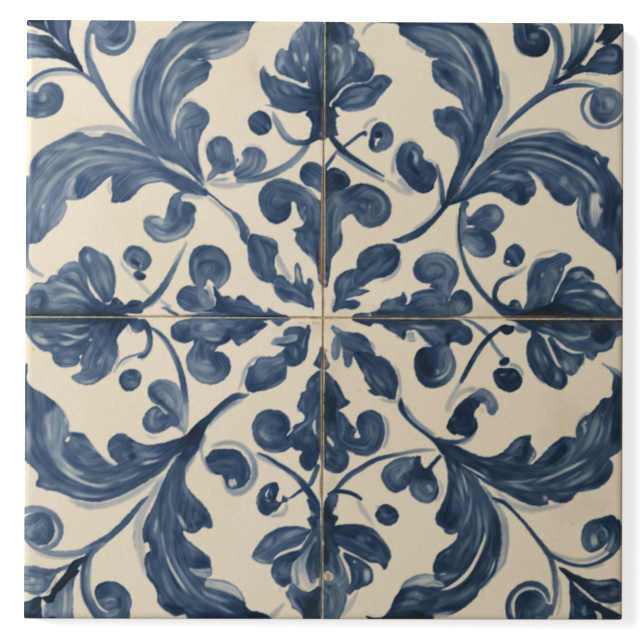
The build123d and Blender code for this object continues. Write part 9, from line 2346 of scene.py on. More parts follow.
def se_hub():
    # root stem from the bud, dark below and pale above
    wash([(20.5, -21.2, 0.35, 0.5), (21.2, -23, 0.5, 0.5), (22.6, -24.9, 0.5, 0.44),
          (24.4, -26.6, 0.5, 0.4), (26.4, -28.1, 0.5, 0.38), (28.6, -29.4, 0.45, 0.4)], strength=1.0)
    line([(19.4, -20, 0.35, 0.9), (19.4, -21.4, 0.75, 0.92), (19.9, -23, 0.7, 0.92),
          (21, -24.7, 0.5, 0.92), (22.7, -26.4, 0.45, 0.92), (24.6, -27.9, 0.45, 0.92),
          (26.5, -29.3, 0.5, 0.94), (28.3, -30.7, 0.7, 0.95), (29.6, -32, 0.95, 0.98),
          (30.6, -33.2, 0.95, 1.0)])
    light([(20.3, -21.6, 0.2, 0.6), (20.9, -23.3, 0.25, 0.5)])
    line([(28.8, -30.1, 0.45, 0.86), (30.6, -30.8, 0.6, 0.86), (32.6, -30.9, 0.6, 0.84),
          (34.6, -30.7, 0.6, 0.72), (36.4, -29.9, 0.6, 0.6), (37.8, -28.7, 0.5, 0.6),
          (38.8, -27, 0.35, 0.6)])
    light([(33.6, -31.3, 0.3, 0.56), (35.6, -31.1, 0.35, 0.46), (37.2, -30.1, 0.3, 0.42),
           (38.5, -28.6, 0.2, 0.45)])
    light([(30.4, -30.1, 0.2, 0.6), (29, -29.6, 0.2, 0.5)])
    # stem that sweeps to the foot flower
    line([(28, -32.9, 0.3, 0.28), (26, -32.9, 0.45, 0.38), (24, -33.1, 0.5, 0.4), (22, -33.4, 0.5, 0.42),
          (19.6, -33.9, 0.5, 0.5), (17.4, -34.3, 0.5, 0.7), (15.2, -34.8, 0.55, 0.82),
          (13, -35.5, 0.6, 0.84), (11, -36.5, 0.62, 0.84), (9, -37.8, 0.65, 0.82),
          (7.2, -38.8, 0.65, 0.8), (5.6, -40.1, 0.65, 0.8), (4.2, -41.6, 0.6, 0.78),
          (3.1, -43, 0.55, 0.76), (2.2, -43.8, 0.5, 0.76)])
    light([(12.4, -36.4, 0.2, 0.6), (9.8, -37.9, 0.25, 0.6), (7, -39.6, 0.25, 0.62),
           (4.9, -41.6, 0.25, 0.62), (3.7, -43, 0.2, 0.64)])
    # bud beside the centre
    wash([(17.6, -11, 0.2, 0.36), (18.8, -13.4, 0.3, 0.34), (19.2, -16.4, 0.35, 0.34),
          (19.2, -18.8, 0.4, 0.3), (18.3, -20.6, 0.4, 0.32), (16, -20.5, 0.35, 0.34),
          (13.6, -19.8, 0.25, 0.36)])
    body([(1.6, -1.9), (2.1, -1.3), (3.1, -1.8), (4.6, -2.6), (6.7, -3.1), (8.6, -3.2), (10.1, -3.8),
          (11.2, -5), (11.9, -6.3), (12.2, -7.5), (13, -8.8), (12, -9), (9, -8.6), (7.4, -9),
          (7.1, -10.3), (6.8, -11.4), (6, -12.2), (5.2, -11.6), (4.9, -10.3), (4.6, -9), (4.3, -7.7),
          (4.1, -6), (3.3, -4.5), (2.4, -3.3)],
         [(2, -2, 0.5), (5, -4.5, 0.72), (9, -6, 0.74), (12, -8, 0.7)])
    light([(2, -1.9, 0.3, 0.42), (3, -2.6, 0.35, 0.4), (4.1, -3.2, 0.25, 0.5)])
    dark([(5.6, -3.6, 0.4, 0.84), (7.6, -4, 0.5, 0.86), (9.6, -4.8, 0.6, 0.9), (11, -6, 0.6, 0.92)])
    light([(6.4, -5.4, 0.3, 0.66), (8.6, -6.4, 0.4, 0.66), (10.6, -7.2, 0.4, 0.64)])
    wash([(11.8, -5.2, 0.15, 0.4), (12.5, -6.9, 0.25, 0.4), (12.6, -8, 0.15, 0.4)])
    light([(6, -9.4, 0.3, 0.62), (6, -11, 0.3, 0.6)])
    body([(2.7, -3.8), (2.1, -5.2), (1.7, -6.6), (1.6, -8), (1.9, -9.5), (2.6, -10.2), (3.4, -9.8),
          (3.9, -8.5), (4.2, -6.9), (4.1, -5.4), (3.5, -4.2)],
         [(3, -4.5, 0.62), (2.6, -7, 0.46), (2.7, -9.6, 0.6)])
    light([(2.4, -6, 0.3, 0.4), (2.5, -8, 0.4, 0.4)])
    light([(4.4, -6.2, 0.12, 0.3), (4.4, -7.6, 0.2, 0.1), (4.3, -9, 0.3, 0.04)])
    body([(7.2, -8.4), (9, -8), (11, -8.2), (12.8, -8.9), (14.4, -9.2), (15.9, -10), (17.2, -11.6),
          (18.2, -13.4), (18.7, -15), (18.7, -16.9), (18.2, -18.7), (18, -20.1), (16.7, -20),
          (15.4, -19.6), (14.4, -19.3), (12.6, -19), (11.6, -18.3), (11, -17.7), (11.9, -17.6),
          (11, -16.4), (10.3, -15.4), (10, -14.1), (9.3, -12.6), (8.5, -11.3), (7.5, -9.5)],
         [(8, -9, 0.88), (11.5, -12, 0.82), (14, -15, 0.74), (17, -19, 0.84)])
    dark([(8.2, -9, 0.5, 0.9), (10.6, -9, 0.6, 0.9), (13.2, -10, 0.6, 0.88), (15.6, -11.4, 0.7, 0.9),
          (17.2, -13.4, 0.7, 0.92), (17.9, -16, 0.6, 0.92), (17.6, -18.8, 0.6, 0.94)])
    dark([(12.6, -12.6, 0.4, 0.86), (14, -14.6, 0.4, 0.88), (15.8, -16.4, 0.5, 0.9),
          (16.6, -17.6, 0.4, 0.9)])
    light([(12, -13.2, 0.35, 0.66), (13.2, -15, 0.6, 0.6), (14.8, -16.6, 0.6, 0.56),
           (15.4, -17.8, 0.4, 0.64)])
    light([(9.6, -11.2, 0.35, 0.64), (10.6, -13.4, 0.45, 0.6), (11.4, -15.4, 0.4, 0.62),
           (12.4, -16.8, 0.3, 0.7)])
    dark([(11.4, -18.1, 0.3, 0.95), (12.8, -18.4, 0.4, 0.92), (14.6, -18.8, 0.35, 0.9)])
    dark([(16.2, -19.4, 0.5, 0.96), (17.2, -19.6, 0.5, 0.98)])


def se_right_flower():
    # crossing stems at the left of the flower
    line([(35.4, 0.4, 0.3, 0.6), (38, -0.8, 0.5, 0.58), (39.6, -2, 0.6, 0.6), (41, -3.2, 0.6, 0.66),
          (42, -4.5, 0.5, 0.6), (42.8, -6, 0.5, 0.48), (43.8, -7.4, 0.5, 0.46), (45, -8.9, 0.5, 0.48),
          (45.8, -9.6, 0.3, 0.6)])
    line([(44.9, -1.8, 0.5, 0.95), (43.3, -3, 0.55, 0.92), (41.8, -4.3, 0.65, 0.95),
          (40.4, -5.8, 0.65, 0.9), (39, -7.8, 0.65, 0.92), (37.7, -10, 0.65, 0.92),
          (36.5, -12.2, 0.65, 0.92), (35.5, -14.1, 0.6, 0.88), (34.7, -15.6, 0.45, 0.8)])
    light([(40.6, -6.3, 0.2, 0.6), (38.8, -8.7, 0.2, 0.6), (36.8, -11.2, 0.2, 0.7)])
    wash([(34.6, -15.5, 0.5, 0.42), (33.7, -17.2, 0.5, 0.3), (32.5, -19.2, 0.5, 0.24),
          (31.5, -21.2, 0.6, 0.22), (31.1, -23.3, 0.6, 0.2)])
    body([(44.9, -1.2), (46.7, -1.1), (48.3, -1.5), (48, -2.6), (47, -3.4), (45.7, -3.4), (44.8, -2.6)],
         [(45.5, -2, 1.04), (47.5, -2, 1.06)])
    body([(48.2, -1.8), (49, -1.2), (50.2, -1.7), (52, -2.6), (51, -3.2), (49.8, -3.2), (48.8, -2.7)],
         [(48.5, -2, 0.6), (51.5, -2.7, 0.46)], pool=0)
    light([(48.4, -1.2, 0.1, 0.14), (49.4, -1.3, 0.16, 0.06), (50.2, -1.8, 0.1, 0.14)])
    body([(44.3, -10.8), (44.7, -10), (45.7, -9.4), (46.8, -9.5), (47, -10.3), (46.3, -11.3),
          (44.9, -11.5)],
         [(45, -10.8, 1.0), (46.5, -10, 1.02)], pool=0)
    wash([(46.8, -11, 0.3, 0.4), (48.6, -11.4, 0.45, 0.42), (49.9, -12.6, 0.45, 0.44),
          (50.5, -14.2, 0.3, 0.4)], strength=1.0)
    body([(42.9, -14.1), (43.1, -12.9), (44.2, -12.1), (45.9, -12), (47.5, -12), (49, -12.6), (50, -14),
          (50.2, -15.7), (49.4, -17.2), (48, -18), (46.7, -18.1), (45.2, -17.6), (43.6, -16.3)],
         [(44, -13.5, 0.98), (46.5, -16.5, 1.02), (49, -14.5, 0.98)])
    light([(44.2, -14.2, 0.14, 0.6), (44.9, -13.8, 0.22, 0.4), (45.8, -13.6, 0.2, 0.5),
           (46.5, -13.9, 0.14, 0.66)])
    light([(48, -13.2, 0.3, 0.76), (48.6, -14.2, 0.3, 0.76)])
    light([(47.4, -11.6, 0.12, 0.2), (48.9, -12.1, 0.2, 0.12), (49.8, -13.2, 0.2, 0.12),
           (50.2, -14.4, 0.12, 0.25)], strength=1.0)
    # petals below the joint
    body([(47.6, 0.3), (50, -0.9), (52, -2.2), (53.5, -2.4), (56, -3.4), (58.5, -4.4), (60.5, -6),
          (62.4, -7.2), (64.4, -7.9), (66, -8.2), (66.6, -9.2), (67.5, -9.8), (68.3, -10), (68.9, -9.3),
          (69.8, -8), (71.3, -7.8), (73.1, -6.9), (73.5, -6), (73.9, -4.8), (74.2, -4.2), (75.4, -3.6),
          (77, -2.8), (77, 0.5)],
         [(50, -0.6, 0.98), (55, -1.8, 0.88), (61, -4, 0.78), (67, -6, 0.76), (73, -4, 0.8),
          (76.5, -1, 0.66)])
    dark([(67.9, -1.8, 0.8, 0.96), (69.2, -3.4, 1.4, 1.0), (70.6, -4.4, 1.4, 1.0), (72, -3.2, 1.3, 0.98),
          (71.2, -1.8, 1.0, 1.0), (73.2, -1.6, 0.6, 0.94)])
    light([(74.4, -1.6, 0.4, 0.6), (75.2, -2.2, 0.6, 0.52), (74.6, -3.4, 0.4, 0.54),
           (76.4, -1.4, 0.5, 0.5)])
    light([(67, -5.6, 0.5, 0.66), (69.4, -6.6, 0.5, 0.62), (71.8, -6.6, 0.5, 0.6), (72.9, -6, 0.4, 0.6)])
    light([(67.4, -8.6, 0.4, 0.56), (68.4, -9.2, 0.35, 0.54), (66.7, -7.8, 0.4, 0.6)])
    dark([(61, -5.2, 0.5, 0.82), (63.5, -6.2, 0.6, 0.82), (66, -6.8, 0.6, 0.8), (69, -7.4, 0.35, 0.76)])
    light([(58.6, -2.4, 0.4, 0.5), (60.6, -3.6, 0.5, 0.42), (62.8, -4.5, 0.45, 0.4),
           (65.2, -4.4, 0.4, 0.4), (67.2, -3.8, 0.3, 0.42), (67.5, -2.6, 0.25, 0.46),
           (66.6, -1.6, 0.25, 0.46), (64.4, -1.2, 0.25, 0.5)])
    dark([(60, -2, 0.6, 0.84), (62.6, -2.5, 0.7, 0.84), (65.2, -2.7, 0.6, 0.84), (66.4, -2.7, 0.35, 0.8)])
    light([(54, -1.6, 0.2, 0.56), (56.2, -2.1, 0.3, 0.48), (58.2, -2.9, 0.3, 0.5), (59.8, -4, 0.25, 0.6)])
    light([(55.6, -0.9, 0.25, 0.66), (58, -1.3, 0.25, 0.62)])
    dark([(48.2, -0.6, 0.5, 1.04), (50.6, -1, 0.6, 1.06), (52.6, -2, 0.5, 1.04), (54.6, -2.9, 0.3, 0.95),
          (56.6, -4, 0.3, 0.9)])
    light([(58.9, -4.9, 0.12, 0.2), (60, -6.2, 0.24, 0.06), (61.5, -7.2, 0.26, 0.04),
           (63.2, -7.8, 0.24, 0.05), (64.8, -8, 0.2, 0.06), (66, -8, 0.1, 0.2)], strength=1.0)
    body([(57.4, -4), (58.6, -5), (59.8, -6.6), (62.1, -7.9), (64.2, -8.3), (65.9, -8.3), (66.2, -9.3),
          (65.7, -10.5), (64.9, -12.1), (63.9, -13.5), (62.4, -13.9), (61.5, -13.4), (60.5, -12.1),
          (59.5, -10.7), (58.6, -9), (57.6, -6.8), (56.6, -4.8)],
         [(57.5, -5, 0.86), (59.5, -8, 0.86), (62, -10, 0.7), (64, -12, 0.66)])
    dark([(58, -5.4, 0.4, 0.9), (59.2, -7.4, 0.6, 0.92), (60, -9.4, 0.6, 0.92), (61, -8.6, 0.5, 0.88)])
    dark([(63, -8.9, 0.35, 0.84), (65, -9, 0.5, 0.86), (65, -10.6, 0.6, 0.9), (64.2, -11.5, 0.4, 0.86)])
    light([(61.1, -9.8, 0.4, 0.56), (61.4, -11.3, 0.5, 0.46), (62.3, -12.8, 0.4, 0.46)])
    light([(62.6, -10, 0.4, 0.52), (63.1, -11.6, 0.35, 0.5), (63.4, -13, 0.35, 0.52)])
    light([(65.6, -11.4, 0.2, 0.4), (66.2, -10.2, 0.2, 0.4)])
    body([(52.4, -2.6), (53.1, -2.3), (54.4, -3), (55.9, -4.5), (56.7, -6.2), (57.6, -8), (58.5, -10),
          (59.3, -11.3), (60.3, -11.8), (61.3, -13), (61.8, -14.5), (61.6, -16.2), (60.6, -17.3),
          (59.3, -17.6), (58, -16.9), (56.2, -15.9), (54.7, -14.9), (53.4, -13.6), (52.4, -12.1),
          (51.6, -9.8), (51.3, -7.2), (51.6, -5.2), (52.5, -4)],
         [(53, -3, 0.95), (53.5, -7, 0.86), (55.5, -11, 0.84), (58.5, -15.5, 0.86)])
    dark([(52, -6, 0.4, 0.92), (52.1, -8.8, 0.5, 0.92), (52.8, -11.2, 0.6, 0.92), (54, -13, 0.5, 0.88)])
    light([(53.4, -5.6, 0.3, 0.64), (53.9, -7.6, 0.4, 0.56), (54.5, -9.6, 0.4, 0.56),
           (55.3, -11, 0.25, 0.62)])
    light([(55.6, -8.4, 0.22, 0.5), (56.2, -9.8, 0.28, 0.46), (56.9, -11, 0.18, 0.56)])
    dark([(55, -5.6, 0.4, 0.92), (56, -7.6, 0.4, 0.92), (57.2, -9.8, 0.5, 0.92), (57.8, -11.6, 0.5, 0.95),
          (56.6, -13.2, 0.5, 0.92), (57.4, -15, 0.5, 0.98)])
    dark([(59.4, -12, 0.4, 0.92), (60.7, -13.2, 0.4, 0.95), (61, -15, 0.4, 0.98),
          (60.2, -16.6, 0.35, 0.98), (58.6, -16.2, 0.4, 0.98)])
    light([(59, -12.9, 0.3, 0.6), (59.1, -14.2, 0.55, 0.5), (59.4, -15.6, 0.5, 0.54)])
    light([(54.3, -13.6, 0.3, 0.6), (55.4, -14.7, 0.3, 0.54)])
    light([(53.6, -14.1, 0.15, 0.4), (55, -15.4, 0.2, 0.4), (56.4, -16.2, 0.15, 0.45)])
    light([(58.6, -17.2, 0.15, 0.3), (59.4, -17.5, 0.15, 0.2), (60, -17.5, 0.1, 0.3)])
    light([(53.6, -2.6, 0.1, 0.3), (54.7, -3.2, 0.18, 0.14), (55.9, -4.1, 0.2, 0.08),
           (56.7, -5.3, 0.2, 0.08), (57.2, -6.6, 0.28, 0.1), (57.9, -8.2, 0.34, 0.1),
           (58.6, -9.8, 0.34, 0.1), (59.3, -11.1, 0.24, 0.1), (60.2, -11.9, 0.12, 0.2)], strength=1.0)


def se_right_bud():
    # a curling leaf with a dark heart
    wash([(31.4, -24, 0.5, 0.2), (31.9, -21.9, 0.6, 0.22), (33, -19.9, 0.6, 0.2),
          (34.6, -18.4, 0.6, 0.22), (36.8, -17.5, 0.6, 0.3), (39, -17.6, 0.7, 0.42)])
    body([(36.2, -19.8), (38, -18.4), (40, -17.2), (41.8, -17.8), (43.1, -19), (44.2, -20.8),
          (44.3, -22.1), (43.6, -23.4), (42.6, -24.1), (41.8, -23.8), (41.1, -22.3), (40.6, -21.2),
          (39.6, -20.9), (38.6, -21.6), (38.2, -22.8)],
         [(37.5, -20.5, 0.76), (40, -19, 0.66), (42.5, -20.5, 0.54), (42.5, -23, 0.58)])
    light([(38.2, -17.9, 0.4, 0.44), (40.2, -17.8, 0.5, 0.5), (42, -18.9, 0.5, 0.52)])
    dark([(37.2, -20.2, 0.5, 0.82), (39, -19.6, 0.5, 0.8), (40.8, -19.9, 0.5, 0.76),
          (38.6, -20.9, 0.4, 0.84), (40.6, -20.6, 0.35, 0.82)])
    light([(42, -21.2, 0.5, 0.46), (43.2, -21.6, 0.5, 0.48)])
    dark([(41.8, -22.6, 0.35, 0.7), (42.5, -23.4, 0.4, 0.66)])
    wash([(39.9, -22.2, 0.5, 0.16), (40.4, -23.6, 0.4, 0.16)])
    body([(36.2, -19.6), (34.6, -20.8), (33.1, -22.5), (32.4, -24.3), (31.8, -24.9), (31.4, -26.2),
          (31, -27.2), (31.7, -28.2), (33, -29), (33.7, -28.9), (34.5, -29.4), (35.4, -29.3),
          (36.5, -29.6), (38, -28.5), (38.9, -26.8), (38.7, -25.2), (38, -23.9), (38.6, -22.6),
          (39.6, -21.6), (38.4, -20)],
         [(33, -27, 0.98), (34, -23, 0.98), (37, -21, 0.95), (37, -27, 0.98)])
    dark([(36.4, -21, 0.6, 0.98), (34.8, -22.4, 0.9, 1.0), (34.4, -24.6, 1.0, 1.02),
          (33, -26.8, 1.0, 0.98), (35, -27.6, 1.2, 1.0), (37, -26.6, 1.0, 0.98), (36, -24.6, 0.8, 1.0)])
    light([(32.3, -24.4, 0.3, 0.6), (32.7, -25.3, 0.3, 0.7), (33.8, -24.2, 0.12, 0.5)])
    light([(36.6, -22.9, 0.15, 0.72), (37.4, -22.5, 0.15, 0.72)])
    light([(33.4, -29.2, 0.14, 0.05), (33.9, -29, 0.14, 0.05), (35, -29.4, 0.12, 0.08)], strength=1.0)


def se_lower_stem():
    # double bud over the foot flower
    wash([(29.2, -40.2, 0.25, 0.2), (30, -42.8, 0.4, 0.2), (29.4, -45, 0.35, 0.2),
          (28, -46.3, 0.25, 0.2)])
    body([(15, -38), (14.5, -39), (14.6, -40.6), (15.4, -41.9), (16.4, -43.1), (18, -43.8), (19.5, -43.5),
          (20.8, -42.6), (21.6, -41.8), (23.2, -40), (24, -37.5), (24.3, -35.8), (24.5, -34.5),
          (22.6, -34.6), (20.3, -34.6), (18.2, -35.2), (16.4, -36.2), (15.4, -37.2)],
         [(18, -42.5, 0.8), (16, -39.5, 0.7), (18, -37, 0.66), (21, -37, 0.66), (22.5, -39, 0.88)])
    light([(20.6, -36, 0.6, 0.44), (20.6, -37.4, 0.7, 0.46), (19.6, -38.8, 0.5, 0.46),
           (18.4, -40.2, 0.35, 0.5), (19, -41.2, 0.25, 0.6)])
    light([(22, -35.2, 0.4, 0.4), (22.2, -36.6, 0.4, 0.4)])
    dark([(17, -37.6, 0.5, 0.76), (16.4, -39.4, 0.5, 0.8), (17, -41.4, 0.5, 0.84),
          (18.6, -42.5, 0.6, 0.9), (20.2, -41.8, 0.6, 0.88), (20.8, -40, 0.5, 0.84)])
    light([(17.6, -38.6, 0.2, 0.6), (17.4, -40.4, 0.2, 0.6)])
    body([(23.4, -34.5), (24.5, -34.6), (24.6, -36), (25.2, -37.3), (26, -37.4), (27, -36.6), (28, -35.4),
          (29.4, -34), (29.9, -34.5), (28.6, -36), (27.6, -37.2), (27.3, -37.9), (27.8, -38.7),
          (28.5, -40), (28.9, -41.4), (29.2, -43.3), (28.7, -44.9), (27.5, -46.1), (25.4, -46.4),
          (23.6, -45.7), (22.3, -44.4), (21.7, -43), (21.6, -41.5), (21.8, -39.6), (22.6, -37.8)],
         [(24, -36, 0.9), (24.5, -39, 0.98), (23, -43, 0.64), (26, -45.5, 0.66), (28, -42, 0.8)])
    dark([(23.7, -35.2, 0.5, 0.9), (23.4, -37, 0.6, 0.95), (23.2, -38.6, 0.8, 0.98),
          (24.8, -39.2, 1.0, 1.0), (26.3, -39, 0.9, 1.0), (26, -41, 0.6, 1.0)])
    dark([(29.3, -34.4, 0.35, 0.92), (28, -36, 0.45, 0.94), (26.8, -37.6, 0.6, 0.96),
          (26.4, -39.4, 0.9, 0.98), (27.8, -40.4, 0.6, 0.92), (28.3, -42, 0.4, 0.84)])
    dark([(21.2, -39.4, 0.4, 0.95), (22.4, -38.6, 0.6, 0.98), (22.4, -40, 0.5, 0.86)])
    light([(23.2, -41.2, 0.5, 0.52), (23.4, -43, 0.6, 0.56), (24.6, -44.6, 0.5, 0.56),
           (26.4, -45.3, 0.45, 0.54), (27.8, -44.4, 0.35, 0.6)])
    light([(25.6, -42.6, 0.4, 0.56), (26.4, -42.3, 0.6, 0.4), (27, -43, 0.6, 0.44),
           (26, -43.6, 0.4, 0.5)])
    dark([(24.2, -41.6, 0.25, 0.76), (24.6, -43.2, 0.22, 0.74), (26, -44.1, 0.2, 0.72),
          (27.6, -43.6, 0.2, 0.74)])
    # hook with its pale tail, then the receptacle
    wash([(8.4, -44.9, 0.25, 0.3), (9, -46.6, 0.5, 0.24), (9.9, -48.4, 0.65, 0.22),
          (11, -49.8, 0.6, 0.22), (12, -51.2, 0.35, 0.22), (13, -52.6, 0.12, 0.2)])
    line([(1.2, -44.2, 0.35, 0.9), (2.6, -43.6, 0.5, 0.92), (4.4, -43.5, 0.55, 0.95),
          (6.4, -43.8, 0.52, 0.95), (8.1, -44.5, 0.5, 0.95), (9.4, -45.4, 0.35, 0.92)])
    body([(0.1, -46), (0.6, -45), (1.8, -44), (3.5, -44.2), (3.7, -45.2), (3.4, -46.6), (2.7, -48),
          (2.3, -49.2), (3.2, -49.5), (3.6, -50.4), (2.9, -51.5), (2.6, -52.6), (0, -53.5)],
         [(2.6, -45, 0.66), (1.8, -48, 0.88), (1.5, -52, 0.98)])
    light([(2, -44.9, 0.35, 0.6), (2.8, -45.6, 0.5, 0.6), (2.6, -47, 0.35, 0.64)])
    dark([(1.2, -46, 0.5, 0.95), (1.2, -48, 0.6, 0.98), (1.6, -50, 0.8, 1.0), (2.6, -50.4, 0.6, 0.98),
          (1.6, -52, 0.8, 0.98)])
    wash([(3, -48.2, 0.3, 0.24), (2.8, -47.4, 0.25, 0.3)])
    # dot
    body([(13, -49.3), (13.4, -48.3), (14.1, -47.3), (15.7, -46.6), (17, -47), (18.2, -48), (19, -49.3),
          (18.7, -50.9), (17.5, -51.9), (15.9, -52.1), (14.4, -51.6), (13.5, -50.6)],
         [(14, -48.5, 0.92), (15.5, -50.5, 0.88), (18, -49.5, 0.95)])
    light([(14.2, -49.6, 0.3, 0.66), (15.4, -49.4, 0.35, 0.6), (16.6, -49.8, 0.3, 0.66)])
    light([(13.1, -47.6, 0.3, 0.24), (13.7, -47.2, 0.3, 0.24), (13.5, -48.2, 0.25, 0.34)])
    light([(15.6, -47.4, 0.12, 0.6), (16, -47.5, 0.12, 0.64)])


def se_foot_flower():
    wash([(8.8, -68.6, 0.3, 0.2), (7.6, -70.8, 0.6, 0.22), (6.2, -73, 0.7, 0.24), (4.6, -75, 0.6, 0.26)])
    # right petal
    body([(2.4, -52.4), (4.1, -52), (6.7, -51.7), (9.3, -51.9), (11.8, -52.5), (13.4, -53.7),
          (14.9, -55.5), (16.2, -57.2), (17, -59), (17, -60.3), (16.4, -61.6), (15.9, -63), (15.4, -63.3),
          (14.6, -62.3), (13.6, -61.6), (11.6, -61.5), (10.3, -60.8), (8.7, -60.1), (6.7, -59),
          (5, -58.3), (3.9, -57.4), (2.6, -57), (1.5, -55)],
         [(2.5, -54, 0.92), (7, -55, 0.84), (12, -57.5, 0.82), (16, -61, 0.8)])
    dark([(3.4, -52.8, 0.4, 0.92), (6.6, -52.5, 0.5, 0.92), (9.8, -52.8, 0.5, 0.92),
          (12.4, -54, 0.4, 0.88)])
    light([(12.8, -53.9, 0.25, 0.66), (14.4, -55.6, 0.3, 0.64), (15.6, -57.3, 0.25, 0.68)])
    dark([(13, -55.8, 0.5, 0.88), (14.6, -57.6, 0.6, 0.9), (15.8, -59.6, 0.5, 0.9),
          (15.6, -61.2, 0.4, 0.88)])
    light([(8, -54.8, 0.4, 0.72), (9.4, -55.5, 0.6, 0.64), (10.8, -56.2, 0.4, 0.7)])
    light([(10.8, -55, 0.3, 0.66), (12, -56, 0.35, 0.62)])
    dark([(4, -55.5, 0.6, 0.9), (6.4, -56.8, 0.6, 0.9), (9, -58.2, 0.6, 0.9), (11.4, -59, 0.5, 0.88)])
    light([(11, -60.3, 0.35, 0.56), (12.8, -60.3, 0.4, 0.58), (14.2, -61, 0.3, 0.56),
           (15.2, -62.3, 0.3, 0.54)])
    # second petal, with a worn pale middle
    body([(5.2, -58.6), (7.2, -59.6), (8.6, -60.3), (10.2, -61.2), (11.8, -62.6), (12.6, -64.7),
          (12.4, -66.2), (11.3, -67.3), (9.8, -67.8), (9, -68.3), (7.5, -68.8), (6.9, -69.6),
          (5.5, -69.2), (4.8, -68.4), (6.4, -67.4), (7, -65.5), (6.5, -62.8), (5, -60)],
         [(6, -59.5, 0.84), (8.5, -62, 0.8), (9.5, -66, 0.76), (7, -68.8, 0.8)])
    light([(10.4, -62.6, 0.4, 0.5), (11, -64.2, 0.8, 0.32), (10.9, -65.8, 0.7, 0.34),
           (10.2, -66.8, 0.4, 0.5)])
    dark([(9.4, -61.8, 0.5, 0.84), (9.2, -63.8, 0.5, 0.84), (9.4, -66, 0.5, 0.9), (8.6, -67.4, 0.5, 0.9)])
    dark([(6, -59.6, 0.3, 0.92), (7.4, -60.4, 0.25, 0.9), (8.8, -60.9, 0.25, 0.86)])
    light([(7.6, -61, 0.25, 0.14), (8, -61.7, 0.22, 0.2)])
    light([(8.5, -63.2, 0.2, 0.6), (8.5, -65.4, 0.2, 0.6)])
    # fold lines
    body([(0, -57), (1.6, -57.2), (3.2, -58.2), (4.6, -60), (6, -62.6), (7, -65.2), (6.8, -67.4),
          (5.4, -68.6), (4, -67.4), (2, -67), (0, -67)],
         [(1, -58, 0.9), (3, -61, 0.74), (5, -65, 0.6), (3, -66.8, 0.56)], pool=0)
    dark([(0.6, -58, 0.7, 1.02), (0.7, -60.6, 0.7, 0.98), (0.8, -62.6, 0.5, 0.92)])
    light([(1.6, -58.4, 0.15, 0.6), (1.9, -60.6, 0.2, 0.56), (1.8, -62.6, 0.15, 0.62)])
    dark([(2.4, -58.8, 0.35, 0.84), (3, -61.2, 0.5, 0.84), (3.4, -63.8, 0.5, 0.84),
          (3.4, -65.8, 0.4, 0.8)])
    light([(2.9, -58.5, 0.15, 0.3), (3.9, -60.8, 0.25, 0.34), (4.7, -63.2, 0.25, 0.42),
           (4.8, -65.8, 0.3, 0.5)])
    light([(3.6, -58.7, 0.2, 0.2), (4.7, -60.4, 0.36, 0.08), (5.6, -62.2, 0.4, 0.06),
           (6.3, -64.1, 0.38, 0.06), (6.7, -65.9, 0.34, 0.08), (6.6, -67.2, 0.25, 0.16)], strength=1.0)
    dark([(5.2, -59.6, 0.3, 0.88), (6.4, -61.4, 0.35, 0.86), (7.3, -63.6, 0.4, 0.84),
          (7.5, -65.8, 0.4, 0.84), (6.9, -67.6, 0.4, 0.84), (5.8, -68.7, 0.4, 0.84)])
    light([(3.8, -57.3, 0.16, 0.1), (4.8, -58.3, 0.34, 0.03), (6, -58.9, 0.26, 0.05),
           (7.6, -59.6, 0.2, 0.06), (9.2, -60.2, 0.14, 0.1)], strength=1.0)
    light([(0.4, -64.4, 0.8, 0.14), (1.2, -65, 1.1, 0.12), (1.2, -65.6, 0.7, 0.14)], strength=1.0)
    # worn foot
    body([(-0.4, -66.8), (1.4, -67), (2.8, -66.8), (4.4, -67.6), (5.7, -68.9), (5.9, -70.6), (5.3, -72.8),
          (4.6, -74.2), (3.2, -77), (-0.4, -77)],
         [(1, -67.5, 0.72), (3, -69.5, 0.62), (2.8, -73, 0.62), (1.5, -76, 0.66)], pool=0)
    light([(3.2, -67.6, 0.35, 0.5), (4.6, -69, 0.4, 0.5), (4.6, -71.2, 0.4, 0.52),
           (3.8, -73.2, 0.35, 0.56)])
    light([(1.6, -69.4, 0.5, 0.52), (2.2, -71.8, 0.6, 0.5), (2, -74.4, 0.6, 0.52)])
    dark([(1, -67.4, 0.3, 0.92), (1.9, -68, 0.3, 0.86)])
    dark([(3.4, -70, 0.25, 0.7), (3.2, -72.6, 0.25, 0.72), (2.8, -75, 0.3, 0.76)])
    dark([(5, -68.9, 0.25, 0.78), (5.5, -70.6, 0.22, 0.72), (4.9, -73.4, 0.25, 0.72),
          (3.8, -75.6, 0.3, 0.74)])


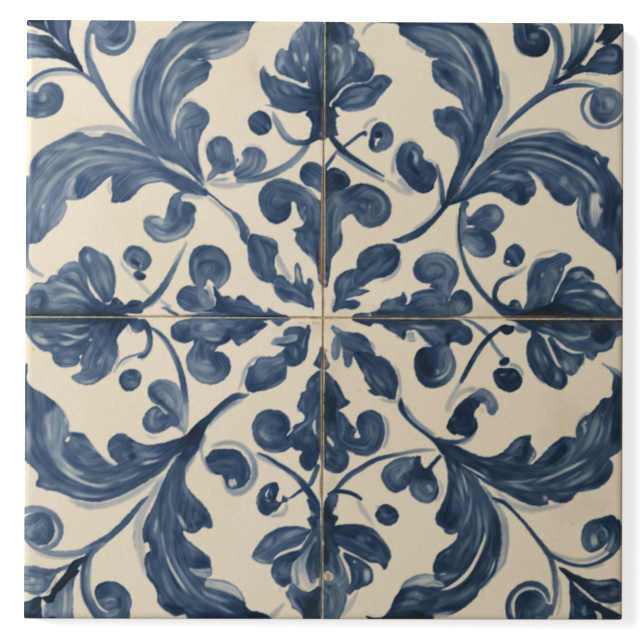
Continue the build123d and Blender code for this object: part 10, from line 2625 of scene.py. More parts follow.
def se_right_trefoil():
    body([(7, 0.4), (7.4, -0.3), (8.6, -0.7), (10, -1.1), (10.8, -1.5), (11.8, -1.4), (12.2, -0.8),
          (13.4, -0.7), (14.4, -1.1), (15.7, -2.3), (17, -2.9), (18, -3.4), (19, -4.3), (20.3, -4.9),
          (20.7, -4), (20.8, -2.8), (23, -2.5), (24.6, -4.1), (25.8, -5.6), (27, -6.5), (29, -7.4),
          (31.6, -7), (32, -5.8), (33.4, -5.5), (34.9, -6.2), (36.4, -6.1), (37.5, -4.9), (37.7, -3.4),
          (36.9, -1.8), (35.6, -1), (33, 0.4)],
         [(8, -0.5, 0.92), (14, -1, 0.78), (19, -2.5, 0.78), (25, -2.2, 0.7), (29.5, -4.5, 0.76),
          (34, -3.5, 0.84)])
    dark([(10.6, -0.9, 0.4, 0.95), (12.6, -0.4, 0.35, 0.9), (15.4, -0.6, 0.5, 0.9),
          (18.4, -0.8, 0.5, 0.86)])
    dark([(19.3, -3.6, 0.4, 0.98), (20, -3.6, 0.5, 1.02), (20.2, -2.6, 0.4, 0.95)])
    light([(16, -1.8, 0.3, 0.66), (17.6, -2.4, 0.35, 0.64), (18.6, -3.3, 0.3, 0.6)])
    light([(17.9, -3.8, 0.2, 0.4), (19, -4.6, 0.2, 0.4)])
    wash([(21.2, -3, 0.3, 0.34), (21.9, -4, 1.0, 0.34), (22.9, -3.9, 0.8, 0.36)], strength=1.0)
    dark([(20.8, -4.9, 0.15, 0.5), (22.2, -5.3, 0.18, 0.48), (23.5, -4.8, 0.15, 0.46)])
    light([(20.8, -1.6, 0.4, 0.5), (22.8, -1.4, 0.45, 0.42), (25, -1.9, 0.4, 0.44),
           (27.4, -1.8, 0.35, 0.48), (29.6, -1.4, 0.25, 0.6)])
    dark([(22, -0.5, 0.35, 0.84), (26, -0.7, 0.4, 0.86), (30, -0.7, 0.4, 0.88), (33.4, -1, 0.4, 0.86)])
    dark([(23.4, -2.6, 0.3, 0.84), (24.8, -3.6, 0.5, 0.86), (26.2, -4.8, 0.5, 0.84),
          (27.6, -6, 0.5, 0.82), (28.6, -7.4, 0.5, 0.84)])
    light([(25.6, -2.8, 0.4, 0.64), (27.6, -3.4, 0.6, 0.64), (29, -4.6, 0.6, 0.66),
           (29.8, -6.2, 0.5, 0.68)])
    dark([(31, -2.6, 0.8, 0.9), (31.6, -4.2, 0.9, 0.94), (31.2, -5.8, 0.6, 0.94), (30.6, -7, 0.5, 0.9)])
    dark([(35, -1.8, 0.35, 0.84), (36.7, -2.8, 0.4, 0.9), (36.9, -4.4, 0.45, 0.92),
          (35.6, -5.5, 0.45, 0.9), (33.6, -4.9, 0.5, 0.88)])
    light([(33.2, -2.9, 0.5, 0.74), (34.8, -3, 0.6, 0.72), (35.2, -4, 0.5, 0.74)])
    wash([(25.6, -6, 0.2, 0.4), (26.6, -6.8, 0.2, 0.4)])
    body([(27.4, -6.7), (25.3, -6.7), (23.9, -7.5), (23, -9), (22.7, -11.1), (23.1, -13.4), (23.9, -15.4),
          (25.4, -16.7), (27.2, -17.2), (29.3, -16.9), (31.3, -15.9), (32.8, -14.1), (33.5, -11.6),
          (33.1, -9.3), (32.3, -7.6), (31.4, -6.4), (29, -5.8)],
         [(25, -8, 0.95), (24.5, -12, 0.95), (27, -15.8, 0.86), (31.5, -13.5, 0.66), (31.5, -9, 0.6)])
    dark([(26, -7.8, 0.8, 0.98), (25, -9.8, 1.2, 1.0), (25.4, -12.2, 1.4, 1.0), (26.6, -13.6, 0.8, 0.98),
          (27.6, -11, 0.9, 0.95), (28.4, -8.8, 0.8, 0.92)])
    dark([(24.6, -14.6, 0.7, 0.92), (26.4, -16.1, 0.6, 0.94), (28.6, -16.2, 0.5, 0.9),
          (30.6, -15.2, 0.35, 0.8)])
    dark([(29.6, -9.6, 0.5, 0.8), (30, -11.6, 0.5, 0.78), (29.2, -13.4, 0.4, 0.78)])
    light([(30.8, -7.9, 0.35, 0.5), (31.8, -9.4, 0.5, 0.44), (32, -11.2, 0.45, 0.42),
           (31.3, -13, 0.4, 0.4), (29.8, -14.4, 0.35, 0.36), (28, -15, 0.3, 0.4),
           (26.8, -14.6, 0.2, 0.5)])
    light([(30.6, -9, 0.3, 0.56), (31, -11, 0.25, 0.52), (30.4, -12.6, 0.25, 0.5),
           (29, -13.6, 0.25, 0.5)])
    light([(31, -13.6, 0.15, 0.28), (29.8, -14.5, 0.2, 0.2), (28.4, -15, 0.16, 0.26)])
    light([(32.8, -10, 0.25, 0.6), (32.9, -12, 0.3, 0.6), (32.2, -14, 0.3, 0.6),
           (30.6, -15.6, 0.25, 0.6)])
    light([(28.2, -12.2, 0.3, 0.62), (28.9, -13, 0.35, 0.5), (28.2, -13.8, 0.25, 0.56)])


def se_foot_trefoil():
    body([(-0.4, -6.8), (0.2, -8.6), (0.7, -10.2), (1.4, -11.5), (0.9, -12.4), (-0.4, -12.8)],
         [(0.2, -8.5, 0.66), (0.6, -11.5, 0.74)])
    light([(0.2, -9.2, 0.2, 0.56), (0.6, -10.8, 0.2, 0.6)])
    body([(-0.4, -12.9), (1, -13.5), (2.3, -14.9), (3.5, -16.2), (4.1, -17.5), (4.8, -19), (5.7, -20.2),
          (6.6, -20.9), (5.7, -21.8), (4.4, -22.5), (3.6, -23), (4.8, -23.6), (5.9, -24.9), (6.5, -26.2),
          (7.5, -26.9), (8.1, -28), (7.6, -29.2), (7.7, -29.9), (9.2, -29.8), (8.5, -28), (8.1, -26.4),
          (8.4, -24.9), (9.3, -23.6), (11.1, -22.8), (13.1, -23.1), (14.5, -24.2), (15.2, -26.2),
          (15.4, -28.2), (15.1, -30.3), (14.4, -32.3), (12.8, -33.8), (10.8, -34.5), (8.7, -34.3),
          (6.9, -33.6), (5.7, -33.1), (6.2, -34.2), (6.4, -35.5), (5.9, -37.2), (4.6, -38.5), (3, -39),
          (1.4, -38.4), (-0.4, -37)],
         [(1, -14.5, 0.76), (2.5, -19, 0.86), (3, -25, 0.8), (4.5, -31, 0.8), (11, -32.5, 0.74),
          (13.5, -27, 0.74), (10.5, -24.5, 0.82)])
    dark([(1.2, -17.6, 0.9, 0.95), (2, -20, 1.3, 0.95), (2.2, -22, 1.1, 0.98), (1.6, -24.5, 0.8, 0.98),
          (1.2, -27, 0.6, 0.95)])
    light([(1.7, -14.9, 0.35, 0.56), (2.3, -16.2, 0.35, 0.64)])
    light([(3.4, -18.4, 0.35, 0.7), (4.4, -20.4, 0.4, 0.72), (4, -21.6, 0.3, 0.74)])
    light([(4.2, -24.4, 0.3, 0.68), (4.8, -26.6, 0.4, 0.64), (4.7, -29, 0.4, 0.62), (4.3, -31, 0.3, 0.7)])
    dark([(3.5, -24.6, 0.3, 0.88), (3.4, -27, 0.4, 0.86), (3.4, -29.6, 0.4, 0.84)])
    dark([(5.8, -26.4, 0.35, 0.86), (6.2, -28.8, 0.4, 0.86), (6, -31, 0.5, 0.84)])
    light([(2.2, -28, 0.4, 0.64), (2, -29.6, 0.35, 0.62)])
    light([(7.5, -27.4, 0.3, 0.56), (7.6, -28.4, 0.25, 0.54)])
    dark([(9, -27.4, 0.4, 0.86), (8.9, -25.6, 0.5, 0.9), (10, -24, 0.6, 0.86), (12, -23.7, 0.4, 0.8)])
    light([(10.6, -25.4, 0.5, 0.66), (11.4, -27, 0.8, 0.62), (11.6, -29, 0.7, 0.64),
           (10.6, -30.6, 0.5, 0.7)])
    dark([(14, -25.4, 0.4, 0.84), (14.5, -27.8, 0.5, 0.88), (14.2, -30.4, 0.6, 0.9),
          (12.9, -32.4, 0.5, 0.86), (10.6, -33.4, 0.4, 0.8)])
    light([(13, -24.4, 0.4, 0.64), (13.9, -24.6, 0.3, 0.6)])
    dark([(9.8, -28.8, 0.3, 0.84), (9.2, -30.6, 0.4, 0.84), (7.4, -31.6, 0.5, 0.84)])
    light([(8.6, -32.6, 0.4, 0.68), (11.2, -32.4, 0.4, 0.66)])
    wash([(14.8, -23.9, 0.3, 0.34), (15.9, -26, 0.45, 0.36), (16.1, -28.6, 0.45, 0.36),
          (15.7, -31, 0.4, 0.36), (14.8, -32.8, 0.3, 0.36)])
    light([(0.5, -29.3, 0.2, 0.1), (1.2, -30.3, 0.45, 0.04), (2, -31.4, 0.4, 0.05),
           (2.4, -32.2, 0.15, 0.1)], strength=1.0)
    light([(8.1, -29.6, 0.35, 0.04), (8.8, -29.7, 0.2, 0.05)], strength=1.0)
    dark([(2.2, -33.2, 0.4, 0.88), (4.4, -33.4, 0.4, 0.88), (5.6, -34.8, 0.4, 0.86),
          (5.3, -36.8, 0.5, 0.88), (3.6, -38.2, 0.5, 0.88), (1.8, -37.6, 0.4, 0.84)])
    light([(3, -34.8, 0.5, 0.7), (4.2, -35.4, 0.6, 0.66), (3.2, -36.6, 0.5, 0.7)])
    light([(0.6, -33.4, 0.5, 0.56), (0.9, -35.4, 0.5, 0.6)])


def se_flower_root():
    # joins the foot flower to its stem beside the joint
    line([(0.7, -52.4, 1.2, 0.84), (1.1, -55.2, 1.5, 0.9), (2.1, -57.4, 1.2, 0.88),
          (3.4, -58.6, 0.8, 0.82)])


def se_quarter():
    parts = (
        se_right_leaf, se_lower_leaf, se_corner, se_hub,
        se_right_bud, se_lower_stem, se_right_flower, se_foot_flower,
        se_right_trefoil, se_foot_trefoil, se_flower_root,
    )
    for part in parts:
        part()


quarters = (nw_quarter, ne_quarter, sw_quarter, se_quarter)


def mesh_lines(score):
    """Where the mesh lines lie on one axis, from the score line to the foot of the glaze on both walls."""
    sides = []
    for sign in (-1, 1):
        flat_end = half_side - shoulder_width
        start = sign * score + score_offsets[-1]
        near = [sign * score + offset for offset in score_offsets]
        flat = np.linspace(start, flat_end, face_lines + 1)[1:]
        turn = np.linspace(0, math.pi / 2, shoulder_lines + 1)[1:]
        shoulder = flat_end + shoulder_width * np.sin(turn)
        wall = half_side + glaze_run * np.array(run_steps)
        sides.append(np.concatenate([near, flat, shoulder, wall]) * sign)
    return sides[0][::-1], sides[1]


def shoulder_height(across):
    """Height of the blank at a distance from its middle plane, before the score lines are cut."""
    past = np.clip((across - (half_side - shoulder_width)) / shoulder_width, 0, 1)
    return face_height - shoulder_drop * (1 - np.sqrt(1 - past**2))


def score_height(away):
    """Height of a score line's floor and flanks at a distance from its middle."""
    slope = score_depth / ((score_width - score_floor_width) / 2)
    return face_height - score_depth + slope * np.clip(away - score_floor_width / 2, 0, None)


least_zone = 1e-6


def glaze_places(across, along):
    """The glaze's points over a grid of mesh lines: flat face, rolled shoulder, rounded corners, walls."""
    a, b = np.meshgrid(across, along)
    reach = np.maximum(np.abs(a), np.abs(b))
    depth = np.clip(reach - half_side, 0, None)
    ring = np.minimum(reach, half_side)
    turned = np.clip((ring - (half_side - shoulder_width)) / shoulder_width, 0, 1)
    radius = corner_radius * turned
    straight = ring - radius
    zone = np.maximum(reach - straight, least_zone)
    part_a = np.clip((np.abs(a) - straight) / zone, 0, 1)
    part_b = np.clip((np.abs(b) - straight) / zone, 0, 1)
    angle = math.pi / 4 * (1 + part_b - part_a)
    cornered = (part_a > 0) & (part_b > 0) & (radius > 0)
    x = np.where(cornered, straight + radius * np.cos(angle), np.minimum(np.abs(a), ring))
    y = np.where(cornered, straight + radius * np.sin(angle), np.minimum(np.abs(b), ring))
    z = np.minimum(shoulder_height(x), shoulder_height(y))
    z = np.minimum(z, score_height(np.abs(a - score_x)))
    z = np.minimum(z, score_height(np.abs(b - score_y)))
    ragged = 1 + glaze_run_spread / glaze_run * ripple(a / glaze_run_wave, b / glaze_run_wave, seed=2)
    fall = depth * ragged
    wall_height = face_height - shoulder_drop
    shrink = 1 - draft_inset / half_side * fall / wall_height + glaze_proud / half_side * (depth > 0)
    return np.stack([np.sign(a) * x * shrink, np.sign(b) * y * shrink, z - fall + glaze_proud], axis=-1)


# Room left at the border of a quarter's sheet for baked pictures
bake_margin = 0.004


def quarter_mesh(name, places, layers):
    """A grid mesh over one quarter, with each paint layer as a value at its points."""
    rows, columns = places.shape[:2]
    mesh = bpy.data.meshes.new(name)
    index = np.arange(rows * columns).reshape(rows, columns)
    quads = np.stack([index[:-1, :-1], index[:-1, 1:], index[1:, 1:], index[1:, :-1]], axis=-1).reshape(-1)
    count = (rows - 1) * (columns - 1)
    mesh.vertices.add(rows * columns)
    mesh.vertices.foreach_set("co", (places * MM).astype(np.float32).ravel())
    mesh.loops.add(4 * count)
    mesh.loops.foreach_set("vertex_index", quads.astype(np.int32))
    mesh.polygons.add(count)
    mesh.polygons.foreach_set("loop_start", np.arange(0, 4 * count, 4, dtype=np.int32))
    mesh.polygons.foreach_set("use_smooth", np.ones(count, dtype=bool))
    for layer_name, values in layers.items():
        layer = mesh.attributes.new(layer_name, "FLOAT", "POINT")
        layer.data.foreach_set("value", values.astype(np.float32).ravel())
    shares_across = np.linspace(bake_margin, 1 - bake_margin, columns)
    shares_along = np.linspace(bake_margin, 1 - bake_margin, rows)
    u, v = np.meshgrid(shares_across, shares_along)
    flat = np.stack([u, v], axis=-1).reshape(-1, 2)[quads]
    bake = mesh.uv_layers.new(name="OFBake")
    bake.data.foreach_set("uv", flat.astype(np.float32).ravel())
    mesh.update(calc_edges=True)
    mesh.validate()
    piece = bpy.data.objects.new(name, mesh)
    bpy.context.scene.collection.objects.link(piece)
    return piece


def new_material(name):
    material = bpy.data.materials.new(name)
    material.use_nodes = True
    nodes = material.node_tree.nodes
    links = material.node_tree.links
    return material, nodes, links, nodes["Principled BSDF"]


def value_at(nodes, name):
    """One of a quarter's paint layers, read back in its material."""
    node = nodes.new("ShaderNodeAttribute")
    node.attribute_name = name
    return node.outputs["Fac"]


def linear(byte_colour):
    """A display colour of three bytes as linear light, by the standard display curve."""
    shares = [c / 255 for c in byte_colour]
    return tuple(s / 12.92 if s <= 0.04 else ((s + 0.055) / 1.055) ** 2.4 for s in shares) + (1.0,)


def mix_colour(nodes, links, factor, first, second, blend="MIX"):
    """Two colours mixed by a factor. Each may be a fixed value or another node's output."""
    node = nodes.new("ShaderNodeMix")
    node.data_type = "RGBA"
    node.blend_type = blend
    for socket, value in ((node.inputs[0], factor), (node.inputs[6], first), (node.inputs[7], second)):
        if hasattr(value, "is_output"):
            links.new(value, socket)
        else:
            socket.default_value = value
    return node.outputs[2]


def noise(nodes, links, place, scale, detail, roughness=0.5):
    node = nodes.new("ShaderNodeTexNoise")
    node.inputs["Scale"].default_value = scale
    node.inputs["Detail"].default_value = detail
    node.inputs["Roughness"].default_value = roughness
    links.new(place, node.inputs["Vector"])
    return node.outputs["Fac"]


def ranged(nodes, links, value, source, target=(0, 1)):
    """A value moved from one range to another and held inside it."""
    node = nodes.new("ShaderNodeMapRange")
    for socket, number in zip(node.inputs[1:5], (*source, *target)):
        socket.default_value = number
    links.new(value, node.inputs[0])
    return node.outputs[0]


def ramp(nodes, links, value, stops):
    """Colours by value: stops are (value from 0 to 1, display colour)."""
    node = nodes.new("ShaderNodeValToRGB")
    elements = node.color_ramp.elements
    while len(elements) < len(stops):
        elements.new(1.0)
    for element, (position, colour) in zip(elements, stops):
        element.position = position
        element.color = linear(colour)
    links.new(value, node.inputs[0])
    return node.outputs["Color"]


def relief(nodes, links, shader, height, distance, strength):
    """Fine relief on a surface, at most the given distance high in metres."""
    bump = nodes.new("ShaderNodeBump")
    bump.inputs["Distance"].default_value = distance
    bump.inputs["Strength"].default_value = strength
    links.new(height, bump.inputs["Height"])
    links.new(bump.outputs["Normal"], shader.inputs["Normal"])


# Display colours of the brushwork by how much pigment lies there, from the bare glaze to the deepest blue
pigment_full = 1.2
pigment_colours = (
    (0.0, (219, 210, 192)), (0.1, (197, 192, 181)), (0.2, (176, 178, 176)), (0.3, (153, 161, 168)),
    (0.4, (128, 142, 157)), (0.5, (105, 122, 143)), (0.6, (85, 105, 130)), (0.7, (64, 86, 114)),
    (0.8, (44, 69, 98)), (0.9, (27, 51, 80)), (1.0, (11, 35, 61)), (1.15, (2, 16, 32)),
)

# Linear tints that the glaze is multiplied by where it is mottled, then display colours of the ground's
# brown tint, partly painted shade, and of dirt, partly painted edge shade
broad_mottle = (0.965, 0.95, 0.915, 1)
fine_mottle = (0.93, 0.925, 0.91, 1)
tint_and_shade_colour = (240, 234, 222)
grout_colour = (186, 178, 150)
stain_and_shade_colour = (150, 112, 72)
soot_colour = (30, 37, 32)

# Display colours of the bare clay, its specks and its dust
clay_colours = ((0.3, (182, 156, 130)), (0.5, (198, 172, 145)), (0.72, (212, 190, 165)))
speck_colour = (140, 104, 76)
dust_colour = (228, 212, 188)


def glaze_material():
    """Satin glaze: blue brushwork on a mottled cream ground, with grout, brown staining and soot over it,
    and painted shade: darker to the right and foot, and a brown line down the right edge.
    """
    material, nodes, links, shader = new_material("glaze")
    place = nodes.new("ShaderNodeTexCoord").outputs["Object"]
    pigment = value_at(nodes, "pigment")
    scaled = ranged(nodes, links, pigment, source=(0, pigment_full))
    colour = ramp(nodes, links, scaled, [(s / pigment_full, c) for s, c in pigment_colours])
    broad = ranged(nodes, links, noise(nodes, links, place, scale=38, detail=3), source=(0.3, 0.7))
    colour = mix_colour(nodes, links, broad, colour, broad_mottle, "MULTIPLY")
    fine_noise = noise(nodes, links, place, scale=900, detail=3, roughness=0.65)
    fine = ranged(nodes, links, fine_noise, source=(0.25, 0.75))
    colour = mix_colour(nodes, links, fine, colour, fine_mottle, "MULTIPLY")
    # brown tint of the ground, with painted shade that darkens it to the right and foot
    colour = mix_colour(nodes, links, value_at(nodes, "tint_and_shade"), colour, linear(tint_and_shade_colour), "MULTIPLY")
    colour = mix_colour(nodes, links, value_at(nodes, "grout"), colour, linear(grout_colour))
    # brown staining, with a painted shade along the right edge
    colour = mix_colour(nodes, links, value_at(nodes, "stain_and_shade"), colour, linear(stain_and_shade_colour))
    colour = mix_colour(nodes, links, value_at(nodes, "soot"), colour, linear(soot_colour))
    links.new(colour, shader.inputs["Base Color"])
    sheen = noise(nodes, links, place, scale=260, detail=3)
    rough = ranged(nodes, links, sheen, source=(0.3, 0.7), target=(0.34, 0.46))
    links.new(rough, shader.inputs["Roughness"])
    shader.inputs["Specular IOR Level"].default_value = 0.28
    waves = noise(nodes, links, place, scale=420, detail=4, roughness=0.6)
    relief(nodes, links, shader, waves, distance=0.00006, strength=0.6)
    return material


def clay_material():
    """Bare fired clay on the back and the foot of the edge walls: buff, speckled, chalky."""
    material, nodes, links, shader = new_material("bare_clay")
    place = nodes.new("ShaderNodeTexCoord").outputs["Object"]
    cloud = noise(nodes, links, place, scale=60, detail=4, roughness=0.6)
    colour = ramp(nodes, links, cloud, clay_colours)
    speck_noise = noise(nodes, links, place, scale=1400, detail=2)
    speck = ranged(nodes, links, speck_noise, source=(0.62, 0.72), target=(0, 0.6))
    colour = mix_colour(nodes, links, speck, colour, linear(speck_colour))
    dust_noise = noise(nodes, links, place, scale=500, detail=3, roughness=0.7)
    dust = ranged(nodes, links, dust_noise, source=(0.55, 0.8), target=(0, 0.5))
    colour = mix_colour(nodes, links, dust, colour, linear(dust_colour))
    links.new(colour, shader.inputs["Base Color"])
    shader.inputs["Roughness"].default_value = 0.88
    shader.inputs["Specular IOR Level"].default_value = 0.25
    grains = noise(nodes, links, place, scale=1100, detail=5, roughness=0.7)
    relief(nodes, links, shader, grains, distance=0.0002, strength=0.5)
    return material


# Marks as (x, y, half width, amount) rows. Soot, nearly black, in and beside the score lines
soot_marks = (
    ((-77, 1.05, 0.25, 0.7), (-72, 1.1, 0.32, 0.85), (-66, 1.15, 0.34, 0.8), (-60, 1.15, 0.3, 0.8),
     (-55, 1.1, 0.24, 0.7), (-50, 1, 0.2, 0.5)),
    ((-75, 0.05, 0.2, 0.35), (-64, 0.1, 0.22, 0.4), (-56, 0.05, 0.24, 0.55), (-50, 0.1, 0.2, 0.4)),
    ((-38, 0.95, 0.2, 0.5), (-30, 0.95, 0.22, 0.65), (-22, 0.95, 0.22, 0.7), (-14, 0.9, 0.2, 0.6),
     (-10, 0.85, 0.15, 0.4)),
    ((8, 0.2, 0.2, 0.5), (14, 0.1, 0.22, 0.55), (20, 0, 0.28, 0.75), (25, 0, 0.3, 0.85),
     (31, 0, 0.28, 0.75), (35, 0.1, 0.2, 0.6)),
    ((12, 1.1, 0.22, 0.45), (20, 1.1, 0.26, 0.55), (28, 1.1, 0.24, 0.55), (36, 1.1, 0.2, 0.5)),
    ((46, 0.1, 0.2, 0.5), (52, 0, 0.34, 0.85), (58, -0.1, 0.42, 0.95), (64, -0.1, 0.44, 1),
     (70, -0.1, 0.44, 1), (77, -0.1, 0.4, 1)),
    ((50, 1.3, 0.25, 0.5), (56, 1.3, 0.38, 0.7), (62, 1.4, 0.42, 0.9), (68, 1.45, 0.38, 0.8),
     (74, 1.4, 0.3, 0.7)),
    ((-1, -77, 0.32, 0.75), (-1, -72, 0.34, 0.85), (-0.95, -66, 0.32, 0.8), (-0.9, -60, 0.26, 0.7),
     (-0.9, -56, 0.2, 0.5)),
    ((0.2, -64, 0.22, 0.5), (0.3, -58, 0.4, 0.85), (0.3, -52, 0.42, 0.9), (0.25, -46, 0.3, 0.7)),
    ((-0.85, -45, 0.22, 0.5), (-0.9, -42, 0.24, 0.5), (-0.85, -39, 0.18, 0.3)),
    ((0.2, -37, 0.22, 0.5), (0.25, -31, 0.4, 0.85), (0.25, -25, 0.42, 0.95), (0.25, -19, 0.4, 0.9),
     (0.2, -15, 0.24, 0.6), (0.2, -12, 0.2, 0.5)),
    ((-0.9, -34, 0.2, 0.4), (-0.95, -28, 0.24, 0.5), (-0.9, -22, 0.2, 0.4)),
    ((0.2, 12, 0.2, 0.4), (0.25, 17, 0.26, 0.6), (0.2, 22, 0.22, 0.5), (0.25, 28, 0.28, 0.6),
     (0.3, 34, 0.4, 0.9), (0.25, 37, 0.34, 0.85), (0.2, 39, 0.2, 0.4)),
    ((0.2, 50, 0.2, 0.4), (0.25, 55, 0.32, 0.7), (0.35, 61, 0.42, 0.9), (0.35, 68, 0.46, 1),
     (0.35, 77, 0.46, 1)),
    ((-0.9, 56, 0.2, 0.4), (-0.9, 64, 0.22, 0.45), (-0.85, 72, 0.2, 0.4)),
)

# Brown staining along the score lines, then small spots of it, and last a painted shade: a brown line down
# the right edge, where the shoulder turns away from the lamp
stain_and_edge_shade_marks = (
    ((-50, 0.75, 0.2, 0.35), (-44, 0.8, 0.4, 0.42), (-38, 0.8, 0.4, 0.45), (-33, 0.7, 0.2, 0.3)),
    ((-12, 0.6, 0.25, 0.6), (-5, 0.6, 0.34, 0.75), (0, 0.5, 0.34, 0.8), (5, 0.55, 0.26, 0.65),
     (8, 0.6, 0.2, 0.6)),
    ((34, 0.8, 0.3, 0.4), (42, 0.9, 0.45, 0.5), (47, 0.9, 0.35, 0.5), (54, 1, 0.3, 0.5),
     (62, 0.9, 0.2, 0.4), (76, 0.9, 0.1, 0.3)),
    ((8, 0.9, 0.25, 0.35), (14, 0.95, 0.3, 0.35), (22, 0.95, 0.25, 0.3), (30, 0.9, 0.25, 0.3),
     (35, 0.9, 0.2, 0.35)),
    ((-6.3, -0.9, 0.4, 0.3), (-5, -0.8, 0.45, 0.35)),
    ((-3, -0.7, 0.35, 0.45), (-1.6, -0.95, 0.45, 0.5)),
    ((-0.45, -47, 0.39, 0.4), (-0.5, -42, 0.54, 0.5), (-0.5, -38, 0.49, 0.45), (-0.7, -30, 0.49, 0.4),
     (-0.6, -22, 0.44, 0.35), (-0.5, -14, 0.44, 0.4), (-0.4, -8, 0.39, 0.6), (-0.4, -4, 0.39, 0.7),
     (-0.4, 0, 0.48, 0.8), (-0.4, 4, 0.42, 0.75), (-0.5, 8, 0.54, 0.7), (-0.7, 13, 0.79, 0.6),
     (-0.7, 18, 0.74, 0.5), (-0.6, 24, 0.54, 0.45), (-0.5, 31, 0.54, 0.55), (-0.5, 37, 0.49, 0.45),
     (-0.5, 46, 0.54, 0.45), (-0.5, 54, 0.39, 0.4)),
    ((0.35, -7.6, 0.3, 0.9), (0.45, -8, 0.3, 0.9)),
    ((0.3, -10.3, 0.35, 0.8), (0.4, -11.6, 0.35, 0.8)),
    ((-1.6, -28.8, 0.35, 0.5), (-1.6, -29.4, 0.3, 0.5)),
    ((-2.8, -0.5, 0.4, 0.5), (-2.8, -1, 0.4, 0.5)),
    ((1.1, -64.8, 0.6, 0.85), (1.3, -65.4, 0.6, 0.85)),
    ((70.8, -47.9, 0.25, 0.55), (71, -48.2, 0.25, 0.55)),
    ((63.2, -51.3, 0.2, 0.5), (63.4, -51.6, 0.2, 0.5)),
    ((57.4, -53.7, 0.15, 0.3), (57.6, -53.9, 0.15, 0.3)),
    ((58.7, -55.4, 0.15, 0.3), (58.9, -55.6, 0.15, 0.3)),
    ((45.3, -73.6, 0.2, 0.35), (45.5, -73.8, 0.2, 0.35)),
    ((8.4, -17.9, 0.25, 0.3), (8.6, -18.2, 0.25, 0.3)),
    ((-73.9, -7.7, 0.25, 0.35), (-73.7, -8, 0.25, 0.35)),
    # painted shade: a thin brown line down the right shoulder, which faces away from the lamp
    ((75.7, -76, 0.3, 0.3), (75.8, -30, 0.35, 0.32), (75.8, 30, 0.35, 0.3), (75.7, 76, 0.3, 0.25)),
)

# Faint brown smudges on the bare ground
smudge_marks = (
    ((-18.6, 67, 0.8, 0.14), (-18, 62, 1.2, 0.2), (-17, 58, 0.8, 0.12)),
    ((58, -20, 3, 0.1), (62, -26, 4, 0.16), (57, -29, 3, 0.1)),
    ((60, -50, 2, 0.1), (66, -47, 3, 0.14), (71, -47, 2, 0.12)),
    ((2, -14, 1, 0.12), (4, -6, 1.5, 0.16), (3, 4, 1.5, 0.14), (-3, 8, 1.2, 0.12)),
    ((-12, -2, 1, 0.12), (-4, -3, 1.6, 0.18), (6, 2.5, 1.6, 0.16), (14, 3, 1, 0.1)),
    ((36, 2.4, 1, 0.14), (43, 2.6, 1.4, 0.2), (48, 2.4, 0.8, 0.14)),
    ((1.2, -46, 0.8, 0.16), (1.6, -41, 1.3, 0.22), (1.4, -37, 0.8, 0.14)),
)

# Pale grout in the score lines, and a pale ring round the largest spot
grout_marks = (
    ((-76, 0.5, 0.23, 0.95), (-58, 0.5, 0.23, 0.9), (-40, 0.5, 0.21, 0.7), (-24, 0.5, 0.21, 0.75),
     (-11, 0.5, 0.17, 0.4), (0, 0.5, 0.13, 0.1), (8, 0.5, 0.19, 0.5), (20, 0.5, 0.25, 0.85),
     (38, 0.5, 0.21, 0.6), (52, 0.5, 0.25, 0.85), (76, 0.5, 0.23, 0.9)),
    ((-0.35, -76, 0.27, 0.9), (-0.4, -62, 0.27, 0.9), (-0.4, -46, 0.23, 0.7), (-0.4, -34, 0.42, 0.75),
     (-0.4, -12, 0.45, 0.7), (-0.4, -8, 0.17, 0.3), (-0.4, 0, 0.13, 0.1), (-0.4, 8, 0.23, 0.4),
     (-0.4, 14, 0.46, 0.7), (-0.4, 34, 0.42, 0.8), (-0.4, 46, 0.23, 0.6), (-0.35, 58, 0.25, 0.9),
     (-0.35, 76, 0.25, 0.95)),
    ((0.8, -65, 1.07, 0.7), (1.5, -65.2, 0.97, 0.7)),
)

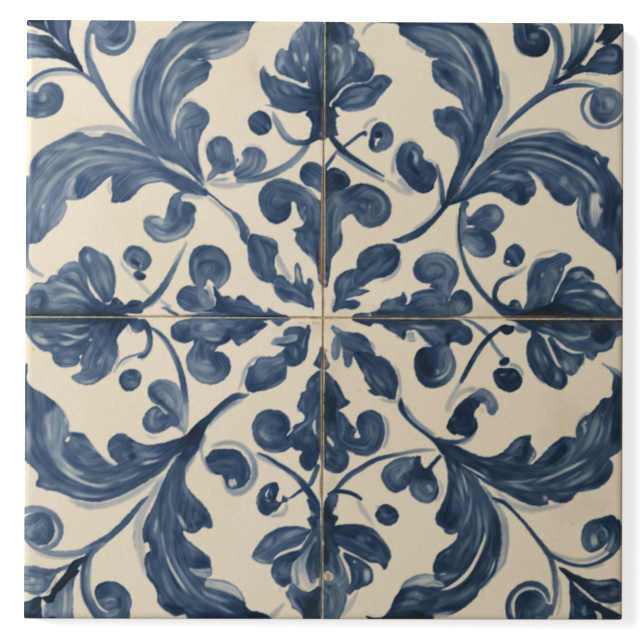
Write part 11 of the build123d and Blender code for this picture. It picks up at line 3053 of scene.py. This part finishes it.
# Broad, faint grime over the blue
grime_marks = (
    ((1.6, 77, 1.2, 0.55), (1.8, 68, 1.3, 0.5), (1.5, 58, 1, 0.45), (1, 50, 0.8, 0.45),
     (0.6, 46, 0.5, 0.4)),
    ((-1.4, 77, 0.8, 0.35), (-1.5, 62, 0.9, 0.35), (-1.2, 50, 0.6, 0.4)),
    ((-1.2, -50, 0.6, 0.4), (-1.5, -58, 1, 0.45), (-2, -66, 1.6, 0.5), (-3, -75, 2.2, 0.6)),
    ((0.8, -50, 0.7, 0.5), (1, -57, 0.9, 0.45), (1, -63, 0.8, 0.4), (2.4, -72, 1.6, 0.35)),
    ((-77, 2, 0.9, 0.45), (-66, 2, 1.1, 0.45), (-56, 1.8, 0.9, 0.45), (-49, 1.4, 0.6, 0.45)),
    ((-77, -0.8, 0.7, 0.35), (-64, -0.8, 0.8, 0.35), (-52, -0.8, 0.7, 0.4)),
    ((50, 1.6, 0.7, 0.5), (60, 2, 1, 0.55), (70, 2.2, 1.1, 0.6), (77, 2.4, 1.1, 0.6)),
    ((50, -0.9, 0.8, 0.5), (60, -1.2, 1, 0.45), (70, -1.6, 1.4, 0.5), (77, -1.4, 1, 0.5)),
    ((14, 1.8, 0.6, 0.3), (26, 2, 0.9, 0.3), (36, 1.6, 0.6, 0.3)),
    ((10, -0.3, 0.5, 0.45), (22, -0.6, 0.9, 0.45), (34, -0.6, 0.7, 0.45)),
    ((0.9, -14, 0.8, 0.45), (1, -24, 1.1, 0.5), (1, -33, 0.8, 0.45)),
    ((0.9, 12, 0.5, 0.4), (1.2, 24, 0.9, 0.4), (1.2, 36, 0.9, 0.5)),
    ((-37, -33, 1, 0.4), (-33.5, -29.5, 1.1, 0.6), (-30, -26.5, 0.8, 0.5)),
    ((34, 28, 0.8, 0.4), (31.5, 30.5, 0.9, 0.5), (33.5, 33.5, 0.7, 0.35)),
    ((-61.5, -61.5, 0.7, 0.5), (-66, -66.5, 1, 0.6), (-72, -72, 1.2, 0.55), (-76, -76, 1.2, 0.5)),
    ((61.5, 61.3, 0.7, 0.5), (66, 66.5, 1.1, 0.65), (71, 72, 1.3, 0.6), (76, 76, 1.2, 0.5)),
    ((-62, 61.5, 0.6, 0.45), (-68, 68, 1, 0.5), (-74, 75, 1.2, 0.5)),
    ((60.5, -62.5, 0.6, 0.5), (66, -67, 0.9, 0.5), (72, -74, 1.5, 0.55), (76, -76, 1.3, 0.5)),
    ((75, 20, 0.9, 0.35), (75.3, 32, 1, 0.45), (75, 44, 0.7, 0.35)),
    ((15, -75.5, 1, 0.5), (22, -75.2, 1.2, 0.55), (28, -75.6, 0.8, 0.5)),
)

# How a kind of mark is broken up: its level, then two waves by size and strength
mark_level = 0.88
small_wave, small_strength = 0.8, 0.18
large_wave, large_strength = 2.5, 0.2

# Smudges lie where there is less paint than this, and grime where there is more
bare_paint = 0.4
blue_paint = 0.35
paint_ease = 0.3


def marked(across, along, marks, soft, rough, seed):
    """How much of one kind of mark lies at each mesh point, broken up a little."""
    layer = Canvas(across, along)
    for points in marks:
        layer.stroke(points, soft=soft, streak=0, pool=0, rough=rough)
    a, b = np.meshgrid(across, along)
    small = small_strength * ripple(a / small_wave, b / small_wave, seed)
    large = large_strength * ripple(a / large_wave, b / large_wave, seed + 1)
    return np.clip(layer.paint * (mark_level + small + large), 0, 1)


def joint_layers(across, along, paint):
    """Grout, soot, and brown staining with painted edge shade, by place. The score lines are filled and
    dirty, and grime clings to blue.
    """
    on_bare = ease((bare_paint - paint) / paint_ease)
    on_blue = ease((paint - blue_paint) / paint_ease)
    grout = marked(across, along, grout_marks, soft=0.3, rough=0.12, seed=5)
    soot = marked(across, along, soot_marks, soft=0.34, rough=0.3, seed=1)
    stain_and_shade = marked(across, along, stain_and_edge_shade_marks, soft=0.5, rough=0.3, seed=3)
    smudge = marked(across, along, smudge_marks, soft=4, rough=0.5, seed=2) * on_bare
    grime = marked(across, along, grime_marks, soft=2.4, rough=0.6, seed=4) * on_blue
    return grout, np.maximum(soot, grime), np.maximum(stain_and_shade, smudge)


# How brown the ground is: in the middle and past each score line, then painted shade, more to the right and
# less to the top
age_middle = 0.3
# painted shade: these two darken the ground to the right and towards the foot, away from the lamp
painted_shade_right = 0.26
painted_shade_top = -0.1
age_step_right = 0.16
age_step_down = 0.06
age_cloud, age_cloud_size = 0.1, 22


def tint_and_shade_layer(across, along):
    """The ground is browner with a small step at the score lines, and painted shade darkens it to the right
    and foot.
    """
    a, b = np.meshgrid(across, along)
    step = age_step_right * (a > score_x) + age_step_down * (b < score_y)
    cloud = age_cloud * ripple(a / age_cloud_size, b / age_cloud_size, seed=6)
    # the terms by across and along are painted shade, falling off from the upper left
    return np.clip(age_middle + painted_shade_right * a / half_side + painted_shade_top * b / half_side + step + cloud, 0, 1)


# How far the brushwork runs down the walls before it has faded out
paint_run = 0.9


def painted(across, along):
    """Pigment over a grid of mesh lines. Down the walls the brushwork fades out of the running glaze."""
    global face
    face = Canvas(across, along)
    for quarter in quarters:
        quarter()
    a, b = np.meshgrid(np.abs(across), np.abs(along))
    down = np.clip(np.maximum(a, b) - half_side, 0, None)
    return face.paint * (1 - ease(down / paint_run))


def build_glaze():
    """Four glaze skins, one for each quarter between the score lines, each with its own depth of blue."""
    finish = glaze_material()
    quarters_by_place = {
        (0, 0): ("glaze_south_west", 0.93), (0, 1): ("glaze_south_east", 1.0),
        (1, 0): ("glaze_north_west", 0.97), (1, 1): ("glaze_north_east", 1.0),
    }
    columns = mesh_lines(score_x)
    rows = mesh_lines(score_y)
    for (row, column), (name, depth_of_blue) in quarters_by_place.items():
        across, along = columns[column], rows[row]
        paint = painted(across, along) * depth_of_blue
        grout, soot, stain_and_shade = joint_layers(across, along, paint)
        tint_and_shade = tint_and_shade_layer(across, along)
        layers = {"pigment": paint, "grout": grout, "soot": soot, "stain_and_shade": stain_and_shade, "tint_and_shade": tint_and_shade}
        piece = quarter_mesh(name, glaze_places(across, along), layers)
        piece.data.materials.append(finish)
        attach(piece, "root")


def build_body():
    """The tile's own solid shows bare clay where no glaze lies."""
    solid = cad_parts["tile"]
    solid.data.materials.clear()
    solid.data.materials.append(clay_material())


# The floor, in metres, and how much white it shows the camera by itself
floor_half_side = 6.0
floor_colour = (0.86, 0.86, 0.86, 1)
floor_glow = 0.6


def build_floor():
    """A pale floor that reads white to the camera and still takes the tile's shadow."""
    size = floor_half_side
    corners = [(-size, -size, 0), (size, -size, 0), (size, size, 0), (-size, size, 0)]
    mesh = bpy.data.meshes.new("floor")
    mesh.from_pydata(corners, [], [(0, 1, 2, 3)])
    floor = bpy.data.objects.new("floor", mesh)
    bpy.context.scene.collection.objects.link(floor)
    material, nodes, links, shader = new_material("pale_floor")
    shader.inputs["Base Color"].default_value = floor_colour
    shader.inputs["Roughness"].default_value = 0.9
    shader.inputs["Specular IOR Level"].default_value = 0.0
    path = nodes.new("ShaderNodeLightPath")
    seen = nodes.new("ShaderNodeMath")
    seen.operation = "MAXIMUM"
    links.new(path.outputs["Is Camera Ray"], seen.inputs[0])
    links.new(path.outputs["Is Glossy Ray"], seen.inputs[1])
    share = nodes.new("ShaderNodeMath")
    share.operation = "MULTIPLY"
    share.inputs[1].default_value = floor_glow
    links.new(seen.outputs[0], share.inputs[0])
    shader.inputs["Emission Color"].default_value = (1, 1, 1, 1)
    links.new(share.outputs[0], shader.inputs["Emission Strength"])
    floor.data.materials.append(material)


# Light and camera: places and the lamp's size in metres, turns in degrees, lens and sensor in millimetres
key_place = (-0.42, 0.22, 0.50)
key_size = 0.45
key_power = 5.6
fill_strength = 0.26
camera_place = (-0.01284, -0.00628, 0.6571)
camera_turn = (0.5048, -1.075, 0.2311)
camera_lens = 142.96
camera_near = 0.01
sensor_width = 36.0


def build_light():
    """A soft lamp at the upper left, turned to the tile, and an even white fill."""
    lamp = bpy.data.lights.new("key", "AREA")
    lamp.shape = "SQUARE"
    lamp.size = key_size
    lamp.energy = key_power
    key = bpy.data.objects.new("key", lamp)
    key.location = key_place
    aim = -np.array(key_place)
    tilt = math.atan2(math.hypot(aim[0], aim[1]), -aim[2])
    key.rotation_euler = (tilt, 0, math.atan2(aim[1], aim[0]) - math.pi / 2)
    bpy.context.scene.collection.objects.link(key)
    world = bpy.data.worlds.new("fill")
    world.use_nodes = True
    world.node_tree.nodes["Background"].inputs["Color"].default_value = (1, 1, 1, 1)
    world.node_tree.nodes["Background"].inputs["Strength"].default_value = fill_strength
    bpy.context.scene.world = world


def build_camera():
    """A long lens from straight above, turned by about a degree."""
    lens = bpy.data.cameras.new("camera")
    lens.sensor_width = sensor_width
    lens.lens = camera_lens
    lens.clip_start = camera_near
    camera = bpy.data.objects.new("camera", lens)
    camera.location = camera_place
    camera.rotation_euler = tuple(math.radians(a) for a in camera_turn)
    bpy.context.scene.collection.objects.link(camera)
    bpy.context.scene.camera = camera


build_body()
build_glaze()
build_floor()
build_light()
build_camera()
bpy.context.scene.view_settings.view_transform = "Standard"
